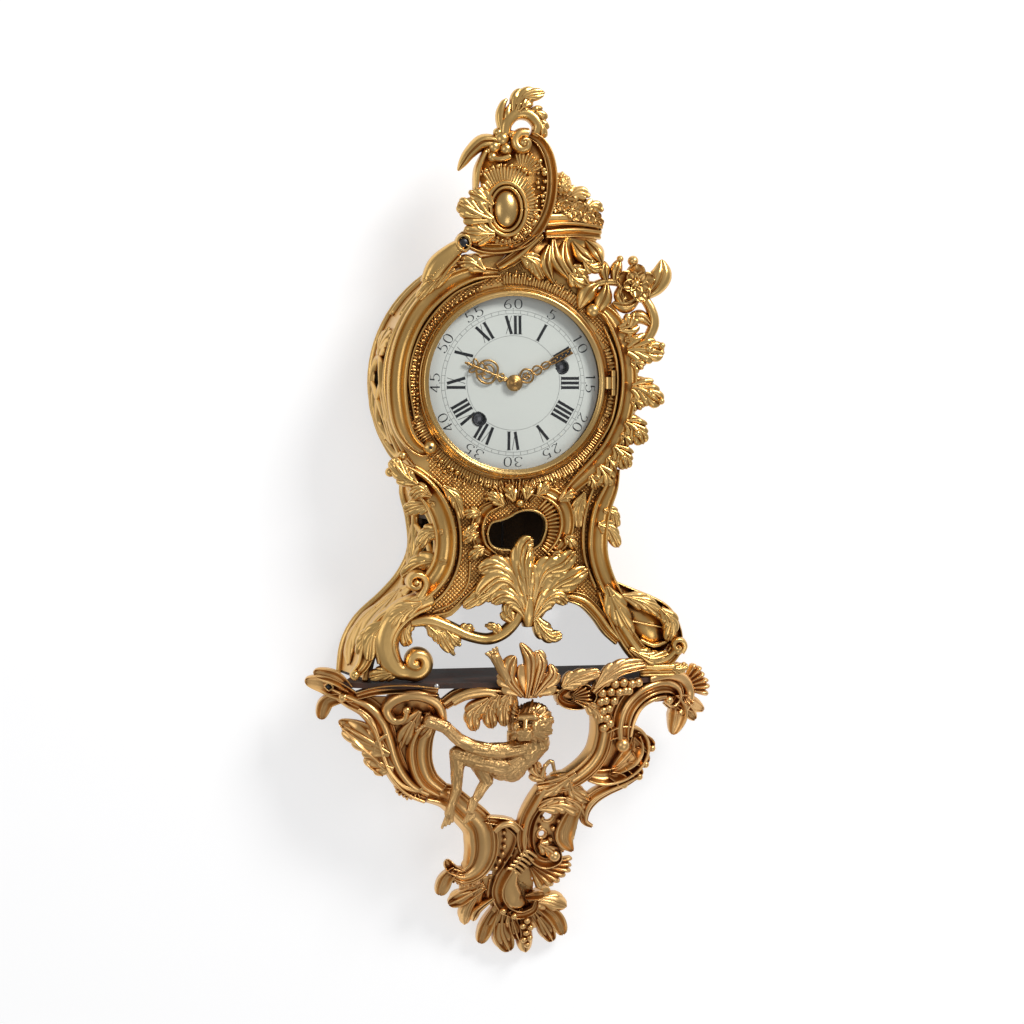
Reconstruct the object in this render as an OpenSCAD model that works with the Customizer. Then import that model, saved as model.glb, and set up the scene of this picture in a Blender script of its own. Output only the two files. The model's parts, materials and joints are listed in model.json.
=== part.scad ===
// Gilt-bronze cartel clock standing on its wall bracket.
// Wall at y = 0, front towards -y, origin midway between the two wall screws.

/* [Dial and bezel] */
// Radius of the dial that shows inside the bezel
dial_r = 86; // [80:1:92]
// Width of the bezel ring
bezel_w = 11; // [9:0.5:13]
// Height of the bezel above the front plate
bezel_h = 12; // [11:0.5:15]
// Thickness of the glass
glass_t = 2; // [1.5:0.1:2.6]
// Rise of the glass dome
glass_rise = 7; // [6:0.5:10]
// Thickness of the enamelled dial
dial_t = 2.2; // [1.6:0.1:3]
// Rise of the dial's dome
dial_rise = 4.5; // [3:0.25:5]
// Radius of the winding holes in the dial
key_hole_r = 7; // [6:0.25:8]

/* [Case] */
// Depth of the case from its back to its front face
case_depth = 92; // [88:1:110]
// Gap between the case and the wall
wall_gap = 6; // [6:0.5:10]
// Thickness of the front plate
plate_t = 5; // [4:0.5:6]
// Thickness of the side castings
side_t = 3; // [2:0.5:5]
// Width of the front plate around the bezel
rim = 30; // [28:0.5:33]
// Height of the waist, from the shelf to the bezel
waist_h = 201; // [198:1:206]
// Height of the main scrolls above the front plate
relief = 12; // [9:0.5:14]
// Thickness of the back frame
back_t = 3; // [2:0.5:4]
// Radius of the round part of the back door
door_r = 86; // [80:1:92]

/* [Bracket] */
// Thickness of the shelf plate
shelf_t = 5; // [4:0.5:7]
// Depth of the shelf from the wall to the bracket's front
shelf_depth = 122; // [118:1:130]
// Height of the shelf's top above the wall screws
screw_drop = 22; // [20:1:28]
// Distance between the wall screws
lug_spacing = 200; // [180:2:210]
// Radius of the wall screw holes
screw_r = 3; // [2.5:0.1:4]
// Thickness of the wall lugs
lug_t = 4; // [3:0.5:6]
// Width of each wall lug
lug_w = 26; // [20:1:32]

/* [Movement] */
// Space between the movement plates
plate_gap = 40; // [40:0.5:44]
// Radius of the movement plates
mov_r = 66; // [64:0.5:70]
// Thickness of the movement plates
mov_t = 3; // [2.5:0.1:3.5]
// Radius of the four pillars
pillar_r = 4; // [3:0.25:4.5]
// Radius of the wheel arbors
arbor_r = 1.2; // [1:0.05:1.4]
// Radius of the pivots at the arbors' ends
pivot_r = 0.8; // [0.6:0.05:0.9]
// Radius of the winding arbors
winding_r = 2.5; // [2:0.1:2.8]
// Thickness of the train wheels
wheel_t = 2; // [1.5:0.1:2.4]
// Radius of the bell
bell_r = 26; // [22:0.5:28]
// Wall of the bell
bell_t = 1.6; // [1.2:0.1:2]

/* [Pendulum] */
// Length of the pendulum, pivot to middle of the bob
pendulum_len = 248; // [240:1:254]
// Radius of the bob
bob_r = 16; // [13:0.5:18]
// Thickness of the bob
bob_t = 6; // [4:0.5:8]
// Radius of the pendulum rod
rod_r = 1.2; // [0.9:0.1:1.4]

/* [Fits] */
// Radial gap of turning pivots
run_gap = 0.06; // [0.03:0.01:0.09]
// Gap between pieces that only lie beside each other
seat_gap = 0.4; // [0.2:0.05:0.6]

/* [Hidden] */
$fn = 48;
eps = 0.01;

// Main planes and centres, worked out from the sizes above.
bezel_r = dial_r + bezel_w;
body_r = bezel_r + rim;
shelf_z = screw_drop;
dial_z = shelf_z + waist_h + bezel_r;
front_y = -(wall_gap + case_depth);
back_y = -wall_gap;
mov_y = front_y + plate_t + 5;
inner_y = mov_y + mov_t;
back_plate_y = inner_y + plate_gap;
shelf_at = [0, shelf_z, front_y];
dial_at = [0, dial_z, front_y];
crest_at = [0, dial_z + bezel_r, front_y];

gilt = "goldenrod";
brass = "khaki";
steel = "slategray";

// Curves and lofts.

// Point on a Catmull-Rom curve between b and c.
function curve_point(a, b, c, d, t) =
    0.5 * (2 * b + (c - a) * t + (2 * a - 5 * b + 4 * c - d) * t * t
    + (3 * b - a - 3 * c + d) * t * t * t);

// Smooth list through p, with n steps from each point to the next.
function smooth(p, n = 3) =
    let (m = len(p) - 1)
    [for (i = [0:m - 1], k = [0:n - 1])
        curve_point(p[max(i - 1, 0)], p[i], p[i + 1], p[min(i + 2, m)], k / n),
     p[m]];

// Smooth closed outline through p.
function smooth_ring(p, n = 3) =
    let (m = len(p))
    [for (i = [0:m - 1], k = [0:n - 1])
        curve_point(p[(i + m - 1) % m], p[i], p[(i + 1) % m], p[(i + 2) % m], k / n)];

function polar(r, a) = [r * cos(a), r * sin(a)];

// Points given as [angle, distance outside the bezel, lift, half width, height] turned to x and z.
function round_dial(p) =
    [for (q = p) [(bezel_r + q[1]) * cos(q[0]), (bezel_r + q[1]) * sin(q[0]), q[2], q[3], q[4]]];

// Solid through closed rings of equal count.
module loft(rings) {
    n = len(rings[0]);
    m = len(rings);
    points = [for (r = rings, q = r) q];
    walls = [for (i = [0:m - 2], j = [0:n - 1], h = [0, 1])
        let (a = i * n + j, b = i * n + (j + 1) % n)
        h == 0 ? [a, a + n, b + n] : [a, b + n, b]];
    near_end = [for (j = [1:n - 2]) [0, j, j + 1]];
    far_end = [for (j = [1:n - 2]) [(m - 1) * n, (m - 1) * n + j + 1, (m - 1) * n + j]];
    polyhedron(concat(points, []), concat(walls, near_end, far_end));
}

// Cross sections: across from 1 to -1, height from 0 at the flat back to 1.
round_section = [[1, 0], [0.75, 0.75], [0, 1], [-0.75, 0.75], [-1, 0]];
hollow_section = [[0, 0], [1, 0], [0.8, 1], [0, 0.5], [-0.8, 1], [-1, 0]];
leaf_section = [[1, 0], [0.45, 0.75], [0, 1], [-0.45, 0.75], [-1, 0]];

// Rings of a section along a path of [x, z, lift, half width, height], set at a datum.
function strap_rings(path, section, at) =
    [for (i = [0:len(path) - 1])
        let (p = path[i], a = path[max(i - 1, 0)], b = path[min(i + 1, len(path) - 1)],
             t = [b[0] - a[0], b[1] - a[1]], n = [-t[1], t[0]] / norm(t))
        [for (q = section) [
            at[0] + p[0] + n[0] * q[0] * p[3],
            at[2] - p[2] - q[1] * p[4] * relief,
            at[1] + p[1] + n[1] * q[0] * p[3]]]];

// Scroll band with a flat back.
module strap(path, at, section = round_section, n = 2) {
    loft(strap_rings(smooth(path, n), section, at));
}

// Leaf blade: a strap whose edge swells in lobes.
module leaf(path, at, lobes = 3) {
    s = smooth(path, lobes < 3 ? 2 : 3);
    last = len(s) - 1;
    low = min([for (p = path) p[2]]);
    edge = [for (i = [0:last])
        let (p = s[i], k = 1 - 0.25 * pow(cos(180 * lobes * i / last), 2))
        [p[0], p[1], max(p[2], low), max(p[3] * k, 0.4), p[4]]];
    loft(strap_rings(edge, leaf_section, at));
}

// Berry or button, half sunk in what carries it.
module berry(x, z, lift, r, at) {
    translate([at[0] + x, at[2] - lift, at[1] + z]) sphere(r, $fn = 8);
}

// One pour of bronze: its strands joined into a single skin.
module casting() {
    color(gilt) resize([0, 0, 0]) union() children();
}

// Flat piece drawn in x and z, from y_front backwards.
module slab(y_front, t) {
    translate([0, y_front + t, 0]) rotate([90, 0, 0]) linear_extrude(t) children();
}

// Turned piece about a line along y, profile in [radius, distance forward].
module turned(x, z, y, profile) {
    translate([x, y, z]) rotate([90, 0, 0]) rotate_extrude($fn = 96) polygon(profile);
}

// Round rod along y, from y_front backwards.
module rod(x, z, y_front, len, r) {
    translate([x, y_front, z]) rotate([-90, 0, 0]) cylinder(h = len, r = r);
}

// Bracket.

// Distance of the bracket's bulging front from the wall.
bulge_foot = 22;
bulge_half_w = 235;
bulge_drop = 300;
function bulge(x, z) =
    bulge_foot + (shelf_depth - bulge_foot) * (1 - pow(min(abs(x), 225) / bulge_half_w, 4))
    * (1 - pow(min(max(-z, 0), 295) / bulge_drop, 1.1));

// Bracket bands are [x, z, half width, thickness], their front on the bulge; ahead pushes them forward.
function on_bulge(p, ahead = 0) =
    [for (q = p) [q[0], q[1], bulge(q[0], q[1]) + ahead - q[3] + front_y, q[2], q[3] / relief]];

shelf_inset = 5;
shelf_half_w = 172;
module shelf_outline() {
    steps = 24;
    polygon(concat(
        [[shelf_half_w - 30, 0], [-shelf_half_w + 30, 0]],
        [for (i = [0:steps])
            let (x = -shelf_half_w + 2 * shelf_half_w * i / steps)
            [x, -bulge(x, 0) + shelf_inset]]));
}

module shelf_plate() {
    translate([0, 0, shelf_z - shelf_t]) linear_extrude(shelf_t) shelf_outline();
}

module shelf() {
    color("black") shelf_plate();
}

lug_drop = 14;
module wall_lugs() {
    color(steel)
    for (s = [-1, 1])
        difference() {
            translate([s * lug_spacing / 2 - lug_w / 2, -lug_t, -lug_drop])
                cube([lug_w, lug_t, lug_drop + shelf_z - shelf_t]);
            rod(s * lug_spacing / 2, 0, -lug_t - 1, lug_t + 2, screw_r);
        }
}

rail_bands = [
    [[-72, -22, 5, 12], [-60, -14, 5, 13], [-48, -10, 5, 13], [-34, -8, 5, 13], [-20, -9, 5, 13],
        [0, -10, 5, 13], [20, -10, 5, 13], [44, -10, 5, 13]],
    [[-22, -10, 3, 11], [-19, -18, 4, 12], [-28, -23, 4, 12], [-36, -19, 3, 11]]
];
shell_scroll = [[45, -14], [52, -8], [63, -6], [74, -9], [79, -17], [71, -25], [57, -26], [47, -21]];

module rail_body() {
    for (b = rail_bands) strap(on_bulge(b), shelf_at);
    strap(on_bulge([for (p = concat(shell_scroll, [shell_scroll[0]])) [p[0], p[1], 4, 15]]), shelf_at);
    leaf(on_bulge([[-20, -14, 6, 10], [-26, -30, 8, 11], [-22, -48, 2, 8]], 2), shelf_at);
    leaf(on_bulge([[46, -8, 4, 7], [60, 1, 7, 7], [86, 9, 2, 4]], 4), shelf_at, 2);
}

module bracket_rail() {
    casting() difference() {
        rail_body();
        shelf_plate();
    }
}

left_outer = [[-160, -22, 7, 13], [-146, -26, 10, 15], [-134, -40, 12, 16], [-127, -58, 12, 16],
    [-121, -78, 12, 16], [-113, -95, 12, 16], [-101, -109, 11, 15], [-84, -118, 10, 14]];
left_inner = [[-74, -38, 5, 11], [-86, -44, 9, 12], [-94, -62, 13, 13], [-93, -84, 13, 13],
    [-85, -102, 12, 13], [-70, -114, 9, 12]];
left_volute = [[-72, -42, 4, 12], [-76, -24, 5, 14], [-88, -14, 5, 15], [-104, -12, 5, 15],
    [-119, -16, 5, 15], [-127, -26, 4.5, 14], [-121, -36, 4, 14], [-111, -34, 3.5, 13], [-109, -26, 3, 12]];
left_band = [[-158, -15, 4, 12], [-138, -9, 4, 13], [-110, -8, 4, 13], [-78, -10, 4, 13]];
left_lower = [[-84, -116, 10, 13], [-64, -121, 13, 14], [-46, -137, 15, 15], [-31, -153, 17, 15],
    [-26, -170, 18, 15], [-26, -187, 17, 15], [-32, -201, 14, 14], [-44, -208, 10, 13], [-56, -203, 6, 12]];

module left_arm_body() {
    strap(on_bulge(left_outer), shelf_at, hollow_section);
    strap(on_bulge(left_inner), shelf_at, hollow_section);
    strap(on_bulge(left_volute), shelf_at);
    strap(on_bulge(left_band), shelf_at);
    strap(on_bulge(left_lower), shelf_at, hollow_section);
    leaf(on_bulge([[-150, -22, 8, 13], [-172, -14, 15, 12], [-192, -6, 13, 10], [-208, 0, 2, 6]]), shelf_at);
    leaf(on_bulge([[-158, -22, 8, 12], [-176, -28, 9, 10], [-190, -39, 2, 6]]), shelf_at, 2);
    leaf(on_bulge([[-130, -66, 12, 12], [-148, -54, 12, 11], [-172, -42, 2, 6]]), shelf_at, 2);
    leaf(on_bulge([[-112, -92, 9, 12], [-108, -112, 11, 11], [-86, -130, 3, 8]]), shelf_at, 2);
    leaf(on_bulge([[-50, -196, 6, 10], [-62, -214, 7, 9], [-66, -232, 2, 6]]), shelf_at, 2);
}

module bracket_left_arm() {
    casting() difference() {
        left_arm_body();
        shelf_plate();
        rail_body();
    }
}

right_outer = [[103, -58, 6, 13], [103, -42, 8, 14], [108, -27, 9, 15], [118, -17, 9, 15], [133, -13, 9, 15],
    [150, -12, 9, 15], [167, -15, 8, 15], [180, -23, 7, 14], [183, -34, 5, 13], [173, -39, 4, 12],
    [165, -32, 3.5, 11]];
right_arm_path = [[84, -24, 7, 14], [88, -34, 9, 16], [92, -48, 11, 17], [92, -62, 11, 17],
    [88, -79, 11, 17], [77, -94, 11, 16], [60, -106, 10, 15], [42, -111, 9, 14], [28, -112, 7, 12]];
right_lower = [[98, -60, 6, 12], [112, -56, 7, 12], [127, -60, 8, 13], [135, -73, 9, 13], [131, -89, 9, 13],
    [117, -101, 9, 13], [98, -105, 9, 13], [82, -102, 7, 12]];
right_edge = [[126, -108, 6, 11], [106, -115, 8, 12], [89, -124, 8, 12], [78, -138, 6, 11], [80, -156, 2, 8]];
grapes = [[90, -9], [105, -9], [98, -22]];

module right_arm_body() {
    strap(on_bulge(right_outer), shelf_at);
    strap(on_bulge(right_arm_path), shelf_at, hollow_section);
    strap(on_bulge(right_lower), shelf_at, hollow_section);
    leaf(on_bulge(right_edge), shelf_at);
    for (g = grapes) berry(g[0], g[1], bulge(g[0], g[1]) + front_y - 2, 9, shelf_at);
    leaf(on_bulge([[164, -26, 8, 13], [186, -18, 13, 12], [204, -9, 11, 10], [214, -2, 2, 6]]), shelf_at);
    leaf(on_bulge([[168, -28, 8, 12], [190, -34, 11, 10], [213, -45, 2, 6]]), shelf_at);
    leaf(on_bulge([[152, -12, 8, 12], [164, -42, 10, 11], [174, -66, 2, 6]]), shelf_at, 2);
    leaf(on_bulge([[124, -66, 8, 11], [144, -72, 10, 10], [154, -84, 2, 6]]), shelf_at, 2);
    leaf(on_bulge([[116, -96, 8, 11], [134, -100, 9, 9], [142, -112, 2, 6]]), shelf_at, 2);
    leaf(on_bulge([[78, -10, 4, 6], [92, 5, 6, 6], [108, 13, 6, 6], [132, 15, 2, 4]], 4), shelf_at, 2);
}

module bracket_right_arm() {
    casting() difference() {
        right_arm_body();
        shelf_plate();
        rail_body();
    }
}

module center_leaf_body() {
    leaf(on_bulge([[12, -16, 12, 6], [10, 4, 15, 7], [16, 26, 11, 6], [6, 42, 2, 3]], 4), shelf_at);
    leaf(on_bulge([[20, -12, 6, 6], [34, 2, 8, 6], [42, 16, 2, 3]], 4), shelf_at, 2);
    leaf(on_bulge([[2, -12, 6, 6], [-8, 2, 7, 6], [-18, 10, 2, 3]], 4), shelf_at, 2);
}

module bracket_center_leaf() {
    casting() difference() {
        center_leaf_body();
        shelf_plate();
        rail_body();
        right_arm_body();
    }
}

center_s = [[-24, -146, 4, 11], [0, -152, 4.5, 12], [14, -166, 4.5, 12], [12, -184, 4.5, 12],
    [4, -200, 4.5, 12], [-4, -216, 4.5, 12], [-6, -232, 4.5, 11], [2, -248, 4.5, 11], [18, -256, 4, 10],
    [32, -251, 3.5, 9], [35, -241, 3, 8]];
oval_c = [[78, -138, 4, 11], [62, -131, 5, 12], [44, -130, 5, 13], [30, -137, 5, 13], [23, -152, 5, 13],
    [22, -172, 5, 13], [28, -189, 5, 12], [41, -198, 5, 12], [54, -194, 4, 11], [54, -184, 3, 10]];
wall_stay_z = -232;
wall_stay = [26, 20];

module drop_body() {
    strap(on_bulge(center_s), shelf_at);
    strap(on_bulge(oval_c), shelf_at, hollow_section);
    strap(on_bulge([[28, -119, 6, 12], [22, -132, 6, 13], [14, -150, 5, 12]]), shelf_at);
    leaf(on_bulge([[28, -150, 6, 9], [40, -150, 10, 9], [62, -152, 9, 9], [70, -176, 2, 6]]), shelf_at);
    leaf(on_bulge([[24, -178, 6, 9], [38, -176, 7, 9], [56, -186, 3, 7]]), shelf_at, 2);
    leaf(on_bulge([[6, -148, 10, 8], [4, -184, 18, 8], [8, -222, 16, 8], [14, -252, 6, 6]], -5), shelf_at);
    leaf(on_bulge([[12, -196, 7, 10], [34, -206, 12, 10], [66, -210, 7, 7]]), shelf_at);
    leaf(on_bulge([[6, -206, 6, 10], [12, -224, 11, 12], [14, -246, 4, 10]]), shelf_at);
    berry(50, -188, bulge(50, -188) + front_y - 5, 6, shelf_at);
    translate([10 - wall_stay[0] / 2, -bulge(0, wall_stay_z) + 6, shelf_z + wall_stay_z - wall_stay[1] / 2])
        cube([wall_stay[0], bulge(0, wall_stay_z) - 6, wall_stay[1]]);
}

module bracket_drop() {
    casting() difference() {
        drop_body();
        left_arm_body();
        right_arm_body();
    }
}

// Spray leaves under the drop: root, middle and tip.
spray_leaves = [
    [[-2, -238], [-28, -236], [-54, -242]], [[0, -242], [-20, -252], [-38, -264]],
    [[4, -246], [-6, -268], [-22, -287]], [[12, -250], [10, -276], [12, -298]],
    [[18, -250], [26, -280], [30, -304]], [[26, -246], [44, -268], [60, -288]],
    [[30, -240], [52, -252], [70, -268]], [[30, -232], [50, -232], [70, -248]]
];
module bracket_leaf_spray() {
    casting() difference() {
        for (s = spray_leaves)
            leaf(on_bulge([[s[0][0], s[0][1], 7, 8], [s[1][0], s[1][1], 9, 9], [s[2][0], s[2][1], 1.5, 4]], -9),
                shelf_at, 2);
        berry(14, -240, bulge(14, -240) + front_y - 18, 14, shelf_at);
        drop_body();
        left_arm_body();
    }
}

// Monkey: limbs as tapering rolls between [x, z, distance from the wall, radius].
module limb(a, b) {
    hull() for (p = [a, b]) translate([p[0], -p[2], shelf_z + p[1]]) sphere(p[3], $fn = 8);
}

monkey_limbs = [
    [[17, -38, 100, 17], [8, -43, 106, 11]], [[14, -52, 94, 15], [-2, -82, 88, 17]],
    [[-2, -86, 88, 15], [-8, -92, 88, 13]], [[-4, -84, 96, 12], [-58, -64, 98, 9]],
    [[-58, -64, 98, 9], [-56, -100, 92, 6]], [[-56, -100, 92, 6], [-58, -128, 90, 5]],
    [[-58, -128, 90, 5], [-70, -133, 94, 3.5]], [[-8, -92, 84, 11], [-28, -92, 92, 9]],
    [[-28, -92, 92, 8], [-36, -126, 90, 5]], [[-36, -126, 90, 5], [-48, -132, 96, 3.5]],
    [[20, -62, 100, 9], [-20, -56, 108, 7]], [[-20, -56, 108, 7], [-66, -42, 112, 5]],
    [[-66, -42, 112, 5], [-78, -34, 114, 5]], [[6, -30, 108, 9], [-10, -2, 122, 6]],
    [[-10, -2, 122, 6], [-24, 24, 124, 6]], [[10, -80, 84, 5], [30, -92, 90, 4]],
    [[30, -92, 90, 4], [40, -82, 92, 3]]
];
module monkey() {
    casting() difference() {
        union() for (m = monkey_limbs) limb(m[0], m[1]);
        center_leaf_body();
        rail_body();
        left_arm_body();
        right_arm_body();
        shelf_plate();
    }
}

// Case.

// Outlines of the sides as [x at the front, x at the back, z above the shelf], dial end first.
left_waist = [[-80, -100, 186], [-69, -94, 160], [-67, -92, 128], [-77, -103, 102], [-99, -122, 80],
    [-124, -148, 56], [-140, -162, 30], [-146, -166, 0]];
right_waist = [[88, 100, 190], [81, 94, 160], [80, 94, 128], [90, 104, 98], [108, 124, 72],
    [132, 150, 50], [150, 166, 26], [156, 170, 0]];
side_splay = 7;
side_inset = 2;
dial_angles = [90, 108, 126, 144, 162, 180, 198, 212, 222];

// Side line in x and z: side -1 or 1, depth share 0 at the front and 1 at the back.
function side_line(side, depth) =
    let (r = body_r - side_inset + side_splay * depth,
         waist = side < 0 ? left_waist : right_waist)
    smooth(concat(
        [for (a = dial_angles) [-side * r * cos(a), dial_z + r * sin(a)]],
        [for (w = waist) [w[0] + (w[1] - w[0]) * depth, shelf_z + w[2]]]), 2);

function inward(p, i, t) =
    let (a = p[max(i - 1, 0)], b = p[min(i + 1, len(p) - 1)], d = (b - a) / norm(b - a))
    p[i] + t * [-d[1], d[0]];

side_front_y = front_y + plate_t;
side_back_y = back_y - back_t;

// Openings pierced through a side: [z above the shelf, half height, half width as a share of the depth].
side_slots = [[274, 44, 0.3], [132, 40, 0.26]];
slot_end = 0.08;
function slot_share(z) =
    max([for (s = side_slots) let (u = (z - s[0]) / s[1]) abs(u) <= 1 ? s[2] * sqrt(1 - 0.9 * u * u) : 0]);

function flipped(faces, on) = [for (f = faces) on ? [f[0], f[2], f[1]] : f];

// Curved side wall between the front plate and the back frame. Each row has four points through the depth on
// its outer and then its inner skin, and a slot leaves out the middle strip.
module side_wall(side, pierced = false) {
    f = side_line(side, 0);
    b = side_line(side, 1);
    last = len(f) - 1;
    t = side < 0 ? side_t : -side_t;
    row = [for (i = [0:last]) pierced ? slot_share(f[i][1] - shelf_z) : 0];
    points = [for (i = [0:last])
        let (fi = inward(f, i, t), bi = inward(b, i, t), w = max(row[i], slot_end),
             share = [0, 0.5 - w, 0.5 + w, 1],
             level = function (v) i == last ? f[i][1] : v,
             middle = function (v) i == 0 ? 0 : v)
        for (skin = [[f[i], b[i]], [fi, bi]], k = share)
            let (p = skin[0] + k * (skin[1] - skin[0]))
            [middle(p[0]), side_front_y + k * (side_back_y - side_front_y), level(p[1])]];
    open = [for (i = [0:last - 1]) row[i] > 0 && row[i + 1] > 0];
    quads = concat(
        [for (i = [0:last - 1], k = [0:2]) if (k != 1 || !open[i])
            let (a = 8 * i + k) each [[a, a + 1, a + 9, a + 8], [a + 4, a + 12, a + 13, a + 5]]],
        [for (i = [0:last - 1])
            let (a = 8 * i) each [[a, a + 8, a + 12, a + 4], [a + 3, a + 7, a + 15, a + 11]]],
        [for (i = [0:last - 1]) if (open[i])
            let (a = 8 * i) each [[a + 1, a + 5, a + 13, a + 9], [a + 2, a + 10, a + 14, a + 6]]],
        [for (i = [1:last - 1]) if (open[i] && !open[i - 1]) let (a = 8 * i) [a + 1, a + 2, a + 6, a + 5]],
        [for (i = [1:last - 1]) if (!open[i] && open[i - 1]) let (a = 8 * i) [a + 1, a + 5, a + 6, a + 2]],
        [for (k = [0:2]) [k, k + 4, k + 5, k + 1]],
        [for (k = [0:2]) let (a = 8 * last + k) [a, a + 1, a + 5, a + 4]]);
    faces = [for (q = quads) each [[q[0], q[2], q[1]], [q[0], q[3], q[2]]]];
    polyhedron(points, flipped(faces, side > 0));
}

module case_left_side() {
    casting() side_wall(-1, true);
}

module case_right_side() {
    casting() side_wall(1, true);
}

// Front plate: round the dial, down both waists, with an arched lower edge.
lower_edge = [[104, 40], [93, 47], [82, 62], [70, 75], [58, 78], [46, 78], [34, 68], [26, 58], [12, 57],
    [5, 72], [-6, 88], [-26, 92], [-42, 84], [-50, 78], [-62, 66], [-80, 61], [-100, 64]];
waist_rows = 4;
plate_lip = 2;
window = [[-26, 148], [-22, 158], [-12, 161], [-4, 164], [3, 168], [11, 170], [21, 169], [29, 164], [32, 156],
    [30, 146], [24, 136], [10, 131], [-4, 132], [-18, 134], [-24, 140]];

module plate_outline() {
    left = [for (i = [0:waist_rows]) [left_waist[i][0] - plate_lip, left_waist[i][2]]];
    right = [for (i = [0:waist_rows]) [right_waist[i][0] + plate_lip, right_waist[i][2]]];
    ring = [for (a = [-38:8:218]) [body_r * cos(a), dial_z + body_r * sin(a)]];
    down_left = [for (p = smooth(left)) [p[0], p[1] + shelf_z]];
    down_right = [for (p = smooth(right)) [p[0], p[1] + shelf_z]];
    across = [for (p = smooth(lower_edge, 2)) [p[0], p[1] + shelf_z]];
    polygon(concat(
        [for (i = [0:len(across) - 1]) across[len(across) - 1 - i]],
        [for (i = [0:len(down_right) - 1]) down_right[len(down_right) - 1 - i]],
        ring, down_left));
}

dial_hole_r = dial_r + 2;
module case_front() {
    color(gilt) slab(front_y, plate_t) difference() {
        plate_outline();
        translate([0, dial_z]) circle(dial_hole_r);
        translate([0, shelf_z]) polygon(smooth_ring(window));
    }
}

// Back frame and its door.
door_half_w = 52;
door_foot = 84;
door_gap = 0.6;
frame_foot = 66;
module door_outline(r, half_w, foot) {
    translate([0, dial_z]) circle(r);
    translate([-half_w, shelf_z + foot]) square([2 * half_w, dial_z - shelf_z - foot]);
}

module case_back() {
    l = side_line(-1, 1);
    r = side_line(1, 1);
    keep = function (p) [for (q = p) if (q[1] > shelf_z + frame_foot) q];
    rl = keep(r);
    color(gilt) {
        slab(back_y - back_t, back_t) difference() {
            polygon(concat(keep(l), [for (i = [0:len(rl) - 2]) rl[len(rl) - 1 - i]]));
            door_outline(door_r + door_gap, door_half_w + door_gap, door_foot - door_gap);
            translate([latch_x, latch_z]) circle(latch_r + run_gap);
        }
        door_knuckles(frame_knuckles, 0);
    }
}

// Door hinge on the right of the door, seen from the front.
hinge_pin_r = 0.9;
knuckle_r = 2.2;
knuckle_h = 10;
door_hinge_x = door_r + door_gap / 2;
door_hinge_y = back_y + knuckle_r + seat_gap;
frame_knuckles = [-1, 1];
door_knuckle = [0];
module door_knuckles(rows, lean) {
    for (k = rows)
        translate([door_hinge_x, door_hinge_y, dial_z + k * (knuckle_h + seat_gap) - knuckle_h / 2])
            difference() {
                union() {
                    cylinder(h = knuckle_h, r = knuckle_r);
                    translate([lean == 0 ? 0 : -6, -knuckle_r - seat_gap, 0]) cube([6, knuckle_r, knuckle_h]);
                }
                translate([0, 0, -1]) cylinder(h = knuckle_h + 2, r = hinge_pin_r + run_gap);
            }
}

latch_x = -door_r - 10;
latch_z = dial_z + 4;
latch_r = 1.6;
module back_door() {
    color(brass) {
        difference() {
            union() {
                slab(back_y - back_t, back_t) door_outline(door_r, door_half_w, door_foot);
            }
            for (k = [-2:2]) rod(k * 16, dial_z + 52 - abs(k) * 5, back_y - back_t - 1, back_t + 2, 4);
        }
        door_knuckles(door_knuckle, 1);
    }
}

module back_door_pin() {
    h = 3 * knuckle_h + 2 * seat_gap;
    color(steel) translate([door_hinge_x, door_hinge_y, dial_z - h / 2]) cylinder(h = h, r = hinge_pin_r);
}

button_t = 1.6;
button_len = 18;
module back_door_button() {
    color(brass) {
        rod(latch_x, latch_z, back_y - back_t, back_t + eps, latch_r);
        slab(back_y + run_gap, button_t) translate([latch_x, latch_z]) {
            circle(3.5);
            translate([-2.5, 0]) square([5, button_len]);
        }
        rod(latch_x, latch_z, back_y - eps, run_gap + 3 * eps, latch_r);
    }
}

// Scrolls beside the dial.
left_c = [[98, 13, 0, 4, 0.8], [112, 19, 0, 8, 1], [127, 21, 0, 9, 1.05], [144, 21, 0, 9, 1.05],
    [162, 20, 0, 9, 1.05], [180, 20, 0, 9, 1.05], [197, 22, 0, 9, 1.05], [208, 22, 0, 7, 1],
    [216, 17, 0, 5, 0.9], [217, 9, 0, 4, 0.8]];
right_c = [[42, 11, 0, 4, 0.8], [38, 20, 0, 6, 0.95], [27, 22, 0, 8, 1], [13, 21, 0, 8, 1], [-2, 19, 0, 8, 1],
    [-17, 20, 0, 8, 1], [-32, 20, 0, 8, 1], [-45, 19, 0, 8, 1], [-58, 21, 0, 7, 0.95], [-67, 28, 0, 4, 0.8]];

module left_c_body() {
    strap(round_dial(left_c), dial_at, hollow_section);
    berry((bezel_r + 9) * cos(217), (bezel_r + 9) * sin(217), 6, 6, dial_at);
}

module right_c_body() {
    strap(round_dial(right_c), dial_at, hollow_section);
    berry((bezel_r + 11) * cos(42), (bezel_r + 11) * sin(42), 6, 6.5, dial_at);
}

module above_plate() {
    translate([-300, front_y - 100, -400]) cube([600, 100, 1200]);
}

module left_c_scroll() {
    casting() intersection() {
        left_c_body();
        above_plate();
    }
}

module right_c_scroll() {
    casting() intersection() {
        right_c_body();
        above_plate();
    }
}

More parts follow.
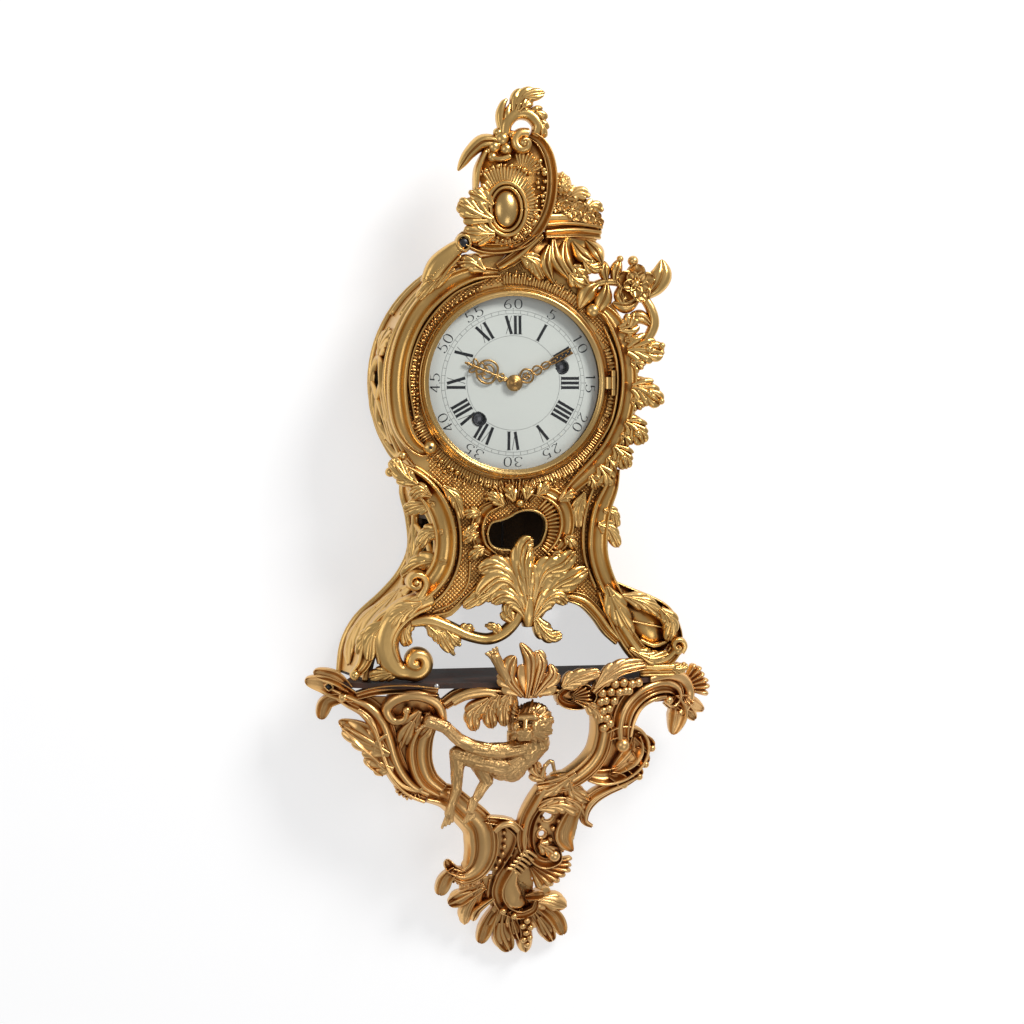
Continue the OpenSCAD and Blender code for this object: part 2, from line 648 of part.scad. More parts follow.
// Leaves that stand out from the right scroll: [angle, reach beyond the bezel, half width, turn].
border_leaves = [[25, 42, 7, 4], [15, 60, 11, -4], [-2, 55, 10, -5], [-19, 47, 9, -5], [-31, 46, 9, -4],
    [-42, 44, 8, -4]];
module border_body() {
    for (b = border_leaves)
        leaf(round_dial([[b[0] + 1, 26, 0, b[2] * 0.8, 0.7], [b[0], 34, 0, b[2], 0.8],
            [b[0] + b[3] * 0.5, (34 + b[1]) / 2, 2, b[2] * 0.8, 0.7], [b[0] + b[3], b[1], 4, 1.5, 0.4]]), dial_at, 2);
    strap(round_dial([for (a = [28:-8:-44]) [a, 28, 0, 3, 0.5]]), dial_at);
    for (a = [7, -11, -25]) berry((bezel_r + 31) * cos(a), (bezel_r + 31) * sin(a), 4.6, 4.5, dial_at);
}

module leaf_border() {
    casting() difference() {
        border_body();
        right_c_body();
    }
}

flower = [123, 99];
petals = 5;
petal_len = 16;
module spray_body() {
    strap([[136, 42, 0, 3.5, 0.5], [143, 60, 2, 4, 0.5], [138, 76, 2, 4, 0.5], [125, 94, 0, 4, 0.5]], dial_at);
    strap([[72, 92, 0, 3, 0.5], [88, 100, 0, 4, 0.5], [104, 101, 0, 4, 0.5], [118, 96, 0, 4, 0.5]], dial_at);
    for (i = [0:petals - 1])
        let (u = polar(1, 360 * i / petals + 15))
        leaf([[flower[0], flower[1], 4, 4, 0.4], [flower[0] + u[0] * petal_len * 0.6,
            flower[1] + u[1] * petal_len * 0.6, 5, 7, 0.5], [flower[0] + u[0] * petal_len,
            flower[1] + u[1] * petal_len, 7, 3, 0.4]], dial_at, 1);
    berry(flower[0], flower[1], 10, 5, dial_at);
    leaf([[132, 88, 2, 4, 0.5], [148, 100, 2, 9, 0.6], [150, 124, 4, 1.5, 0.3]], dial_at, 2);
    leaf([[122, 104, 2, 3, 0.5], [121, 114, 3, 5, 0.6], [121, 124, 3, 2, 0.4]], dial_at, 1);
    leaf([[108, 96, 2, 4, 0.5], [100, 86, 2, 7, 0.6], [92, 88, 4, 1.5, 0.3]], dial_at, 2);
    leaf([[84, 99, 0, 4, 0.5], [76, 92, 2, 8, 0.6], [67, 78, 4, 1.5, 0.3]], dial_at, 2);
    leaf([[102, 100, 2, 3, 0.4], [103, 112, 2, 4, 0.5], [106, 124, 3, 1.5, 0.3]], dial_at, 1);
}

module flower_spray() {
    casting() difference() {
        spray_body();
        right_c_body();
        border_body();
        ledge_body();
    }
}

// Crest, in x and z above the bezel's top.
crest_ring = [[4, 137, 0, 2.5, 0.7], [1, 142, 0, 3, 0.8], [4, 149, 0, 3.5, 0.9], [14, 151, 0, 4, 1],
    [25, 144, 0, 4, 1], [34, 130, 0, 4, 1], [39, 110, 0, 4, 1], [38, 88, 0, 4, 1], [33, 70, 0, 4, 1],
    [24, 53, 0, 4, 1], [10, 41, 0, 4, 1], [-10, 35, 0, 4, 1], [-30, 35, 0, 4, 1], [-46, 41, 0, 4, 0.9],
    [-54, 50, 0, 3, 0.7]];
crest_field = [[-50, 48], [-46, 62], [-56, 80], [-44, 86], [-31, 92], [-36, 112], [-30, 128], [-15, 135],
    [4, 132], [18, 142], [30, 130], [36, 108], [35, 86], [28, 66], [12, 46], [-10, 38], [-32, 38]];
crest_t = 6;
stone = [-8, 75];
stone_half = [12, 18];
stone_ring_w = 7;
module oval(half) {
    scale([half[0], half[1]]) circle(1, $fn = 28);
}

module crest_body() {
    strap(crest_ring, crest_at);
    strap([[28, 50, 0, 4, 0.9], [14, 38, 0, 6, 1], [0, 27, 0, 7, 1], [-16, 17, 0, 5, 0.9]], crest_at);
    strap([[-30, 130, 0, 3, 0.8], [-37, 112, 0, 4, 0.9], [-36, 94, 0, 3, 0.8]], crest_at);
    slab(front_y - crest_t / 2, crest_t) translate([0, crest_at[1]]) polygon(smooth_ring(crest_field, 2));
    slab(front_y - crest_t / 2 - 4, 5) translate([stone[0], crest_at[1] + stone[1]]) difference() {
        oval([stone_half[0] + stone_ring_w, stone_half[1] + stone_ring_w]);
        oval([stone_half[0] + seat_gap, stone_half[1] + seat_gap]);
    }
    leaf([[-28, 60, 2, 8, 0.7], [-42, 68, 3, 8, 0.7], [-57, 80, 5, 2, 0.4]], crest_at, 2);
    leaf([[-84, 4, 0, 5, 0.8], [-74, 20, 0, 9, 0.9], [-58, 34, 0, 6, 0.8], [-50, 40, 0, 3, 0.7]], crest_at);
}

module crest() {
    casting() difference() {
        crest_body();
        left_c_body();
    }
}

module crest_cabochon() {
    color(gilt) resize([0, 0, 0]) intersection() {
        translate([stone[0], front_y - crest_t / 2, crest_at[1] + stone[1]])
            scale([stone_half[0], 9, stone_half[1]]) sphere(1, $fn = 20);
        translate([0, -crest_t / 2, 0]) above_plate();
    }
}

module finial_body() {
    strap([[-8, 147, 0, 5, 0.8], [-7, 160, 0, 5, 0.9], [4, 171, 0, 5, 0.9], [18, 170, 0, 5, 0.9],
        [26, 159, 0, 5, 0.9], [20, 148, 0, 4, 0.8]], crest_at);
    leaf([[-8, 148, 0, 4, 0.6], [-12, 166, 2, 5, 0.6], [-9, 182, 4, 1.5, 0.3]], crest_at, 2);
    leaf([[6, 170, 0, 6, 0.7], [9, 183, 2, 9, 0.7], [19, 191, 4, 8, 0.6], [31, 192, 6, 2, 0.4]], crest_at);
    leaf([[-14, 138, 0, 7, 0.8], [-32, 140, 0, 8, 0.8], [-45, 130, 2, 6, 0.7], [-55, 113, 4, 2, 0.4]], crest_at, 2);
}

module crest_finial() {
    casting() difference() {
        finial_body();
        crest_body();
    }
}

// Ledge to the right of the crest, with fruit, flowers and the leaves that carry it.
ledge_flowers = [[47, 92], [58, 82], [70, 76], [83, 72]];
module ledge_body() {
    strap([[32, 50, -4, 5, 1], [52, 53, -10, 6, 1], [72, 54, -18, 6, 1], [94, 53, -28, 5, 0.9]], crest_at, hollow_section);
    berry(48, 101, -4, 13, crest_at);
    for (f = ledge_flowers) berry(f[0], f[1] - 7, -10, 9, crest_at);
    leaf([[46, 50, -4, 7, 0.8], [44, 32, 0, 11, 1], [34, 12, 0, 5, 0.7]], crest_at, 2);
    leaf([[66, 50, -10, 7, 0.8], [66, 34, -4, 11, 1], [58, 8, 0, 5, 0.7]], crest_at, 2);
    leaf([[86, 50, -22, 6, 0.8], [84, 34, -14, 8, 0.9], [74, 18, -6, 3, 0.5]], crest_at, 2);
}

module crest_ledge() {
    casting() difference() {
        ledge_body();
        crest_body();
        case_front();
    }
}

// Waist, in x and z above the shelf.
left_s = [[-118, 214, 0, 4, 0.7], [-102, 206, 0, 6, 0.9], [-84, 192, 0, 7, 1], [-70, 172, 0, 7, 1],
    [-63, 148, 0, 7, 1], [-65, 122, 0, 7, 1], [-74, 104, 0, 7, 1], [-88, 90, 0, 7, 1]];
right_s = [[98, 210, 0, 4, 0.7], [94, 192, 0, 6, 0.9], [84, 172, 0, 7, 1], [79, 150, 0, 7, 1],
    [79, 126, 0, 7, 1], [86, 102, 0, 7, 1], [96, 84, 0, 7, 1]];
module waist_body() {
    strap(left_s, shelf_at, hollow_section);
    strap(right_s, shelf_at, hollow_section);
    leaf([[-80, 178, 0, 6, 0.6], [-96, 176, -4, 8, 0.6], [-110, 170, -8, 2, 0.4]], shelf_at, 2);
    leaf([[-68, 120, 0, 6, 0.6], [-92, 118, -6, 8, 0.6], [-112, 104, -12, 2, 0.4]], shelf_at, 2);
    leaf([[86, 156, 0, 6, 0.6], [98, 150, 0, 7, 0.6], [108, 132, 0, 2, 0.4]], shelf_at, 2);
}

module waist_scrolls() {
    casting() difference() {
        waist_body();
        left_c_body();
        right_c_body();
        border_body();
        case_front();
        side_wall(-1);
        side_wall(1);
    }
}

frame_right = [[18, 188, 0, 4, 0.6], [36, 185, 0, 6, 0.8], [48, 174, 0, 7, 0.9], [52, 156, 0, 7, 0.9],
    [46, 138, 0, 6, 0.8], [36, 126, 0, 4, 0.6]];
frame_left = [[-14, 178, 0, 4, 0.6], [-30, 170, 0, 5, 0.8], [-36, 154, 0, 6, 0.8], [-32, 136, 0, 5, 0.8],
    [-18, 125, 0, 3, 0.6]];
module window_frame_body() {
    strap(frame_right, shelf_at, hollow_section);
    strap(frame_left, shelf_at);
    strap([[-24, 174, 0, 3, 0.5], [2, 176, 0, 3, 0.5], [28, 186, 0, 3, 0.5]], shelf_at);
    for (a = [-1.5:1.5:1.5])
        leaf([[2 + a * 6, 172, 0, 3, 0.5], [2 + a * 9, 182, 0, 4, 0.6], [2 + a * 12, 194 - abs(a) * 3, 2, 1.5, 0.4]],
            shelf_at, 1);
}

module window_frame() {
    casting() intersection() {
        difference() {
            window_frame_body();
            waist_body();
            slab(front_y - 40, 60) translate([0, shelf_z]) polygon(smooth_ring(window));
        }
        above_plate();
    }
}

// Apron acanthus: blades from one root, and the tendril to its left.
acanthus_blades = [
    [[14, 60, 0, 8, 0.9], [14, 90, 0, 11, 1.1], [9, 118, 2, 9, 1], [16, 142, 5, 2, 0.5]],
    [[12, 66, 0, 7, 0.9], [2, 92, 0, 10, 1], [-18, 100, 2, 9, 0.9], [-40, 82, 5, 2, 0.4]],
    [[10, 76, 0, 6, 0.9], [-6, 106, 0, 9, 1], [-36, 110, 4, 2, 0.4]],
    [[18, 70, 0, 7, 0.9], [32, 104, 0, 10, 1], [56, 116, 2, 7, 0.8], [62, 130, 5, 2, 0.4]],
    [[20, 64, 0, 7, 0.9], [42, 90, 0, 10, 1], [76, 112, 4, 2, 0.4]],
    [[20, 66, 0, 5, 0.8], [30, 50, 2, 5, 0.8], [49, 45, 5, 2, 0.4]]
];
tendril = [[-102, 60, 0, 4, 0.7], [-84, 60, 0, 4.5, 0.7], [-66, 54, 0, 4.5, 0.7], [-46, 46, 0, 4.5, 0.7],
    [-26, 42, 0, 4.5, 0.7], [-10, 48, 0, 4.5, 0.7], [2, 60, 0, 4, 0.7], [8, 74, 0, 3, 0.6]];
module acanthus_body() {
    for (b = acanthus_blades) leaf(b, shelf_at);
    strap(tendril, shelf_at);
    leaf([[-78, 56, 0, 4, 0.6], [-72, 44, 2, 6, 0.6], [-62, 26, 4, 1.5, 0.3]], shelf_at, 2);
}

module apron_acanthus() {
    casting() difference() {
        acanthus_body();
        window_frame_body();
        waist_body();
        foot_left_body();
    }
}

// Feet. The volute of the left foot winds in towards its middle.
left_volute_at = [-101, 20];
module foot_left_body() {
    turn = [for (k = [0:9])
        let (r = 16 - 1.15 * k, u = polar(r, 215 + 42 * k))
        [left_volute_at[0] + u[0], left_volute_at[1] + u[1], 0, 6.5 - 0.42 * k, 1]];
    strap(concat([[-84, 82, 0, 6, 0.9], [-104, 74, 0, 9, 1], [-122, 61, 0, 11, 1], [-131, 42, 0, 11, 1],
        [-126, 22, 0, 9, 1]], [for (k = [0:9]) turn[k]]), shelf_at, round_section, 2);
    strap([[-108, 70, 0, 6, 0.7], [-130, 58, 0, 7, 0.7], [-144, 38, 0, 7, 0.7], [-151, 18, 0, 6, 0.7],
        [-160, 9, 0, 5, 0.7]], shelf_at);
    leaf([[-98, 66, 0, 5, 0.6], [-110, 52, 0, 6, 0.6], [-106, 36, 0, 3, 0.5]], shelf_at, 2);
}

module left_foot() {
    casting() difference() {
        foot_left_body();
        waist_body();
        case_front();
        side_wall(-1);
        foot_floor();
    }
}

module foot_floor() {
    translate([-300, -300, shelf_z - 60]) cube([600, 300, 60]);
}

module foot_right_body() {
    strap([[92, 88, 0, 6, 0.9], [102, 66, 0, 7, 1], [114, 44, 0, 8, 1], [128, 24, 0, 8, 1], [144, 14, 0, 8, 1],
        [158, 18, 0, 7, 1], [168, 28, 0, 6, 1]], shelf_at, hollow_section);
    strap([[98, 92, -4, 5, 0.9], [116, 84, -4, 6, 0.9], [138, 75, -4, 7, 1], [156, 66, -4, 7, 1], [166, 50, -4, 6, 1],
        [168, 34, -4, 6, 1], [160, 20, -4, 5, 0.9]], shelf_at);
    strap([[112, 46, 0, 4, 0.8], [130, 42, 0, 6, 0.9], [150, 40, 0, 5, 0.8]], shelf_at);
    strap([[132, 9, 0, 9, 0.9], [166, 9, 0, 9, 0.9]], shelf_at);
    leaf([[160, 10, 0, 6, 0.8], [172, 8, 0, 5, 0.7], [180, 12, 2, 1.5, 0.4]], shelf_at, 1);
}

module right_foot() {
    casting() difference() {
        foot_right_body();
        waist_body();
        case_front();
        side_wall(1);
        foot_floor();
    }
}

// Dial and bezel. Distances forward are measured from the front plate's face.
dial_back = 0.5;
dial_steps = 8;
dial_out_r = dial_r + 1.2;
centre_hole_r = 4.4;
function dial_front(r) = -dial_back + dial_rise * (1 - pow(r / dial_out_r, 2));
function dial_ring(i) = centre_hole_r + (dial_out_r - centre_hole_r) * i / dial_steps;

foot_angles = [100, 165, 320];
foot_ring_r = 50;
dial_foot_r = 2.5;
module dial() {
    color("white") difference() {
        union() {
            turned(0, dial_z, front_y, concat(
                [for (i = [0:dial_steps]) [dial_ring(i), dial_front(dial_ring(i))]],
                [for (i = [dial_steps:-1:0]) [dial_ring(i), dial_front(dial_ring(i)) - dial_t]]));
            for (a = foot_angles)
                let (p = polar(foot_ring_r, a), y = front_y - dial_front(foot_ring_r) + dial_t / 2)
                rod(p[0], dial_z + p[1], y, mov_y - y, dial_foot_r);
        }
        for (w = [going_at, strike_at]) rod(w[0], w[1], front_y - 20, 40, key_hole_r);
    }
}

glass_seat = 3;
glass_out_r = dial_r + 1.7;
module bezel() {
    h = bezel_h;
    color(gilt) difference() {
        union() {
            turned(0, dial_z, front_y, [
                [dial_r + 2, 0], [bezel_r, 0], [bezel_r, h * 0.25], [bezel_r - 1.5, h * 0.33],
                [bezel_r - 1.5, h * 0.5], [bezel_r - 3.2, h * 0.72], [bezel_r - 4.6, h * 0.8],
                [bezel_r - 6, h], [dial_r + 2.2, h], [dial_r + 1, h * 0.9], [dial_r, h * 0.86],
                [dial_r, h - glass_seat], [dial_r + 2, h - glass_seat]]);
            translate([bezel_r - 5, hinge_y, dial_z - hinge_half])
                cube([hinge_x - bezel_r + 5, knuckle_r - 0.2, 2 * hinge_half]);
            translate([hinge_x, hinge_y, dial_z - hinge_half]) cylinder(h = 2 * hinge_half, r = knuckle_r);
        }
        translate([hinge_x, hinge_y, dial_z - 20]) cylinder(h = 40, r = hinge_pin_r + run_gap);
    }
}

module bezel_glass() {
    f = bezel_h - glass_seat;
    flat = dial_r - 2;
    dome = [for (i = [0:6]) let (r = flat * i / 6) [r, f + glass_rise * (1 - pow(r / flat, 2))]];
    color("lightcyan", 0.4) turned(0, dial_z, front_y, concat(
        [for (p = dome) [p[0], p[1] - glass_t]],
        [[glass_out_r, f - glass_t], [glass_out_r, f]],
        [for (i = [6:-1:0]) dome[i]]));
}

// Bezel hinge, upright at three o'clock.
hinge_x = bezel_r + 3;
hinge_y = front_y - bezel_h + 1;
hinge_half = 6;
post_h = 6;
module bezel_hinge_posts() {
    color(gilt) for (s = [-1, 1])
        translate([hinge_x, 0, dial_z + s * (hinge_half + seat_gap + post_h / 2) - post_h / 2]) difference() {
            union() {
                translate([-1.6, hinge_y, 0]) cube([3.2, front_y - hinge_y, post_h]);
                translate([0, hinge_y, 0]) cylinder(h = post_h, r = knuckle_r);
            }
            translate([0, hinge_y, -1]) cylinder(h = post_h + 2, r = hinge_pin_r + run_gap);
        }
}

module bezel_hinge_pin() {
    h = 2 * (hinge_half + seat_gap + post_h);
    color(steel) translate([hinge_x, hinge_y, dial_z - h / 2]) cylinder(h = h, r = hinge_pin_r);
}

// Hands, drawn pointing to twelve and turned to where they stand.
hour_angle = 292;
minute_angle = 61;
centre_r = 1.5;
cannon_r = 2.5;
hour_pipe_r = 4;
hand_t = 1;
hour_f = 6;
minute_f = 8;
hour_len = 56;
minute_len = 67;
cannon_y = mov_y - 3;
hour_y = mov_y - 6;

module hour_hand_outline() {
    difference() {
        union() {
            circle(8);
            translate([-1.6, 0]) square([3.2, 24]);
            translate([0, 32]) scale([0.62, 1]) circle(12);
            polygon([[-3, 40], [0, hour_len], [3, 40]]);
        }
        for (s = [-1, 1]) translate([s * 3.4, 32]) scale([0.35, 1]) circle(6);
    }
}

module minute_hand_outline() {
    difference() {
        union() {
            circle(5.5);
            translate([0, 11]) scale([0.7, 1]) circle(8);
            translate([-1.8, 14]) square([3.6, 34]);
            polygon([[-1.8, 47], [0, minute_len], [1.8, 47]]);
        }
        for (s = [-1, 1]) translate([s * 2.6, 12.5]) scale([0.4, 1]) circle(4);
    }
}

// Bore through a piece that turns about the dial's centre.
module dial_bore(r) {
    rod(0, dial_z, front_y - 40, 80, r + run_gap);
}

module hour_hand() {
    hand_y = front_y - hour_f - hand_t;
    color(gilt) difference() {
        union() {
            slab(hand_y, hand_t) translate(centre_at) rotate(-hour_angle) hour_hand_outline();
            rod(0, dial_z, hand_y, hour_y - hand_y, hour_pipe_r);
            slab(hour_y - 1.5, 1.5) translate(centre_at) rotate(hour_mesh) polygon(gear_points(hour_teeth, hour_m));
        }
        dial_bore(cannon_r);
    }
}

collet_r = 5;
module minute_hand() {
    hand_y = front_y - minute_f - hand_t;
    color(gilt) difference() {
        union() {
            slab(hand_y, hand_t) translate(centre_at) rotate(-minute_angle) minute_hand_outline();
            rod(0, dial_z, hand_y, cannon_y - hand_y, cannon_r);
            slab(cannon_y - 1.5, 1.5) translate(centre_at)
                polygon(gear_points(cannon_teeth, cannon_m, pinion_tooth));
            turned(0, dial_z, hand_y, [[0, -0.5], [collet_r, -0.5], [collet_r, 0.8], [3.4, 2.2], [0, 2.4]]);
        }
        dial_bore(centre_r);
    }
}

// Toothed wheels: tooth shape as [addendum, dedendum, tip share, root share] in modules and half pitches.
wheel_tooth = [0.8, 1.2, 0.2, 0.6];
pinion_tooth = [0.6, 1.25, 0.2, 0.5];
function gear_points(n, m, tooth = wheel_tooth) =
    [for (i = [0:n - 1], k = [0:3])
        let (tip = k == 1 || k == 2, r = n * m / 2 + m * (tip ? tooth[0] : -tooth[1]),
             a = (360 * i + 180 * (k < 2 ? -1 : 1) * (tip ? tooth[2] : tooth[3])) / n)
        [r * cos(a), r * sin(a)]];

// Turn of pinion b so that its leaves fall between the teeth of wheel a, which lies turned by turn_a.
function mesh_turn(direction, turn_a, na, nb) =
    direction + 180 + 180 / nb + (direction - turn_a) * na / nb;

// Wheel with four crossings.
module crossed_wheel(n, m, hub) {
    inner = n * m / 2 - m * 1.2 - 2;
    difference() {
        polygon(gear_points(n, m));
        difference() {
            circle(inner);
            circle(hub);
            for (a = [45, 135]) rotate(a) square([2 * inner, 2.2], center = true);
        }
    }
}

// Train: teeth, modules and arbor places.
barrel_teeth = 84;
barrel_m = 0.62;
second_pinion = 10;
second_teeth = 80;
second_m = 0.5;
centre_pinion = 12;
centre_teeth = 80;
centre_m = 0.45;
third_pinion = 8;
third_teeth = 72;
third_m = 0.4;
escape_pinion = 8;
escape_teeth = 40;
escape_r = 10;
pin_teeth = 72;
pin_m = 0.45;
strike_third_teeth = 64;
strike_third_m = 0.4;
cannon_teeth = 12;
cannon_m = 0.5;
minute_teeth = 36;
minute_pinion = 10;
hour_teeth = 40;
hour_m = 0.48;

function span(na, nb, m) = (na + nb) * m / 2;
barrel_span = span(barrel_teeth, second_pinion, barrel_m);
centre_span = span(second_teeth, centre_pinion, second_m);
centre_at = [0, dial_z];
going_d = 0.988 * (barrel_span + centre_span);
going_angle = 18;
going_at = centre_at + polar(going_d, going_angle);
second_angle = going_angle
    + acos((going_d * going_d + centre_span * centre_span - barrel_span * barrel_span) / (2 * going_d * centre_span));
second_at = centre_at + polar(centre_span, second_angle);
third_span = span(centre_teeth, third_pinion, centre_m);
third_angle = 120;
third_at = centre_at + polar(third_span, third_angle);
escape_span = span(third_teeth, escape_pinion, third_m);
escape_at = [0, third_at[1] + sqrt(escape_span * escape_span - third_at[0] * third_at[0])];
anchor_rise = 14;
anchor_at = escape_at + [0, anchor_rise];
strike_d = 49.5;
strike_at = centre_at + polar(strike_d, 226);
pin_angle = 100;
pin_at = strike_at + polar(barrel_span, pin_angle);
strike_third_angle = 70;
strike_third_at = pin_at + polar(span(pin_teeth, third_pinion, pin_m), strike_third_angle);
fly_angle = 100;
fly_at = strike_third_at + polar(span(strike_third_teeth, escape_pinion, strike_third_m), fly_angle);
minute_angle_at = -60;
minute_at = centre_at + polar(span(cannon_teeth, minute_teeth, cannon_m), minute_angle_at);
hammer_at = centre_at + [-36, 42];

function heading(a, b) = atan2(b[1] - a[1], b[0] - a[0]);
second_mesh = mesh_turn(heading(going_at, second_at), 0, barrel_teeth, second_pinion);
centre_mesh = mesh_turn(heading(second_at, centre_at), second_mesh, second_teeth, centre_pinion);
third_mesh = mesh_turn(third_angle, centre_mesh, centre_teeth, third_pinion);
escape_mesh = mesh_turn(heading(third_at, escape_at), third_mesh, third_teeth, escape_pinion);
pin_mesh = mesh_turn(pin_angle, 0, barrel_teeth, second_pinion);
strike_third_mesh = mesh_turn(strike_third_angle, pin_mesh, pin_teeth, third_pinion);
fly_mesh = mesh_turn(fly_angle, strike_third_mesh, strike_third_teeth, escape_pinion);
minute_mesh = mesh_turn(minute_angle_at, 0, cannon_teeth, minute_teeth);
hour_mesh = mesh_turn(minute_angle_at + 180, minute_mesh, minute_pinion, hour_teeth);

end_shake = 0.2;

// Arbor between the plates with a pivot at each end.
module arbor(at) {
    rod(at[0], at[1], inner_y + end_shake, plate_gap - 2 * end_shake, arbor_r);
    rod(at[0], at[1], inner_y - mov_t + 0.2, plate_gap + 2 * mov_t - 0.4, pivot_r);
}

// Wheel or pinion at a distance behind the front plate.
module wheel_at(at, behind, t, turn) {
    slab(inner_y + behind, t) translate(at) rotate(turn) children();
}

module pinion(n, m) {
    polygon(gear_points(n, m, pinion_tooth));
}

module pivot_holes() {
    for (p = [second_at, third_at, escape_at, pin_at, strike_third_at, fly_at, hammer_at])
        translate(p) circle(pivot_r + run_gap);
}

pillar_angles = [75, 150, 285, 330];
pillar_ring = mov_r - 8;
stud_r = 1.5;
module front_plate() {
    color(brass) {
        slab(mov_y, mov_t) difference() {
            translate(centre_at) circle(mov_r);
            pivot_holes();
            translate(anchor_at) circle(pivot_r + run_gap);
            translate(centre_at) circle(centre_r + run_gap);
            for (w = [going_at, strike_at]) translate(w) circle(winding_r + run_gap);
        }
        rod(minute_at[0], minute_at[1], hour_y - 2.2, mov_y - hour_y + 2.2 + eps, stud_r);
    }
}

anchor_arbor_r = 2;
module back_plate() {
    color(brass) slab(back_plate_y, mov_t) difference() {
        translate(centre_at) circle(mov_r);
        pivot_holes();
        translate(anchor_at) circle(anchor_arbor_r + run_gap);
        translate(centre_at) circle(pivot_r + run_gap);
        translate(going_at) circle(winding_r + run_gap);
        translate(strike_at) circle(count_pipe_r + run_gap);
    }
}

module plate_pillars() {
    color(brass) for (a = pillar_angles)
        let (p = centre_at + polar(pillar_ring, a)) {
            rod(p[0], p[1], inner_y, plate_gap, pillar_r * 0.7);
            for (k = [0, plate_gap - 4, plate_gap / 2 - 3]) rod(p[0], p[1], inner_y + k, k == plate_gap / 2 - 3 ? 6 : 4, pillar_r);
        }
}

strap_w = 12;
module movement_straps() {
    reach = [mov_r - 6, body_r - 10];
    color(brass) for (s = [-1, 1])
        translate([s > 0 ? reach[0] : -reach[1], side_front_y, dial_z - strap_w / 2])
            cube([reach[1] - reach[0], mov_y - side_front_y, strap_w]);
}

ratchet_teeth = 18;
ratchet_r = 8;
ratchet_t = 1.6;
function ratchet_points(n, r, depth) =
    [for (i = [0:n - 1], k = [0:1]) polar(k == 0 ? r : r - depth, 360 * (i + k * 0.15) / n)];

module clicks() {
    color(steel) for (w = [going_at, strike_at])
        slab(mov_y - ratchet_t, ratchet_t) translate(w) rotate(-60) polygon([
            [ratchet_r + 0.4, 0], [ratchet_r + 2, -1.5], [ratchet_r + 6, 9], [ratchet_r + 4, 13],
            [ratchet_r + 1, 12], [ratchet_r + 2.4, 8]]);
}

// Barrel: drum, front cap and great wheel, turning on its winding arbor.
drum_from = 7;
drum_len = 26;
great_t = 3;
drum_wall = 1.6;
drum_r = barrel_teeth * barrel_m / 2 - 3.5;
module barrel(at) {
    slab(inner_y + drum_from, drum_wall) translate(at) difference() {
        circle(drum_r);
        circle(winding_r + run_gap);
    }
    slab(inner_y + drum_from, drum_len) translate(at) difference() {
        circle(drum_r);
        circle(drum_r - drum_wall);
    }
    slab(inner_y + drum_from + drum_len, great_t) translate(at) difference() {
        polygon(gear_points(barrel_teeth, barrel_m));
        circle(winding_r + run_gap);
    }
}

module going_barrel() {
    color(brass) barrel(going_at);
}

// Count wheel behind the back plate, on a pipe of the strike barrel.
count_pipe_r = 4.5;
count_r = 19;
count_t = 1.5;
module strike_barrel() {
    color(brass) {
        barrel(strike_at);
        pipe_from = inner_y + drum_from + drum_len + great_t - eps;
        difference() {
            rod(strike_at[0], strike_at[1], pipe_from, back_plate_y + mov_t + 2 - pipe_from, count_pipe_r);
            rod(strike_at[0], strike_at[1], pipe_from - 1, 60, winding_r + run_gap);
        }
        slab(back_plate_y + mov_t + 0.6, count_t) translate(strike_at) difference() {
            circle(count_r);
            circle(winding_r + run_gap);
            for (h = [1:11]) rotate(360 * (h * (h + 1) / 2) / 78) translate([count_r - 1, 0]) square([4, 1.6], center = true);
        }
    }
}

// Mainspring: a flat coil from the arbor to the drum's wall.
spring_turns = 7;
spring_t = 0.6;
core_r = 7;
module mainspring(at) {
    steps = spring_turns * 16;
    from = core_r + 0.3;
    to = drum_r - drum_wall - 0.3 - spring_t;
    line = [for (i = [0:steps]) [from + (to - from) * i / steps, 360 * spring_turns * i / steps]];
    slab(inner_y + drum_from + drum_wall + 1, drum_len - drum_wall - 2) translate(at) polygon(concat(
        [for (p = line) polar(p[0] + spring_t, p[1])],
        [for (i = [steps:-1:0]) polar(line[i][0], line[i][1])]));
}

module going_mainspring() {
    color(steel) mainspring(going_at);
}

module strike_mainspring() {
    color(steel) mainspring(strike_at);
}

square_w = 3.4;
square_len = 6;
module winding_arbor(at) {
    key_y = front_y - dial_front(going_d) + 1;
    rod(at[0], at[1], key_y + square_len, back_plate_y + mov_t + 3 - key_y - square_len, winding_r);
    translate([at[0] - square_w / 2, key_y, at[1] - square_w / 2]) cube([square_w, square_len + 1, square_w]);
    rod(at[0], at[1], inner_y + drum_from + drum_wall + 0.6, drum_len - drum_wall - 1.2, core_r);
    slab(mov_y - ratchet_t - 0.3, ratchet_t) translate(at) polygon(ratchet_points(ratchet_teeth, ratchet_r, 1.2));
}

module going_arbor() {
    color(steel) winding_arbor(going_at);
}

module strike_arbor() {
    color(steel) winding_arbor(strike_at);
}

// Wheels of the going train.
module second_wheel() {
    color(brass) {
        arbor(second_at);
        wheel_at(second_at, 2, wheel_t, second_mesh) crossed_wheel(second_teeth, second_m, 4);
        wheel_at(second_at, 32, 5, second_mesh) pinion(second_pinion, barrel_m);
    }
}

module centre_wheel() {
    color(brass) {
        rod(0, dial_z, front_y - minute_f - hand_t - 1.6, inner_y + plate_gap - end_shake - (front_y - minute_f - hand_t - 1.6), centre_r);
        rod(0, dial_z, inner_y, plate_gap + mov_t - 0.2, pivot_r);
        wheel_at(centre_at, 15, wheel_t, centre_mesh) crossed_wheel(centre_teeth, centre_m, 4);
        wheel_at(centre_at, 1.5, 4, centre_mesh) pinion(centre_pinion, second_m);
    }
}

module third_wheel() {
    color(brass) {
        arbor(third_at);
        wheel_at(third_at, 25, wheel_t, third_mesh) crossed_wheel(third_teeth, third_m, 3.5);
        wheel_at(third_at, 14, 5, third_mesh) pinion(third_pinion, centre_m);
    }
}

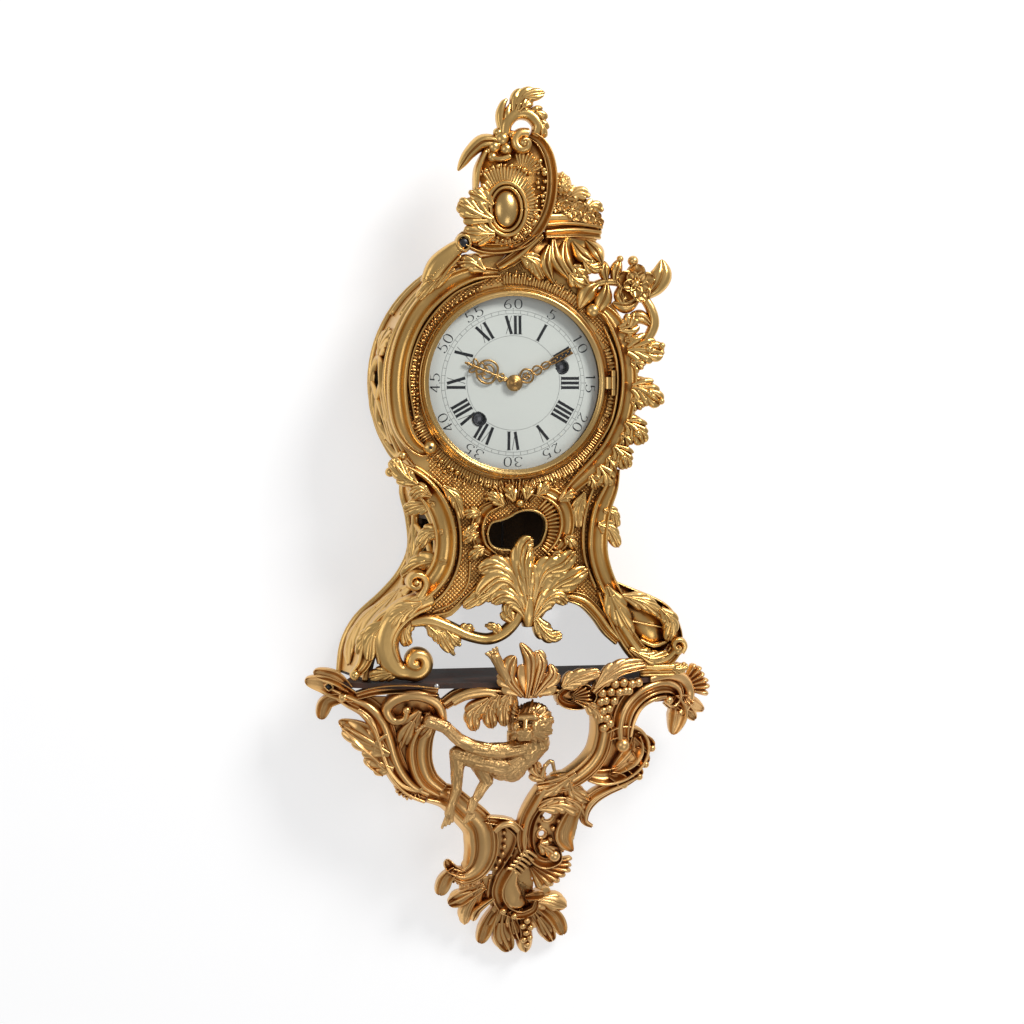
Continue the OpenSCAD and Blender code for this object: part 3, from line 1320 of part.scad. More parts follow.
escape_behind = 33;
escape_t = 1.5;
module escape_wheel() {
    color(brass) {
        arbor(escape_at);
        wheel_at(escape_at, 24, 5, escape_mesh) pinion(escape_pinion, third_m);
        wheel_at(escape_at, escape_behind, escape_t, 0) difference() {
            polygon([for (i = [0:escape_teeth - 1], k = [0:2])
                polar(k == 0 ? escape_r : escape_r - 1.6, 360 * (i + k * 0.4) / escape_teeth)]);
            difference() {
                circle(escape_r - 3.2);
                circle(3);
                for (a = [0, 90]) rotate(a) square([2 * escape_r - 5, 1.6], center = true);
            }
        }
    }
}

// Anchor with its crutch behind the back plate.
pallet_gap = 0.9;
pallet_angle = 36;
crutch_len = 34;
crutch_y = back_plate_y + mov_t + 2.4;
crutch_t = 2;
module anchor() {
    tip = (escape_r + pallet_gap) * [sin(pallet_angle), cos(pallet_angle)] - [0, anchor_rise];
    color(steel) {
        rod(anchor_at[0], anchor_at[1], inner_y - mov_t + 0.2, plate_gap + mov_t, pivot_r);
        rod(anchor_at[0], anchor_at[1], inner_y + end_shake, crutch_y + crutch_t - inner_y - end_shake, anchor_arbor_r);
        wheel_at(anchor_at, escape_behind, escape_t, 0) {
            circle(3);
            for (s = [-1, 1]) polygon([[0, 2.4], [s * 6, 1.4], [s * (tip[0] + 2.2), tip[1] + 1.6], [s * tip[0], tip[1]],
                [s * (tip[0] - 0.4), tip[1] + 2.6], [s * 4, -1.2], [0, -1.4]]);
        }
        slab(crutch_y, crutch_t) translate(anchor_at) {
            circle(3.4);
            translate([-1.2, -crutch_len]) square([2.4, crutch_len]);
            translate([-fork_half - 2, -crutch_len - 2]) square([2 * fork_half + 4, 3]);
        }
        for (s = [-1, 1])
            translate([s * (fork_half + 1) - 1, crutch_y, anchor_at[1] - crutch_len - 2])
                cube([2, crutch_t + 6, 3]);
    }
}

// Pendulum, hung on a pin of the cock.
hang_y = crutch_y + crutch_t + 3;
hang_r = 0.8;
fork_half = rod_r + seat_gap;
cock_rise = 6;
module pendulum_cock() {
    color(brass) {
        translate([-5, back_plate_y + mov_t, anchor_at[1] + cock_rise])
            cube([10, hang_y + 5 - back_plate_y - mov_t, 4]);
        translate([-5, hang_y + 2.2, anchor_at[1] - 3]) cube([10, 2.8, cock_rise + 4]);
        rod(0, anchor_at[1], hang_y - 1.6, 5, hang_r);
    }
}

module pendulum() {
    bob_z = anchor_at[1] - pendulum_len;
    color(steel) difference() {
        union() {
            rod(0, anchor_at[1], hang_y - 1.4, 2.8, 3);
            translate([0, hang_y, bob_z]) cylinder(h = pendulum_len - 1, r = rod_r);
        }
        rod(0, anchor_at[1], hang_y - 5, 12, hang_r + run_gap);
    }
    color(brass) turned(0, bob_z, hang_y + bob_t / 2, [[0, 0], [bob_r * 0.6, bob_t * 0.1], [bob_r, bob_t * 0.4],
        [bob_r, bob_t * 0.6], [bob_r * 0.6, bob_t * 0.9], [0, bob_t]]);
}

// Wheels of the striking train.
lift_pins = 8;
module pin_wheel() {
    color(brass) {
        arbor(pin_at);
        wheel_at(pin_at, 2, wheel_t, pin_mesh) crossed_wheel(pin_teeth, pin_m, 4);
        wheel_at(pin_at, 32, 5, pin_mesh) pinion(second_pinion, barrel_m);
        for (i = [0:lift_pins - 1])
            let (p = pin_at + polar(pin_teeth * pin_m / 2 - 1.8, 360 * i / lift_pins + 22))
            rod(p[0], p[1], inner_y + 2 + wheel_t - eps, 2.4, 0.6);
    }
}

module strike_third_wheel() {
    color(brass) {
        arbor(strike_third_at);
        wheel_at(strike_third_at, 10, wheel_t, strike_third_mesh) crossed_wheel(strike_third_teeth, strike_third_m, 3.5);
        wheel_at(strike_third_at, 1, 4, strike_third_mesh) pinion(third_pinion, pin_m);
    }
}

fly_half = 8;
module fly() {
    color(brass) {
        arbor(fly_at);
        wheel_at(fly_at, 9, 4, fly_mesh) pinion(escape_pinion, strike_third_m);
        translate([fly_at[0] - fly_half, inner_y + 18, fly_at[1] - 0.5]) cube([2 * fly_half, 12, 1]);
    }
}

// Hammer and bell.
bell_y = (inner_y + back_plate_y) / 2 + 2;
bell_z = dial_z + mov_r + 9;
bell_h = 24;
hammer_r = 4.5;
hammer_gap = 1;
module hammer() {
    head = [-bell_r - hammer_gap - hammer_r, bell_z + 5];
    lean = head - hammer_at;
    color(steel) {
        arbor(hammer_at);
        slab(bell_y - 1.2, 2.4) translate(hammer_at) {
            circle(3);
            rotate(heading([0, 0], lean)) translate([0, -1]) square([norm(lean), 2]);
        }
        slab(bell_y - 4, 8) translate(head) circle(hammer_r);
    }
}

stand_x = 14;
stand_w = 8;
module bell() {
    top = bell_z + bell_h;
    reach = norm([stand_x, back_plate_y + mov_t + 1.2 - bell_y]);
    dome = [for (a = [0:15:75]) [bell_r * cos(a), bell_h * sin(a)]];
    inside = [for (a = [75:-15:0]) [(bell_r - bell_t) * cos(a), (bell_h - bell_t) * sin(a)]];
    color(brass) {
        translate([0, bell_y, bell_z]) rotate_extrude($fn = 72) polygon(concat(dome, [[3, bell_h], [0, bell_h],
            [0, bell_h - bell_t], [3, bell_h - bell_t]], inside));
        translate([0, bell_y, top - bell_t]) cylinder(h = bell_t + 4, r = 2.4);
        translate([0, bell_y, top + 1]) rotate([0, 0, atan2(back_plate_y + mov_t + 1.2 - bell_y, stand_x)])
            translate([-4, -4, 0]) cube([reach + 8, 8, 2.4]);
        translate([stand_x - stand_w / 2, back_plate_y + mov_t, dial_z + 42])
            cube([stand_w, 2.4, top + 3.4 - dial_z - 42]);
    }
}

// Minute wheel of the motion work, on its stud.
module minute_wheel() {
    color(brass) {
        slab(cannon_y - 1.5, 1.5) translate(minute_at) rotate(minute_mesh) difference() {
            polygon(gear_points(minute_teeth, cannon_m));
            circle(stud_r + run_gap);
        }
        slab(hour_y - 1.5, cannon_y - hour_y) translate(minute_at) rotate(minute_mesh) difference() {
            polygon(gear_points(minute_pinion, hour_m, pinion_tooth));
            circle(stud_r + run_gap);
        }
    }
}

shelf();
wall_lugs();
bracket_rail();
bracket_left_arm();
bracket_right_arm();
bracket_center_leaf();
bracket_drop();
bracket_leaf_spray();
monkey();
case_front();
case_left_side();
case_right_side();
case_back();
back_door();
back_door_pin();
back_door_button();
left_c_scroll();
right_c_scroll();
leaf_border();
flower_spray();
crest();
crest_cabochon();
crest_finial();
crest_ledge();
waist_scrolls();
window_frame();
apron_acanthus();
left_foot();
right_foot();
dial();
bezel();
bezel_glass();
bezel_hinge_posts();
bezel_hinge_pin();
hour_hand();
minute_hand();
minute_wheel();
front_plate();
back_plate();
plate_pillars();
movement_straps();
clicks();
going_barrel();
going_mainspring();
going_arbor();
second_wheel();
centre_wheel();
third_wheel();
escape_wheel();
anchor();
pendulum_cock();
pendulum();
strike_barrel();
strike_mainspring();
strike_arbor();
pin_wheel();
strike_third_wheel();
fly();
hammer();
bell();
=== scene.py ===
"""Looks of the gilt cartel clock on its wall bracket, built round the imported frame.

Ornament is worked out in millimetres as (x, z, up): x and z on the front, up towards the viewer.
"""
import json
import math
import random

import bmesh
import bpy
import numpy as np
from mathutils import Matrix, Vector, noise


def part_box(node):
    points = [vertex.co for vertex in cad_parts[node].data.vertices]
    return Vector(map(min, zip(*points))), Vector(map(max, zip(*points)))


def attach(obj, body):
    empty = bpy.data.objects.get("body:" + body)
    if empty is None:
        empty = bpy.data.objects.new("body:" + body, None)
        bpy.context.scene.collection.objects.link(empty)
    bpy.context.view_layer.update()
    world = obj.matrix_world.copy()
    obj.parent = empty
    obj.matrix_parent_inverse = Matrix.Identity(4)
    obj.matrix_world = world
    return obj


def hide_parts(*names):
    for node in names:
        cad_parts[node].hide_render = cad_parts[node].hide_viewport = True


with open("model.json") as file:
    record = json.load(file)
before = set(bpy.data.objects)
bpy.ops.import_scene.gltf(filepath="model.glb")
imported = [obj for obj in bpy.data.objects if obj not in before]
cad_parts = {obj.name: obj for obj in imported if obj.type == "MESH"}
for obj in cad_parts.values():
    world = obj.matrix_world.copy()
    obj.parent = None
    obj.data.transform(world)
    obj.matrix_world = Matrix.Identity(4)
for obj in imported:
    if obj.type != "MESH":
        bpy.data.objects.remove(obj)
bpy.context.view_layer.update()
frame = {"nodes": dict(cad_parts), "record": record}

MM = 1000.0


def box_mm(node):
    """Lowest and highest corner of a node, in millimetres."""
    low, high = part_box(node)
    return [c * MM for c in low], [c * MM for c in high]


# Main planes and centres, read from the frame.
FRONT_Y = box_mm("case_front")[0][1]
SHELF_Z = box_mm("shelf")[1][2]
BEZEL_LOW, BEZEL_HIGH = box_mm("bezel")
DIAL_Z = (BEZEL_LOW[2] + BEZEL_HIGH[2]) / 2
BEZEL_R = (BEZEL_HIGH[2] - BEZEL_LOW[2]) / 2
BEZEL_WIDE = 11
DIAL_R = BEZEL_R - BEZEL_WIDE
SHELF_DEPTH = 122.0

# Millimetres that a height of 1 stands for in an ornament's path.
RELIEF = 12.0

# Points that castings are laid out from, in x and z.
SHELF = (0.0, SHELF_Z)
DIAL = (0.0, DIAL_Z)
CREST = (0.0, DIAL_Z + BEZEL_R)


# Curves.

def carried(points):
    """Rows of one length: what a short row leaves out stays as in the row before it."""
    out = []
    for row in points:
        out.append([*row, *out[-1][len(row):]] if out else list(row))
    return out


def spline(points, per=8):
    """Catmull-Rom curve through points of any size."""
    points = carried(points)
    last = len(points) - 1
    out = []
    for i in range(last):
        four = (points[max(i - 1, 0)], points[i], points[i + 1], points[min(i + 2, last)])
        for k in range(per):
            t = k / per
            out.append([
                0.5 * (2 * b + (c - a) * t + (2 * a - 5 * b + 4 * c - d) * t * t
                       + (3 * b - a - 3 * c + d) * t ** 3)
                for a, b, c, d in zip(*four)])
    out.append(list(points[last]))
    return out


def headings(points):
    """Unit tangent in x and z at each point."""
    out = []
    for i in range(len(points)):
        a = points[max(i - 1, 0)]
        b = points[min(i + 1, len(points) - 1)]
        dx, dz = b[0] - a[0], b[1] - a[1]
        size = math.hypot(dx, dz) or 1.0
        out.append((dx / size, dz / size))
    return out


def round_dial(points):
    """[angle, distance outside the bezel, up, half width, height] to [x, z, ...]."""
    out = []
    for a, off, *rest in points:
        r = BEZEL_R + off
        out.append([r * math.cos(math.radians(a)), r * math.sin(math.radians(a)), *rest])
    return out


# The bracket's front: half width and height of its swelling, and what it keeps at the ends.
BULGE_WIDE, BULGE_TALL, BULGE_THIN = 235, 300, 22


def bulge(x, z):
    """Distance of the bracket's swelling front from the wall."""
    side = 1 - (min(abs(x), BULGE_WIDE - 10) / BULGE_WIDE) ** 4
    drop = 1 - (min(max(-z, 0), BULGE_TALL - 5) / BULGE_TALL) ** 1.1
    return BULGE_THIN + (SHELF_DEPTH - BULGE_THIN) * side * drop


def on_bulge(points, ahead=0.0):
    """[x, z, half width, thickness] on the bracket's front to [x, z, up, half width, height]."""
    return [[x, z, bulge(x, z) + ahead - t + FRONT_Y, w, t / RELIEF] for x, z, w, t in carried(points)]


def circle(count, r=1.0):
    """Points round a circle, with the first one again at the end."""
    angles = [2 * math.pi * k / count for k in range(count + 1)]
    return [(r * math.cos(a), r * math.sin(a)) for a in angles]


def volute(cx, cz, radii, start, turn, count, wide, high):
    """Path that curls round a centre by turn degrees while its radius goes through radii.

    wide and high are the first half width and height, and their change at each point.
    """
    out = []
    for k in range(count + 1):
        t = k / count
        r = radii[0] + (radii[1] - radii[0]) * t
        a = math.radians(start + turn * t)
        w, h = wide[0] + wide[1] * k, high[0] + high[1] * k
        out.append([cx + r * math.cos(a), cz + r * math.sin(a), 0, w, h])
    return out


def mirrored(half):
    """Whole moulding section from its right half, given from the edge to the middle."""
    return half + [(-a, h) for a, h in reversed(half) if a > 0]


def inside(x, z, outline):
    """True where a point lies within a closed outline."""
    hit = False
    for (xa, za), (xb, zb) in zip(outline, outline[1:] + outline[:1]):
        if (za > z) != (zb > z) and x < xa + (xb - xa) * (z - za) / (zb - za):
            hit = not hit
    return hit


# Moulding sections: across 1 to -1, height 0 to 1.
BAND = mirrored([(1, 0), (1, 0.5), (0.97, 0.8), (0.88, 0.97), (0.77, 1), (0.68, 0.9), (0.61, 0.7),
                 (0.5, 0.56), (0.28, 0.47), (0, 0.45)])
ROLL = mirrored([(1, 0), (0.98, 0.3), (0.9, 0.55), (0.72, 0.8), (0.45, 0.95), (0.18, 1), (0, 0.97)])
STEPPED = [(1, 0), (1, 0.4), (0.93, 0.56), (0.83, 0.6), (0.77, 0.48), (0.7, 0.46), (0.62, 0.66),
           (0.48, 0.88), (0.28, 0.99), (0.08, 1), (-0.08, 0.92), (-0.18, 0.72), (-0.3, 0.6),
           (-0.45, 0.58), (-0.55, 0.66), (-0.62, 0.82), (-0.74, 0.88), (-0.85, 0.8), (-0.93, 0.6),
           (-1, 0.4), (-1, 0)]
THREAD = mirrored([(1, 0), (0.95, 0.5), (0.7, 0.86), (0.3, 1), (0, 1)])
COVE = [(1, 0), (1, 0.45), (0.96, 0.75), (0.86, 0.95), (0.74, 1), (0.62, 0.95), (0.52, 0.78),
        (0.42, 0.58), (0.25, 0.42), (0, 0.34), (-0.25, 0.32), (-0.5, 0.38), (-0.66, 0.5), (-0.74, 0.66),
        (-0.83, 0.72), (-0.92, 0.64), (-1, 0.45), (-1, 0)]
EVOC = [(-a, h) for a, h in reversed(COVE)]
BROAD = [(1, 0), (1, 0.5), (0.95, 0.64), (0.88, 0.62), (0.85, 0.48), (0.8, 0.5), (0.76, 0.72),
         (0.7, 0.78), (0.64, 0.7), (0.6, 0.56), (0.55, 0.7), (0.2, 0.8), (-0.18, 0.76), (-0.24, 0.58),
         (-0.32, 0.57), (-0.4, 0.84), (-0.5, 0.98), (-0.62, 1), (-0.73, 0.88), (-0.86, 0.6),
         (-1, 0.35), (-1, 0)]
TONGUE = mirrored([(1, 0), (0.97, 0.4), (0.86, 0.68), (0.64, 0.9), (0.36, 0.99), (0, 1)])
LEAFLET = mirrored([(1, 0), (0.96, 0.3), (0.75, 0.66), (0.45, 0.92), (0.2, 0.98),
                    (0.07, 0.76), (0, 0.66)])
CUPPED = mirrored([(1, 0), (1, 0.75), (0.94, 1), (0.84, 0.98), (0.6, 0.64), (0.3, 0.42),
                   (0.1, 0.4), (0, 0.5)])


class Casting:
    """One cast or chased piece: strands gathered into a single mesh."""

    def __init__(self, name, body, *nodes, origin=SHELF, place=None):
        self.name, self.body, self.nodes = name, body, nodes
        self.origin = origin
        self.place = place or self.on_front
        self.verts, self.faces = [], []

    def on_front(self, x, z, up):
        """Place in the frame of a point on the front."""
        return (self.origin[0] + x, FRONT_Y - up, self.origin[1] + z)

    def add(self, verts, faces):
        """Adds points in casting coordinates, with faces that count from the first of them."""
        base = len(self.verts)
        self.verts += [self.place(*v) for v in verts]
        self.faces += [[base + i for i in f] for f in faces]

    def grid(self, rows, close_back=None):
        """Sheet of rows of (x, z, up); close_back gives the up of a flat back for each row."""
        wide = len(rows[0])
        verts = [p for row in rows for p in row]
        faces = []
        for i in range(len(rows) - 1):
            for j in range(wide - 1):
                a = i * wide + j
                faces.append((a, a + 1, a + wide + 1, a + wide))
        if close_back is not None:
            start = len(verts)
            for row, up in zip(rows, close_back):
                verts.append((row[0][0], row[0][1], min(up, row[0][2])))
                verts.append((row[-1][0], row[-1][1], min(up, row[-1][2])))
            for i in range(len(rows) - 1):
                a, b = start + 2 * i, start + 2 * i + 2
                left, right = i * wide, i * wide + wide - 1
                faces += [(a, a + 1, b + 1, b), (left, a, b, left + wide),
                          (right, right + wide, b + 1, a + 1)]
            last = (len(rows) - 1) * wide
            end = start + 2 * (len(rows) - 1)
            faces.append([start + 1, start] + list(range(wide)))
            faces.append([end, end + 1] + list(range(last + wide - 1, last - 1, -1)))
        self.add(verts, faces)

    def sweep(self, s, section):
        """Solid of one section carried along [x, z, up, half width, height]."""
        verts, faces = [], []
        n = len(section)
        for (x, z, up, w, h), (tx, tz) in zip(s, headings(s)):
            verts += [(x - tz * a * w, z + tx * a * w, up + b * h * RELIEF) for a, b in section]
        for i in range(len(s) - 1):
            for j in range(n):
                a, b = i * n + j, i * n + (j + 1) % n
                faces.append((a, b, b + n, a + n))
        faces.append(list(range(n)))
        faces.append([(len(s) - 1) * n + j for j in reversed(range(n))])
        self.add(verts, faces)

    def strap(self, path, section=BAND, per=8):
        """Moulding along a curve through [x, z, up, half width, height]."""
        self.sweep(spline(path, per), section)

    def tongue(self, path, section=TONGUE, per=3):
        """Lobe of a leaf: slim at its root, full towards the tip and rounded off there."""
        s = spline(path, per)
        last = len(s) - 1
        for i, p in enumerate(s):
            v = i / last
            left = min((1 - v) / 0.3, 1.0)
            p[3] *= (0.5 + 0.5 * min(v / 0.6, 1.0)) * math.sqrt(1 - 0.97 * (1 - left) ** 2)
            p[4] *= 0.5 + 0.5 * left
        self.sweep(s, section)

    def blade(self, path, section=CUPPED):
        """Smooth hollow leaf with a blunt tip."""
        self.tongue(path, section, 8)

    def leaf(self, path, fingers=2, curl=2.5):
        """Acanthus leaf along a path: round lobes swing off a midrib to both edges."""
        s = spline(path, 10)
        tangents = headings(s)
        last = len(s) - 1
        length = sum(math.hypot(b[0] - a[0], b[1] - a[1]) for a, b in zip(s, s[1:]))
        pitch = 0.7 * length / fingers

        def spot(u, across):
            f = min(max(u, 0.0), 1.0) * last
            i = min(int(f), last - 1)
            x, z, up, w, h = [a + (b - a) * (f - i) for a, b in zip(s[i], s[i + 1])]
            tx, tz = tangents[i]
            return x - tz * across * w, z + tx * across * w, up, w, h

        rows, backs = [], []
        for k in range(13):
            u = 0.96 * k / 12
            spots = [spot(u, 0.22 * j) for j in range(-4, 5)]
            rows.append([(x, z, up + curl * u ** 3 + h * RELIEF * (0.48 - 0.018 * (j - 4) ** 2))
                         for j, (x, z, up, w, h) in enumerate(spots)])
            backs.append(spots[0][2])
        self.grid(rows, backs)
        midrib = []
        for v in range(7):
            x, z, up, w, h = spot(v / 6, 0)
            midrib.append([x, z, up + curl * (v / 6) ** 3, 0.24 * w + 0.6, h])
        self.tongue(midrib)
        for side in (-1, 1):
            for k in range(fingers):
                start = 0.66 * k / fingers
                end = min(start + 0.5, 0.97)
                reach = side * (0.98, 0.88, 1.02)[k % 3]
                line = []
                for j in range(6):
                    v = j / 5
                    x, z, up, w, h = spot(start + (end - start) * v, reach * (0.16 + 0.84 * v ** 1.5))
                    wide = min(0.48 * pitch, 0.55 * w + 0.9)
                    line.append([x, z, up + curl * v * v, wide, h * (0.94 - 0.3 * v)])
                self.tongue(line, per=4)

    def fan(self, cx, cz, a0, a1, r0, r1, up, h, ribs, ragged=0.1, squash=1.0):
        """Shell of radiating flutes from angle a0 to a1."""
        count = ribs * 8
        rows, backs = [], []
        for i in range(count + 1):
            t = i / count
            a = math.radians(a0 + (a1 - a0) * t)
            ripple = abs(math.sin(math.pi * ribs * t)) ** 0.7
            edge = 0.5 + 0.5 * math.sin(ribs * t * 2.4)
            out = r1 * (1 - ragged * (1 - ripple) - ragged * 0.8 * edge)
            row = []
            for j in range(9):
                k = j / 8
                r = r0 + (out - r0) * k
                dish = 0.45 + 0.55 * k * k
                tall = h * RELIEF * (0.3 + 0.7 * ripple) * dish * (1 - 0.35 * max(k - 0.8, 0) / 0.2)
                row.append((cx + r * math.cos(a), cz + squash * r * math.sin(a), up + tall))
            rows.append(row)
            backs.append(up)
        self.grid(rows, backs)

    def berry(self, x, z, up, r, tall=None, wide=14):
        """Round boss, flattened or drawn out by tall."""
        tall = tall or r
        rows = []
        for i in range(wide // 2 + 1):
            a = math.pi * i / (wide // 2)
            rows.append([(x + r * math.sin(a) * c, z + r * math.sin(a) * s, up + tall * math.cos(a))
                         for c, s in circle(wide)])
        self.grid(rows)

    def beads(self, path, r, gap, uneven=0.0):
        """Row of small bosses along [x, z, up], scattered and varied by uneven."""
        run = 0.0
        s = spline(path, 16)
        for a, b in zip(s, s[1:]):
            run += math.hypot(b[0] - a[0], b[1] - a[1])
            if run < gap:
                continue
            run = 0.0
            x, z = [v + uneven * r * random.uniform(-1, 1) for v in b[:2]]
            self.berry(x, z, b[2], r * (1 + 0.5 * uneven * random.uniform(-1, 1)), wide=10)

    def petal(self, path):
        """Cupped petal, round at its tip."""
        s = spline(path, 5)
        last = len(s) - 1
        rows = []
        for i, ((x, z, up, w, h), (tx, tz)) in enumerate(zip(s, headings(s))):
            w *= math.sqrt(1 - 0.96 * max(i / last / 0.4 - 1.5, 0.0) ** 2)
            rows.append([(x - tz * w * k, z + tx * w * k, up + h * RELIEF * (0.45 + 0.55 * k ** 2))
                         for k in (j / 4 for j in range(-4, 5))])
        self.grid(rows, [p[2] for p in s])

    def flower(self, x, z, up, r, petals=5, turn=0.0):
        """Open flower: two rings of cupped petals round a seeded eye."""
        for ring, (reach, rise) in enumerate(((1.0, 0.0), (0.66, 0.18 * r))):
            for k in range(petals):
                a = math.radians(turn + 360 * (k + 0.5 * ring) / petals)
                c, s = math.cos(a), math.sin(a)
                near, far = 0.5 * r * reach, r * reach
                self.petal([[x + 0.1 * r * c, z + 0.1 * r * s, up + rise, 0.22 * r, 0.025 * r],
                            [x + near * c, z + near * s, up + rise, 0.46 * r * reach, 0.03 * r],
                            [x + far * c, z + far * s, up + rise + 0.14 * r, 0.4 * r * reach, 0.025 * r]])
        self.berry(x, z, up + 0.32 * r, 0.24 * r)
        for c, s in circle(7)[:-1]:
            self.berry(x + 0.22 * r * c, z + 0.22 * r * s, up + 0.42 * r, 0.08 * r, wide=8)

    def field(self, outline, low, high):
        """Flat backing cut to a smooth outline."""
        ring = spline(outline + outline[:1], 5)[:-1]
        n = len(ring)
        verts = [(x, z, up) for up in (low, high) for x, z in ring]
        faces = [list(range(n)), list(range(2 * n - 1, n - 1, -1))]
        faces += [(i, (i + 1) % n, n + (i + 1) % n, n + i) for i in range(n)]
        self.add(verts, faces)

    def web(self, outline, up, holes=(), step=2.0, thick=3.0):
        """Bent backing inside an outline; up gives its front for x and z, holes are (x, z, radius)."""
        xs, zs = [p[0] for p in outline], [p[1] for p in outline]
        kept = set()
        for i in range(int(min(xs) / step) - 1, int(max(xs) / step) + 1):
            for k in range(int(min(zs) / step) - 1, int(max(zs) / step) + 1):
                x, z = (i + 0.5) * step, (k + 0.5) * step
                if inside(x, z, outline) and all(math.hypot(x - a, z - b) >= r for a, b, r in holes):
                    kept.add((i, k))
        for i, k in sorted(kept):
            corners = [((i + a) * step, (k + b) * step) for a, b in ((0, 0), (1, 0), (1, 1), (0, 1))]
            front = [(*p, up(*p)) for p in corners]
            back = [(x, z, y - thick) for x, z, y in front]
            faces = [(0, 1, 2, 3), (7, 6, 5, 4)]
            for a, beside in enumerate(((i, k - 1), (i + 1, k), (i, k + 1), (i - 1, k))):
                if beside not in kept:
                    b = (a + 1) % 4
                    faces.append((a, a + 4, b + 4, b))
            self.add(front + back, faces)
        for a, b, r in holes:
            rim = [(a + c, b + s) for c, s in circle(16, r + 1)]
            rim = [[*p, up(*p) - thick, 2, 0.1 + thick / RELIEF] for p in rim]
            self.sweep(spline(rim, 2), ROLL)

    def lozenges(self, shows, xs, zs, pitch=4.4, tall=1.1):
        """Chased ground of low four-sided points, set cornerwise wherever shows(x, z) holds."""
        half = pitch / 2
        for k in range(int(zs[0] / half), int(zs[1] / half) + 1):
            for i in range(int(xs[0] / pitch), int(xs[1] / pitch) + 1):
                x, z = (i + 0.5 * (k % 2)) * pitch, k * half
                reach = 0.94 * half
                ring = [(x + reach, z), (x, z + reach), (x - reach, z), (x, z - reach)]
                if not all(shows(*p) for p in ring):
                    continue
                edges = [(a, (a + 1) % 4) for a in range(4)]
                faces = [(3, 2, 1, 0)] + [(a, b, b + 4, a + 4) for a, b in edges]
                faces += [(a + 4, b + 4, 8) for a, b in edges]
                self.add([(*p, up) for up in (-0.5, 0.1) for p in ring] + [(x, z, tall)], faces)

    def build(self, material, slot="gilt_bronze"):
        """Makes the Blender object, joins it to its body and hides the nodes it stands for."""
        mesh = bpy.data.meshes.new(self.name)
        mesh.from_pydata([(x / MM, y / MM, z / MM) for x, y, z in self.verts], [], self.faces)
        finish_piece(self.name, mesh, material, self.body, self.nodes)


MERGE = 1e-6


def finish_piece(name, mesh, material, body, nodes=()):
    """Welds and smooths a mesh, and tells the frame what it rides on and stands for."""
    bm = bmesh.new()
    bm.from_mesh(mesh)
    bmesh.ops.remove_doubles(bm, verts=bm.verts, dist=MERGE)
    bmesh.ops.recalc_face_normals(bm, faces=bm.faces)
    bm.to_mesh(mesh)
    bm.free()
    mesh.polygons.foreach_set("use_smooth", [True] * len(mesh.polygons))
    obj = bpy.data.objects.new(name, mesh)
    bpy.context.scene.collection.objects.link(obj)
    mesh.materials.append(material)
    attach(obj, body)
    if nodes:
        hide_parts(*nodes)


def lathe(name, profile, y, centre, material, body, nodes=(), around=192):
    """Turned piece about a line along y; profile is [radius, distance forward of y]."""
    mesh = bpy.data.meshes.new(name)
    verts, faces = [], []
    n = len(profile)
    for i in range(around):
        a = 2 * math.pi * i / around
        for r, f in profile:
            x, z = centre[0] + r * math.cos(a), centre[1] + r * math.sin(a)
            verts.append((x / MM, (y - f) / MM, z / MM))
    for i in range(around):
        for j in range(n - 1):
            a, b = i * n + j, ((i + 1) % around) * n + j
            faces.append((a, a + 1, b + 1, b))
    mesh.from_pydata(verts, [], faces)
    finish_piece(name, mesh, material, body, nodes)


# Materials.

class Nodes:
    """Short way to write a node tree."""

    def __init__(self, name):
        self.material = bpy.data.materials.new(name)
        self.material.use_nodes = True
        self.tree = self.material.node_tree
        self.shader = self.tree.nodes["Principled BSDF"]

    def add(self, kind, **values):
        node = self.tree.nodes.new(kind)
        for key, value in values.items():
            if key in node.inputs:
                node.inputs[key].default_value = value
            else:
                setattr(node, key, value)
        return node

    def link(self, a, b):
        self.tree.links.new(a, b)

    def math(self, operation, a, b):
        node = self.add("ShaderNodeMath", operation=operation)
        for k, v in enumerate((a, b)):
            if isinstance(v, (int, float)):
                node.inputs[k].default_value = v
            else:
                self.link(v, node.inputs[k])
        return node.outputs[0]

    def ramp(self, value, stops):
        node = self.add("ShaderNodeValToRGB")
        band = node.color_ramp
        while len(band.elements) < len(stops):
            band.elements.new(0.5)
        for element, (place, colour) in zip(band.elements, stops):
            element.position = place
            element.color = (*colour, 1)
        self.link(value, node.inputs["Fac"])
        return node.outputs["Color"]

    def mix(self, factor, a, b):
        node = self.add("ShaderNodeMix", data_type="RGBA")
        self.link(factor, node.inputs["Factor"])
        for key, v in (("A", a), ("B", b)):
            if isinstance(v, tuple):
                node.inputs[key].default_value = (*v, 1)
            else:
                self.link(v, node.inputs[key])
        return node.outputs["Result"]

    def noise(self, scale, detail):
        where = self.add("ShaderNodeTexCoord").outputs["Object"]
        node = self.add("ShaderNodeTexNoise", Scale=scale, Detail=detail)
        self.link(where, node.inputs["Vector"])
        return node.outputs["Fac"]

    def bump(self, height, strength, distance):
        node = self.add("ShaderNodeBump", Strength=strength, Distance=distance)
        self.link(height, node.inputs["Height"])
        return node.outputs["Normal"]


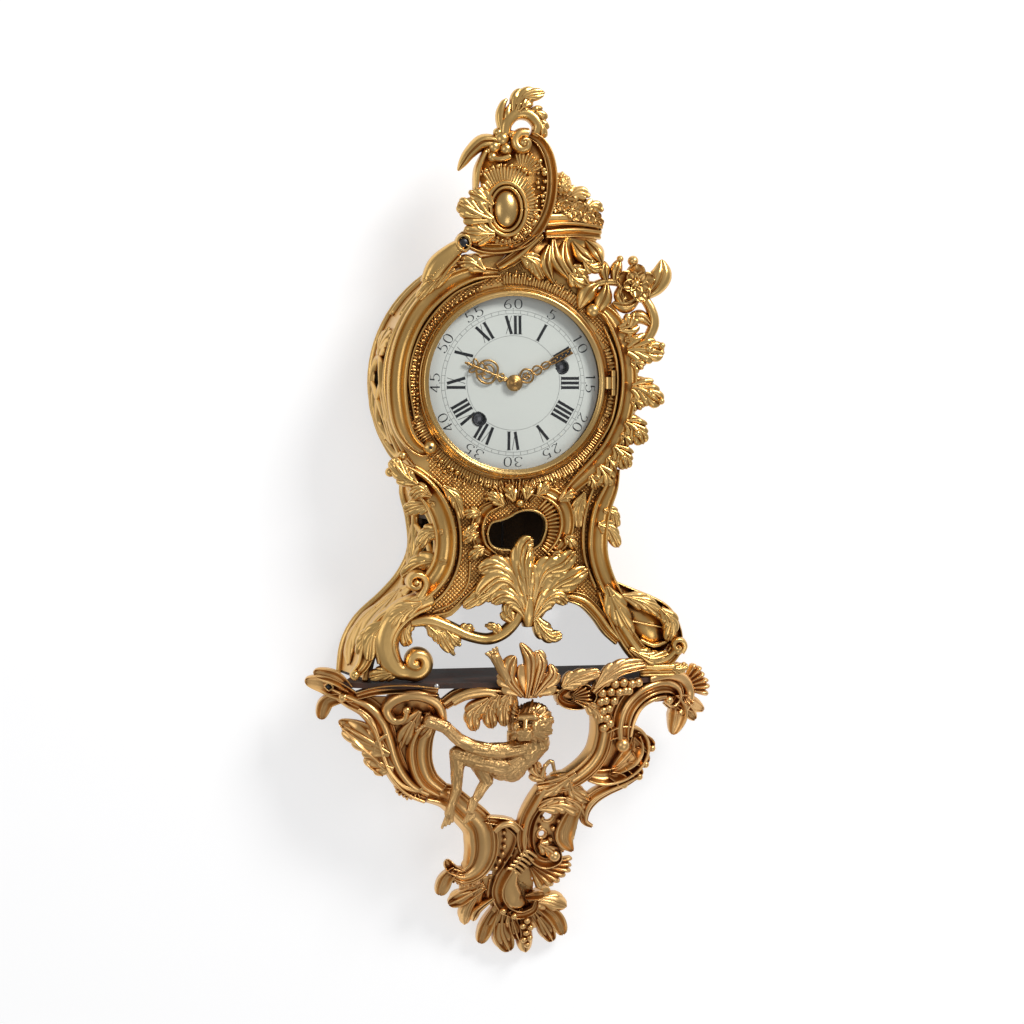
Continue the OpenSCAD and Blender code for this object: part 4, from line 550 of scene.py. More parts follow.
def gilt(name, tone, shade, rough=(0.2, 0.4), grain=0.25):
    """Fire-gilt bronze: paler in random rubbed patches on open surfaces, painted brown shade in hollows,
    faintly hammered.
    """
    n = Nodes(name)
    n.shader.inputs["Metallic"].default_value = 1.0
    cloud = n.noise(14.0, 5.0)
    fine = n.noise(420.0, 3.0)
    # Painted shade: ambient occlusion turns the colour towards the shade colour in hollows and crevices.
    hollow = n.add("ShaderNodeAmbientOcclusion", samples=6, Distance=0.012).outputs["AO"]
    depth = n.ramp(hollow, [(0.25, (0, 0, 0)), (0.85, (1, 1, 1))])
    body = n.mix(depth, shade, tone)
    pale = tuple(min(c * 1.12 + 0.03, 1.0) for c in tone)
    worn = n.mix(n.ramp(cloud, [(0.42, (0, 0, 0)), (0.72, (1, 1, 1))]), body, pale)
    n.link(n.mix(depth, body, worn), n.shader.inputs["Base Color"])
    spread = n.math("MULTIPLY", cloud, rough[1] - rough[0])
    n.link(n.math("ADD", spread, rough[0]), n.shader.inputs["Roughness"])
    n.link(n.bump(fine, grain, 0.0004), n.shader.inputs["Normal"])
    return n.material


# Tone and painted shade colour of each gilt; hollows darken towards the painted shade, which is kept
# lighter on the front plate.
GOLD = (0.76, 0.475, 0.16)
GOLD_PAINTED_SHADE = (0.35, 0.14, 0.03)
ROSE = (0.81, 0.49, 0.19)
ROSE_PAINTED_SHADE = (0.38, 0.16, 0.046)
clock_gilt = gilt("clock_gilt", GOLD, GOLD_PAINTED_SHADE)
plate_gilt = gilt("plate_gilt", GOLD, (0.58, 0.31, 0.09), (0.3, 0.46), 0.3)
bracket_gilt = gilt("bracket_gilt", ROSE, ROSE_PAINTED_SHADE, (0.24, 0.42), 0.3)
bezel_gilt = gilt("bezel_gilt", (0.7, 0.45, 0.165), GOLD_PAINTED_SHADE, (0.2, 0.34), 0.12)
hand_gilt = gilt("hand_gilt", (0.84, 0.62, 0.27), (0.42, 0.23, 0.07), (0.28, 0.42), 0.2)
fur_gilt = gilt("fur_gilt", (0.68, 0.415, 0.165), (0.3, 0.125, 0.038), (0.3, 0.46), 0.35)


def plain(name, colour, rough, metallic=0.0, spots=None, spot_scale=40.0, grain=0.15, coat=0.0):
    """Simple surface with a little cloudiness and grain."""
    n = Nodes(name)
    n.shader.inputs["Metallic"].default_value = metallic
    n.shader.inputs["Coat Weight"].default_value = coat
    cloud = n.noise(spot_scale, 6.0)
    dark = tuple(c * 0.82 for c in colour)
    tone = n.mix(n.ramp(cloud, [(0.4, (0, 0, 0)), (0.65, (1, 1, 1))]), colour, spots or dark)
    n.link(tone, n.shader.inputs["Base Color"])
    n.link(n.math("ADD", n.math("MULTIPLY", cloud, 0.15), rough - 0.07), n.shader.inputs["Roughness"])
    n.link(n.bump(n.noise(700.0, 2.0), grain, 0.0003), n.shader.inputs["Normal"])
    return n.material


enamel = plain("enamel", (0.77, 0.80, 0.735), 0.14, 0.0, (0.72, 0.75, 0.69), 9.0, 0.02, 0.5)
# Black for the dial's print and the minute hand's inlay, and for painted shade in holes and the eyes of
# scrolls.
ink = plain("ink", (0.012, 0.012, 0.014), 0.35)
iron = plain("iron", (0.03, 0.019, 0.014), 0.78, 0.0, (0.075, 0.03, 0.017), 55.0, 0.5)
brass = plain("brass", (0.72, 0.52, 0.2), 0.3, 1.0, (0.6, 0.4, 0.14), 25.0, 0.2)
steel = plain("steel", (0.36, 0.36, 0.38), 0.3, 1.0, (0.28, 0.28, 0.3), 60.0, 0.15)
# Ungilt bronze of the case's inside, darkened further as painted shade of the unlit interior.
inner_shade_bronze = plain("inner_shade_bronze", (0.10, 0.065, 0.035), 0.6, 0.4, (0.05, 0.035, 0.025), 30.0, 0.4)
screw_steel = plain("screw_steel", (0.6, 0.6, 0.6), 0.35, 1.0)
# Dark steel of the pendulum rod, laid over the bob as well as painted shade in the pendulum window.
shaded_dark_steel = plain("shaded_dark_steel", (0.05, 0.05, 0.055), 0.5, 0.6)
# Dark bronze for the monkey's eyes: painted shade of the eye sockets.
eye_socket_shade = plain("eye_socket_shade", (0.16, 0.075, 0.025), 0.35, 0.8)


def clear_glass():
    """Thin old glass: nearly clear, so the dial under it keeps its light."""
    n = Nodes("clear_glass")
    n.shader.inputs["Base Color"].default_value = (0.12, 0.14, 0.14, 1)
    n.shader.inputs["Alpha"].default_value = 0.04
    n.shader.inputs["IOR"].default_value = 1.5
    dust = n.noise(60.0, 3.0)
    n.link(n.math("ADD", n.math("MULTIPLY", dust, 0.06), 0.01), n.shader.inputs["Roughness"])
    return n.material


glass = clear_glass()

SLOT_MATERIALS = {
    "gilt_bronze": clock_gilt, "bracket_bronze": bracket_gilt, "brass": brass, "steel": steel,
    "blackened_iron": iron, "enamel": enamel, "glass": glass,
}
slot_of = {s["node"]: s["material_slot"] for s in frame["record"]["subparts"]}
# The case's sides, back and door carry painted shade of the unlit inside.
NODE_MATERIALS = {"case_front": plate_gilt, "case_left_side": inner_shade_bronze,
                  "case_right_side": inner_shade_bronze, "case_back": inner_shade_bronze, "back_door": inner_shade_bronze,
                  "pendulum": shaded_dark_steel}
for node, obj in frame["nodes"].items():
    material = NODE_MATERIALS.get(node) or SLOT_MATERIALS[slot_of[node]]
    if not obj.material_slots:
        obj.data.materials.append(material)
    for place in obj.material_slots:
        place.material = material


# Dial, bezel and glass.

DIAL_OUT = DIAL_R + 1.2
DIAL_RISE = 4.5
DIAL_BORE = 4.5
DIAL_THICK = 2.2


def dial_front(r):
    """How far the domed enamel stands forward at a distance from its centre."""
    return -0.5 + DIAL_RISE * (1 - (r / DIAL_OUT) ** 2)


def hole_centres():
    """Winding holes, in x and z from the dial's centre."""
    out = []
    for node in ("going_arbor", "strike_arbor"):
        low, high = box_mm(node)
        out.append(((low[0] + high[0]) / 2, (low[2] + high[2]) / 2 - DIAL_Z))
    return out


KEY_HOLES = hole_centres()
KEY_R = 7.0


def make_dial():
    mesh = bpy.data.meshes.new("dial_face")
    verts, faces = [], []
    around, rings = 240, 90
    radii = [DIAL_BORE + (DIAL_OUT - DIAL_BORE) * j / rings for j in range(rings + 1)]
    for back in (0.0, DIAL_THICK):
        for i in range(around):
            a = 2 * math.pi * i / around
            for r in radii:
                verts.append((r * math.cos(a) / MM, (FRONT_Y - dial_front(r) + back) / MM,
                              (DIAL_Z + r * math.sin(a)) / MM))
    sheet = around * (rings + 1)
    for i in range(around):
        for j in range(rings):
            a, b = i * (rings + 1) + j, ((i + 1) % around) * (rings + 1) + j
            mid_r = (radii[j] + radii[j + 1]) / 2
            mid_a = 2 * math.pi * (i + 0.5) / around
            mx, mz = mid_r * math.cos(mid_a), mid_r * math.sin(mid_a)
            if any(math.hypot(mx - hx, mz - hz) < KEY_R - 0.6 for hx, hz in KEY_HOLES):
                continue
            faces.append((a, b, b + 1, a + 1))
            faces.append((a + sheet, a + 1 + sheet, b + 1 + sheet, b + sheet))
    for i in range(around):
        a, b = i * (rings + 1) + rings, ((i + 1) % around) * (rings + 1) + rings
        faces.append((a, b, b + sheet, a + sheet))
    mesh.from_pydata(verts, [], faces)
    finish_piece("dial_face", mesh, enamel, "case", ("dial",))


class DialInk(Casting):
    """Painted marks that lie on the domed dial; points are (x, z) from its centre."""

    def __init__(self, name):
        super().__init__(name, "case", origin=DIAL)

    def on_dial(self, x, z):
        return (x, z, dial_front(math.hypot(x, z)) + 0.1)

    def stroke(self, points, widths):
        """Pen line with a width at each point."""
        rows = []
        for (x, z), (tx, tz), w in zip(points, headings(points), widths):
            rows.append([self.on_dial(x - tz * w * k, z + tx * w * k) for k in (-0.5, 0.5)])
        self.grid(rows)

    def ring(self, r, w, count=240):
        self.stroke(circle(count, r), [w] * (count + 1))

    def tick(self, angle, low, length, pen):
        """Short line along a radius."""
        self.stroke([clock_point(angle, low + length * k / 2) for k in range(3)], [pen] * 3)


def clock_point(angle, r, across=0.0):
    """Point on the dial: angle clockwise from twelve, across to the right of the radius."""
    a = math.radians(90 - angle)
    c, s = math.cos(a), math.sin(a)
    return (r * c + across * s, r * s - across * c)


ROMAN = {1: "I", 2: "II", 3: "III", 4: "IIII", 5: "V", 6: "VI", 7: "VII", 8: "VIII", 9: "IX", 10: "X",
         11: "XI", 12: "XII"}
ROMAN_WIDTH = {"I": 4.6, "V": 9.0, "X": 8.8}
ROMAN_LOW, ROMAN_HIGH = 48.6, 66.8
TRACK_RINGS, RING_PEN = (47.0, 69.0, 72.5), 0.25
MINUTE_TICK = (69, 3.5, 0.28)
FIVE_TICK = (73.4, 0.9, 0.9)
FIGURE_LOW, FIGURE_HIGH, FIGURE_WIDE = 73.9, 83.6, 10.8
# Arabic figures as pen paths in a box 1 wide and 1 high.
FIGURES = {
    "0": [[(0.5, 1), (0.2, 0.85), (0.1, 0.5), (0.2, 0.15), (0.5, 0), (0.8, 0.15), (0.9, 0.5), (0.8, 0.85),
           (0.5, 1)]],
    "1": [[(0.3, 0.85), (0.5, 1), (0.5, 0.6), (0.5, 0)]],
    "2": [[(0.15, 0.8), (0.3, 0.98), (0.6, 1), (0.82, 0.8), (0.75, 0.55), (0.4, 0.25), (0.12, 0.02)],
          [(0.12, 0.02), (0.35, 0.1), (0.6, 0), (0.9, 0.12)]],
    "3": [[(0.15, 0.85), (0.4, 1), (0.75, 0.92), (0.8, 0.7), (0.5, 0.55)],
          [(0.5, 0.55), (0.85, 0.42), (0.85, 0.15), (0.5, 0), (0.15, 0.08), (0.14, 0.2)]],
    "4": [[(0.65, 1), (0.35, 0.62), (0.08, 0.3)], [(0.08, 0.3), (0.5, 0.3), (0.95, 0.3)],
          [(0.65, 1), (0.65, 0.5), (0.65, 0)]],
    "5": [[(0.3, 1), (0.27, 0.75), (0.24, 0.55)], [(0.3, 1), (0.55, 0.96), (0.82, 1)],
          [(0.24, 0.55), (0.5, 0.64), (0.82, 0.5), (0.88, 0.25), (0.6, 0.02), (0.2, 0.04), (0.14, 0.18)]],
    "6": [[(0.8, 0.95), (0.45, 0.85), (0.18, 0.5), (0.15, 0.22), (0.45, 0), (0.8, 0.1), (0.86, 0.35),
           (0.6, 0.52), (0.22, 0.38)]],
}


def make_numerals():
    art = DialInk("dial_figures")
    for hour, letters in ROMAN.items():
        at = -sum(ROMAN_WIDTH[c] for c in letters) / 2
        for c in letters:
            roman(art, c, hour * 30, at + ROMAN_WIDTH[c] / 2)
            at += ROMAN_WIDTH[c]
    for r in TRACK_RINGS:
        art.ring(r, RING_PEN)
    for minute in range(60):
        art.tick(minute * 6, *MINUTE_TICK)
        if minute % 5 == 0:
            art.tick(minute * 6, *FIVE_TICK)
            figures(art, str(minute or 60), minute * 6)
    art.build(ink, None)


def roman(art, letter, angle, mid):
    """One letter of an hour, mid to the right of the radius at angle: broad and thin pen lines."""
    low, high = ROMAN_LOW, ROMAN_HIGH
    if letter == "I":
        lines = [((mid, low), (mid, high), 2.9)]
        lines += [((mid - 2.1, r), (mid + 2.1, r), 0.5) for r in (low, high)]
    elif letter == "V":
        lines = [((mid + 0.6, low), (mid - 2.6, high), 3.0), ((mid + 0.4, low), (mid + 3.2, high), 0.5)]
    else:
        lines = [((mid + 2.7, low), (mid - 2.7, high), 3.0), ((mid - 2.8, low), (mid + 2.8, high), 0.5)]
    for (xa, ra), (xb, rb), w in lines:
        art.stroke([clock_point(angle, ra + (rb - ra) * k / 6, xa + (xb - xa) * k / 6)
                    for k in range(7)], [w] * 7)


def figures(art, word, angle):
    """Minute figure with its top outwards, drawn with a broad pen."""
    start = -FIGURE_WIDE * len(word) / 2
    for k, c in enumerate(word):
        for line in FIGURES[c]:
            flat = [(start + FIGURE_WIDE * (k + 0.1 + 0.8 * x),
                     FIGURE_LOW + (FIGURE_HIGH - FIGURE_LOW) * z) for x, z in spline(line, 6)]
            widths = [0.4 + 0.95 * abs(tz) ** 2 for _, tz in headings(flat)]
            art.stroke([clock_point(angle, z, x) for x, z in flat], widths)


# Black collars lining the winding holes: painted shade inside the holes.
def make_key_collars():
    for k, (x, z) in enumerate(KEY_HOLES):
        f = dial_front(math.hypot(x, z))
        profile = [(5.4, -2.4), (5.4, f + 0.1), (6.2, f + 0.35), (7.5, f + 0.25), (7.6, f - 0.2)]
        lathe(f"key_hole_shade_{k}", profile, FRONT_Y, (x, DIAL_Z + z), ink, "case", around=48)


# Bezel mouldings from the rim inwards: (in from the rim, forward of the front plate).
BEZEL_STEPS = [(0.0, 0.0), (0.0, 2.4), (0.5, 3.1), (1.4, 3.4), (1.5, 4.2), (1.1, 5.0), (1.4, 6.0),
               (2.4, 6.8), (3.0, 7.0), (3.2, 8.0), (4.0, 9.6), (5.2, 10.2), (5.4, 10.9), (6.2, 11.7),
               (7.2, 12.0), (8.2, 11.7), (8.8, 10.9), (9.2, 10.7), (10.0, 10.9)]
GLASS_SEAT, GLASS_RISE, GLASS_THICK = 9.0, 7.0, 2
LUG_R, LUG_UP = 2.2, 11


def make_bezel():
    rebate = DIAL_R + 2
    inner = [(DIAL_R + 0.4, 10.6), (DIAL_R, 10.0), (DIAL_R, GLASS_SEAT),
             (rebate, GLASS_SEAT), (rebate, 0.0)]
    profile = [(rebate, 0.0)] + [(BEZEL_R - inward, f) for inward, f in BEZEL_STEPS] + inner
    lathe("bezel_ring", profile, FRONT_Y, DIAL, bezel_gilt, "bezel", ("bezel",), 256)
    lug = Casting("bezel_lug", "bezel", origin=DIAL)
    x = BEZEL_R + 3
    lug.grid([[(x + a, z, LUG_UP + b) for a, b in circle(16, LUG_R)] for z in (-6, -5.6, 5.6, 6)])
    arm = [(x - 8, 9.2), (x - 8, 11.0), (x, 11.6), (x, 9.4), (x - 8, 9.2)]
    lug.grid([[(a, z, up) for a, up in arm] for z in (-5.8, 5.8)])
    lug.build(bezel_gilt)
    flat = DIAL_R - 2
    edge = DIAL_R + 1.7
    dome = [(flat * i / 24, GLASS_SEAT + GLASS_RISE * (1 - (i / 24) ** 2)) for i in range(25)]
    back = [(edge, GLASS_SEAT - GLASS_THICK)] + [(r, f - GLASS_THICK) for r, f in reversed(dome)]
    front = dome + [(edge, GLASS_SEAT)]
    lathe("bezel_crystal", front + back, FRONT_Y, DIAL, glass, "bezel", ("bezel_glass",), 160)


make_dial()
make_numerals()
make_key_collars()
make_bezel()


# Hands: pierced gilt plates. Drawn pointing to twelve, as (across, along).

HOUR_ANGLE, MINUTE_ANGLE = 292.4, 61.0
HOUR_UP, INLAY_UP, MINUTE_UP = 6.0, 7.9, 8.0

# Right halves of the filigree, each line with its half width.
HOUR_LINES = [
    ([(1.2, 5), (1.6, 11), (4.0, 14), (1.8, 17), (1.3, 20)], 1.1),
    ([(0.6, 19), (8.0, 21), (11.5, 28), (9.0, 36), (1.2, 41)], 1.15),
    ([(0.4, 23), (4.6, 24), (7.4, 29), (4.6, 33), (2.4, 29.5)], 0.9),
    ([(0.4, 32), (3.8, 34), (6.0, 37), (3.6, 39.5)], 0.9),
    ([(0.8, 39), (5.4, 42), (7.0, 45.5), (4.2, 46), (1.0, 43)], 0.9),
]
MINUTE_LINES = [
    ([(1.0, 6), (5.2, 10), (7.0, 15), (4.6, 19), (1.2, 21)], 1.1),
    ([(1.0, 21), (4.0, 24), (4.0, 28), (1.0, 31)], 0.9),
    ([(0.9, 31), (3.0, 34), (3.0, 38), (1.0, 41)], 0.9),
    ([(0.3, 10), (3.0, 12.5), (2.4, 16.5), (0.3, 15)], 0.8),
    ([(1.8, 41), (2.7, 46), (2.7, 58), (2.5, 66.5)], 0.7),
]


class Hand(Casting):
    """Hand drawn pointing to twelve, then turned clockwise by angle."""

    def __init__(self, name, body, angle, up, *nodes):
        super().__init__(name, body, *nodes, origin=DIAL)
        self.angle, self.up = angle, up

    def wire(self, points, w, h=1.0):
        """Filigree line."""
        s = spline(points, 6)
        rows = []
        for (x, z), (tx, tz) in zip(s, headings(s)):
            row = []
            for a, b in ((-1, 0), (-0.9, 0.75), (0, 1), (0.9, 0.75), (1, 0), (-1, 0)):
                px, pz = clock_point(self.angle, z + tx * a * w, x - tz * a * w)
                row.append((px, pz, self.up + b * h))
            rows.append(row)
        self.grid(rows)

    def filigree(self, lines):
        """Lines on the right and their mirror images on the left."""
        for side in (-1, 1):
            for points, w in lines:
                self.wire([(side * x, z) for x, z in points], w)

    def disc(self, x, z, r, h):
        """Low boss at (across, along)."""
        px, pz = clock_point(self.angle, z, x)
        self.berry(px, pz, self.up, r, h)


def make_hands():
    hour = Hand("hour_hand_gilt", "hour_hand", HOUR_ANGLE, HOUR_UP, "hour_hand")
    hour.filigree(HOUR_LINES)
    hour.wire([(0, 4), (0, 24), (0, 40), (0, 50)], 1.2, 1.1)
    for z, r in ((18, 1.6), (27, 1.4), (38, 1.8), (45, 1.7), (50, 1.9), (52.5, 1.3)):
        hour.disc(0, z, r, 1.2)
    hour.disc(0, 0, 8.0, 1.3)
    hour.build(hand_gilt)

    minute = Hand("minute_hand_gilt", "minute_hand", MINUTE_ANGLE, MINUTE_UP, "minute_hand")
    minute.filigree(MINUTE_LINES)
    minute.wire([(0, 5), (0, 20), (0, 38), (0, 48)], 0.8, 0.9)
    for z in range(47, 66, 3):
        minute.disc(1.0 if z % 2 else -1.0, z, 1.1, 0.9)
    for z, r in ((7, 1.6), (21, 1.6), (31, 1.5), (41, 1.4)):
        minute.disc(0, z, r, 1.1)
    minute.build(hand_gilt)
    inlay = Hand("minute_hand_inlay", "minute_hand", MINUTE_ANGLE, INLAY_UP)
    inlay.wire([(0, 43), (0, 56), (0, 66)], 2.7, 0.5)
    inlay.build(ink, None)
    profile = [(0.0, 11.3), (2.2, 11.2), (2.6, 10.6), (5.2, 10.2), (7.4, 9.4), (8.3, 8.6),
               (8.3, 8.0), (1.6, 8.0)]
    lathe("hand_boss", profile, FRONT_Y, DIAL, hand_gilt, "minute_hand", around=64)


make_hands()


# Case ornament.

random.seed(11)

# Shells round the bezel: from and to which angle, outer radius, flutes.
COLLAR_FANS = [
    (202, 250, 112, 30), (250, 296, 109, 28), (296, 332, 113, 24), (46, 96, 112, 30), (-20, 20, 108, 20),
    (140, 200, 108, 34),
]


def collar():
    """Hatched rocaille round the bezel."""
    c = Casting("bezel_collar", "case", origin=DIAL)
    for a0, a1, r1, ribs in COLLAR_FANS:
        c.fan(0, 0, a0, a1, BEZEL_R + 1, r1, 0.0, 0.4, ribs, 0.05)
    c.beads(round_dial([[214, 11, 3], [240, 9], [268, 9], [296, 10], [326, 12]]), 2.2, 6.5, 0.6)
    c.beads(round_dial([[222, 16, 2], [250, 14], [290, 15], [318, 17]]), 1.7, 8.0, 0.8)
    c.beads(round_dial([[50, 10, 3], [70, 9], [92, 10]]), 1.8, 7.0, 0.6)
    c.build(clock_gilt)


# Scrolls beside the dial, as round_dial takes them.
LEFT_C = [[98, 13, 0, 4, 0.8], [112, 19, 0, 8, 1], [127, 21, 0, 10, 1.05], [144, 21], [162, 20],
          [180, 20], [197, 22], [208, 22, 0, 8, 1], [216, 17, 0, 6, 0.9], [217, 9, 0, 4, 0.8]]
RIGHT_C = [[42, 11, 0, 4, 0.8], [38, 20, 0, 6, 0.95], [27, 22, 0, 9, 1], [13, 21], [-2, 20], [-17, 20],
           [-32, 20], [-45, 20], [-58, 22, 0, 7, 0.95], [-67, 28, 0, 4, 0.8]]


def left_scroll():
    c = Casting("left_scroll", "case", "left_c_scroll", origin=DIAL)
    c.strap(round_dial(LEFT_C), COVE, 14)
    c.strap(round_dial([[104, 9, 0, 1.2, 0.5], [125, 9.5, 0, 1.8, 0.8], [150, 8.5], [175, 8.5],
                        [200, 9, 0, 1.4, 0.6]]), THREAD, 20)
    c.beads(round_dial([[106, 5, 3], [150, 4.5], [198, 5]]), 1.9, 3.6)
    hub = round_dial([[217, 9, 0]])[0]
    c.berry(hub[0], hub[1], 5, 7.5, 6.5, 20)
    c.leaf(round_dial([[118, 30, 0, 5, 0.7], [130, 31, 1, 6, 0.8], [140, 30, 2, 2, 0.5]]), 3)
    c.build(clock_gilt)
    # Black dot at the scroll's hub: painted shade in the eye of the curl.
    eye = Casting("left_scroll_eye_shade", "case", origin=DIAL)
    eye.berry(hub[0], hub[1], 10.8, 1.9, 1.0, 16)
    eye.build(ink, None)


def right_scroll():
    c = Casting("right_scroll", "case", "right_c_scroll", origin=DIAL)
    c.strap(round_dial(RIGHT_C), EVOC, 14)
    c.strap(round_dial([[32, 11, 0, 1.2, 0.5], [10, 9, 0, 1.8, 0.8], [-20, 9],
                        [-48, 10, 0, 1.3, 0.6]]), THREAD, 20)
    hub = round_dial([[42, 11, 0]])[0]
    c.berry(hub[0], hub[1], 5, 7.5, 7, 20)
    c.build(clock_gilt)


# Leaves beyond the right scroll: angle, reach, half width, turn towards the tip, fingers.
BORDER = [(26, 44, 10, 4, 2), (15, 60, 17, -4, 3), (-3, 56, 15, -5, 3), (-20, 49, 14, -5, 3),
          (-33, 47, 13, -4, 3), (-45, 44, 11, -4, 2)]
# Angle, distance outside the bezel, radius.
BORDER_BERRIES = [
    (14, 44, 5), (-4, 41, 4.5), (-22, 38, 4.5), (-34, 37, 4), (14, 58, 3.5), (-7, 54, 3.5),
]


def leaf_border():
    c = Casting("right_leaf_border", "case", "leaf_border", origin=DIAL)
    for a, reach, w, turn, fingers in BORDER:
        c.leaf(round_dial([[a + 1, 23, 0, w * 0.9, 0.75], [a, 33, 0, w, 0.9],
                           [a + turn * 0.5, (34 + reach) / 2, 2, w * 0.8, 0.8],
                           [a + turn, reach, 4, 1.2, 0.4]]), fingers)
        c.leaf(round_dial([[a - 5, 24, 0, w * 0.6, 0.6], [a - 6, 33, 1, w * 0.6, 0.7],
                           [a - 7, 39, 3, 1, 0.4]]), 2)
    for a, off, r in BORDER_BERRIES:
        x, z = round_dial([[a, off]])[0]
        c.berry(x, z, 9, r, r * 1.1, 16)
    c.build(clock_gilt)


FLOWER_LEAVES = [
    [[130, 84, 1, 6, 0.5], [144, 96, 2, 12, 0.7], [151, 110, 3, 11, 0.6], [151, 124, 4, 4, 0.4]],
    [[128, 86, 1, 6, 0.5], [116, 78, 2, 9, 0.6], [100, 80, 3, 3, 0.4]],
    [[86, 99, 0, 6, 0.6], [76, 92, 2, 11, 0.7], [66, 74, 4, 4, 0.4]],
    [[94, 100, 1, 5, 0.6], [92, 86, 2, 10, 0.7], [82, 68, 4, 4, 0.4]],
    [[102, 100, 2, 5, 0.5], [104, 112, 2, 7, 0.6], [108, 124, 3, 3, 0.4]],
    [[94, 101, 2, 5, 0.5], [92, 112, 2, 7, 0.6], [92, 122, 3, 3, 0.4]],
    [[76, 96, 1, 6, 0.6], [68, 104, 2, 9, 0.7], [54, 106, 3, 3, 0.4]],
    [[140, 58, 2, 5, 0.5], [130, 66, 3, 8, 0.6], [116, 66, 4, 3, 0.4]],
    [[110, 98, 2, 5, 0.5], [108, 88, 3, 7, 0.6], [112, 76, 4, 3, 0.4]],
]


def flower_spray():
    c = Casting("flower_branch", "case", "flower_spray", origin=DIAL)
    c.strap([[134, 40, 0, 5, 0.7], [143, 58, 2, 5.5, 0.7], [139, 76, 2, 5, 0.7],
             [126, 94, 0, 4, 0.6]], TONGUE)
    c.strap([[72, 92, 0, 3.5, 0.6], [88, 100, 0, 4, 0.6], [104, 101], [118, 96]], TONGUE)
    c.flower(123, 99, 4, 20, 5, 15)
    for path in FLOWER_LEAVES:
        c.blade(path, LEAFLET)
    c.berry(121, 122, 6, 5.5, 6.5)
    c.berry(108, 124, 5, 3.5, 4)
    c.build(clock_gilt)


CREST_FIELD = [(-50, 48), (-46, 62), (-56, 78), (-44, 86), (-31, 92), (-36, 112), (-30, 128), (-15, 135),
               (4, 132), (18, 142), (30, 130), (36, 108), (35, 86), (28, 66), (12, 46),
               (-10, 38), (-32, 38)]
CREST_RING = [[16, 148, 0, 4, 0.9], [26, 142, 0, 5, 1], [34, 129, 0, 5.5, 1.05], [38, 110], [37, 89],
              [32, 70], [23, 54], [10, 42], [-10, 36], [-30, 36, 0, 5.5, 1], [-46, 42, 0, 5, 0.9],
              [-54, 51, 0, 3, 0.7]]
CREST_BACK = [(18, 56), (40, 52), (66, 46), (86, 42), (80, 26), (66, 8), (56, -10), (26, 0), (0, 8),
              (-20, 10), (-8, 30)]
STONE = (-8, 75)


def oval(rx, rz, *rest):
    """Ring round the crest's stone."""
    return [[STONE[0] + rx * c, STONE[1] + rz * s, *rest] for c, s in circle(24)]


# Path of each leaf, and its fingers.
CREST_LEAVES = [
    ([[-22, 64, 3, 10, 0.7], [-38, 70, 4, 15, 0.75], [-50, 77, 5, 9, 0.6], [-57, 80, 5, 1.5, 0.4]], 3),
    ([[-20, 50, 3, 9, 0.7], [-36, 50, 4, 11, 0.75], [-52, 52, 5, 2, 0.4]], 3),
    ([[-22, 78, 3, 7, 0.6], [-34, 86, 4, 8, 0.7], [-46, 92, 5, 1.5, 0.4]], 2),
    ([[-30, 14, 0, 6, 0.8], [-44, 22, 0, 8, 0.9], [-58, 22, 1, 2, 0.5]], 2),
    ([[6, 30, 0, 6, 0.8], [20, 22, 0, 9, 0.9], [30, 6, 1, 2, 0.5]], 3),
]


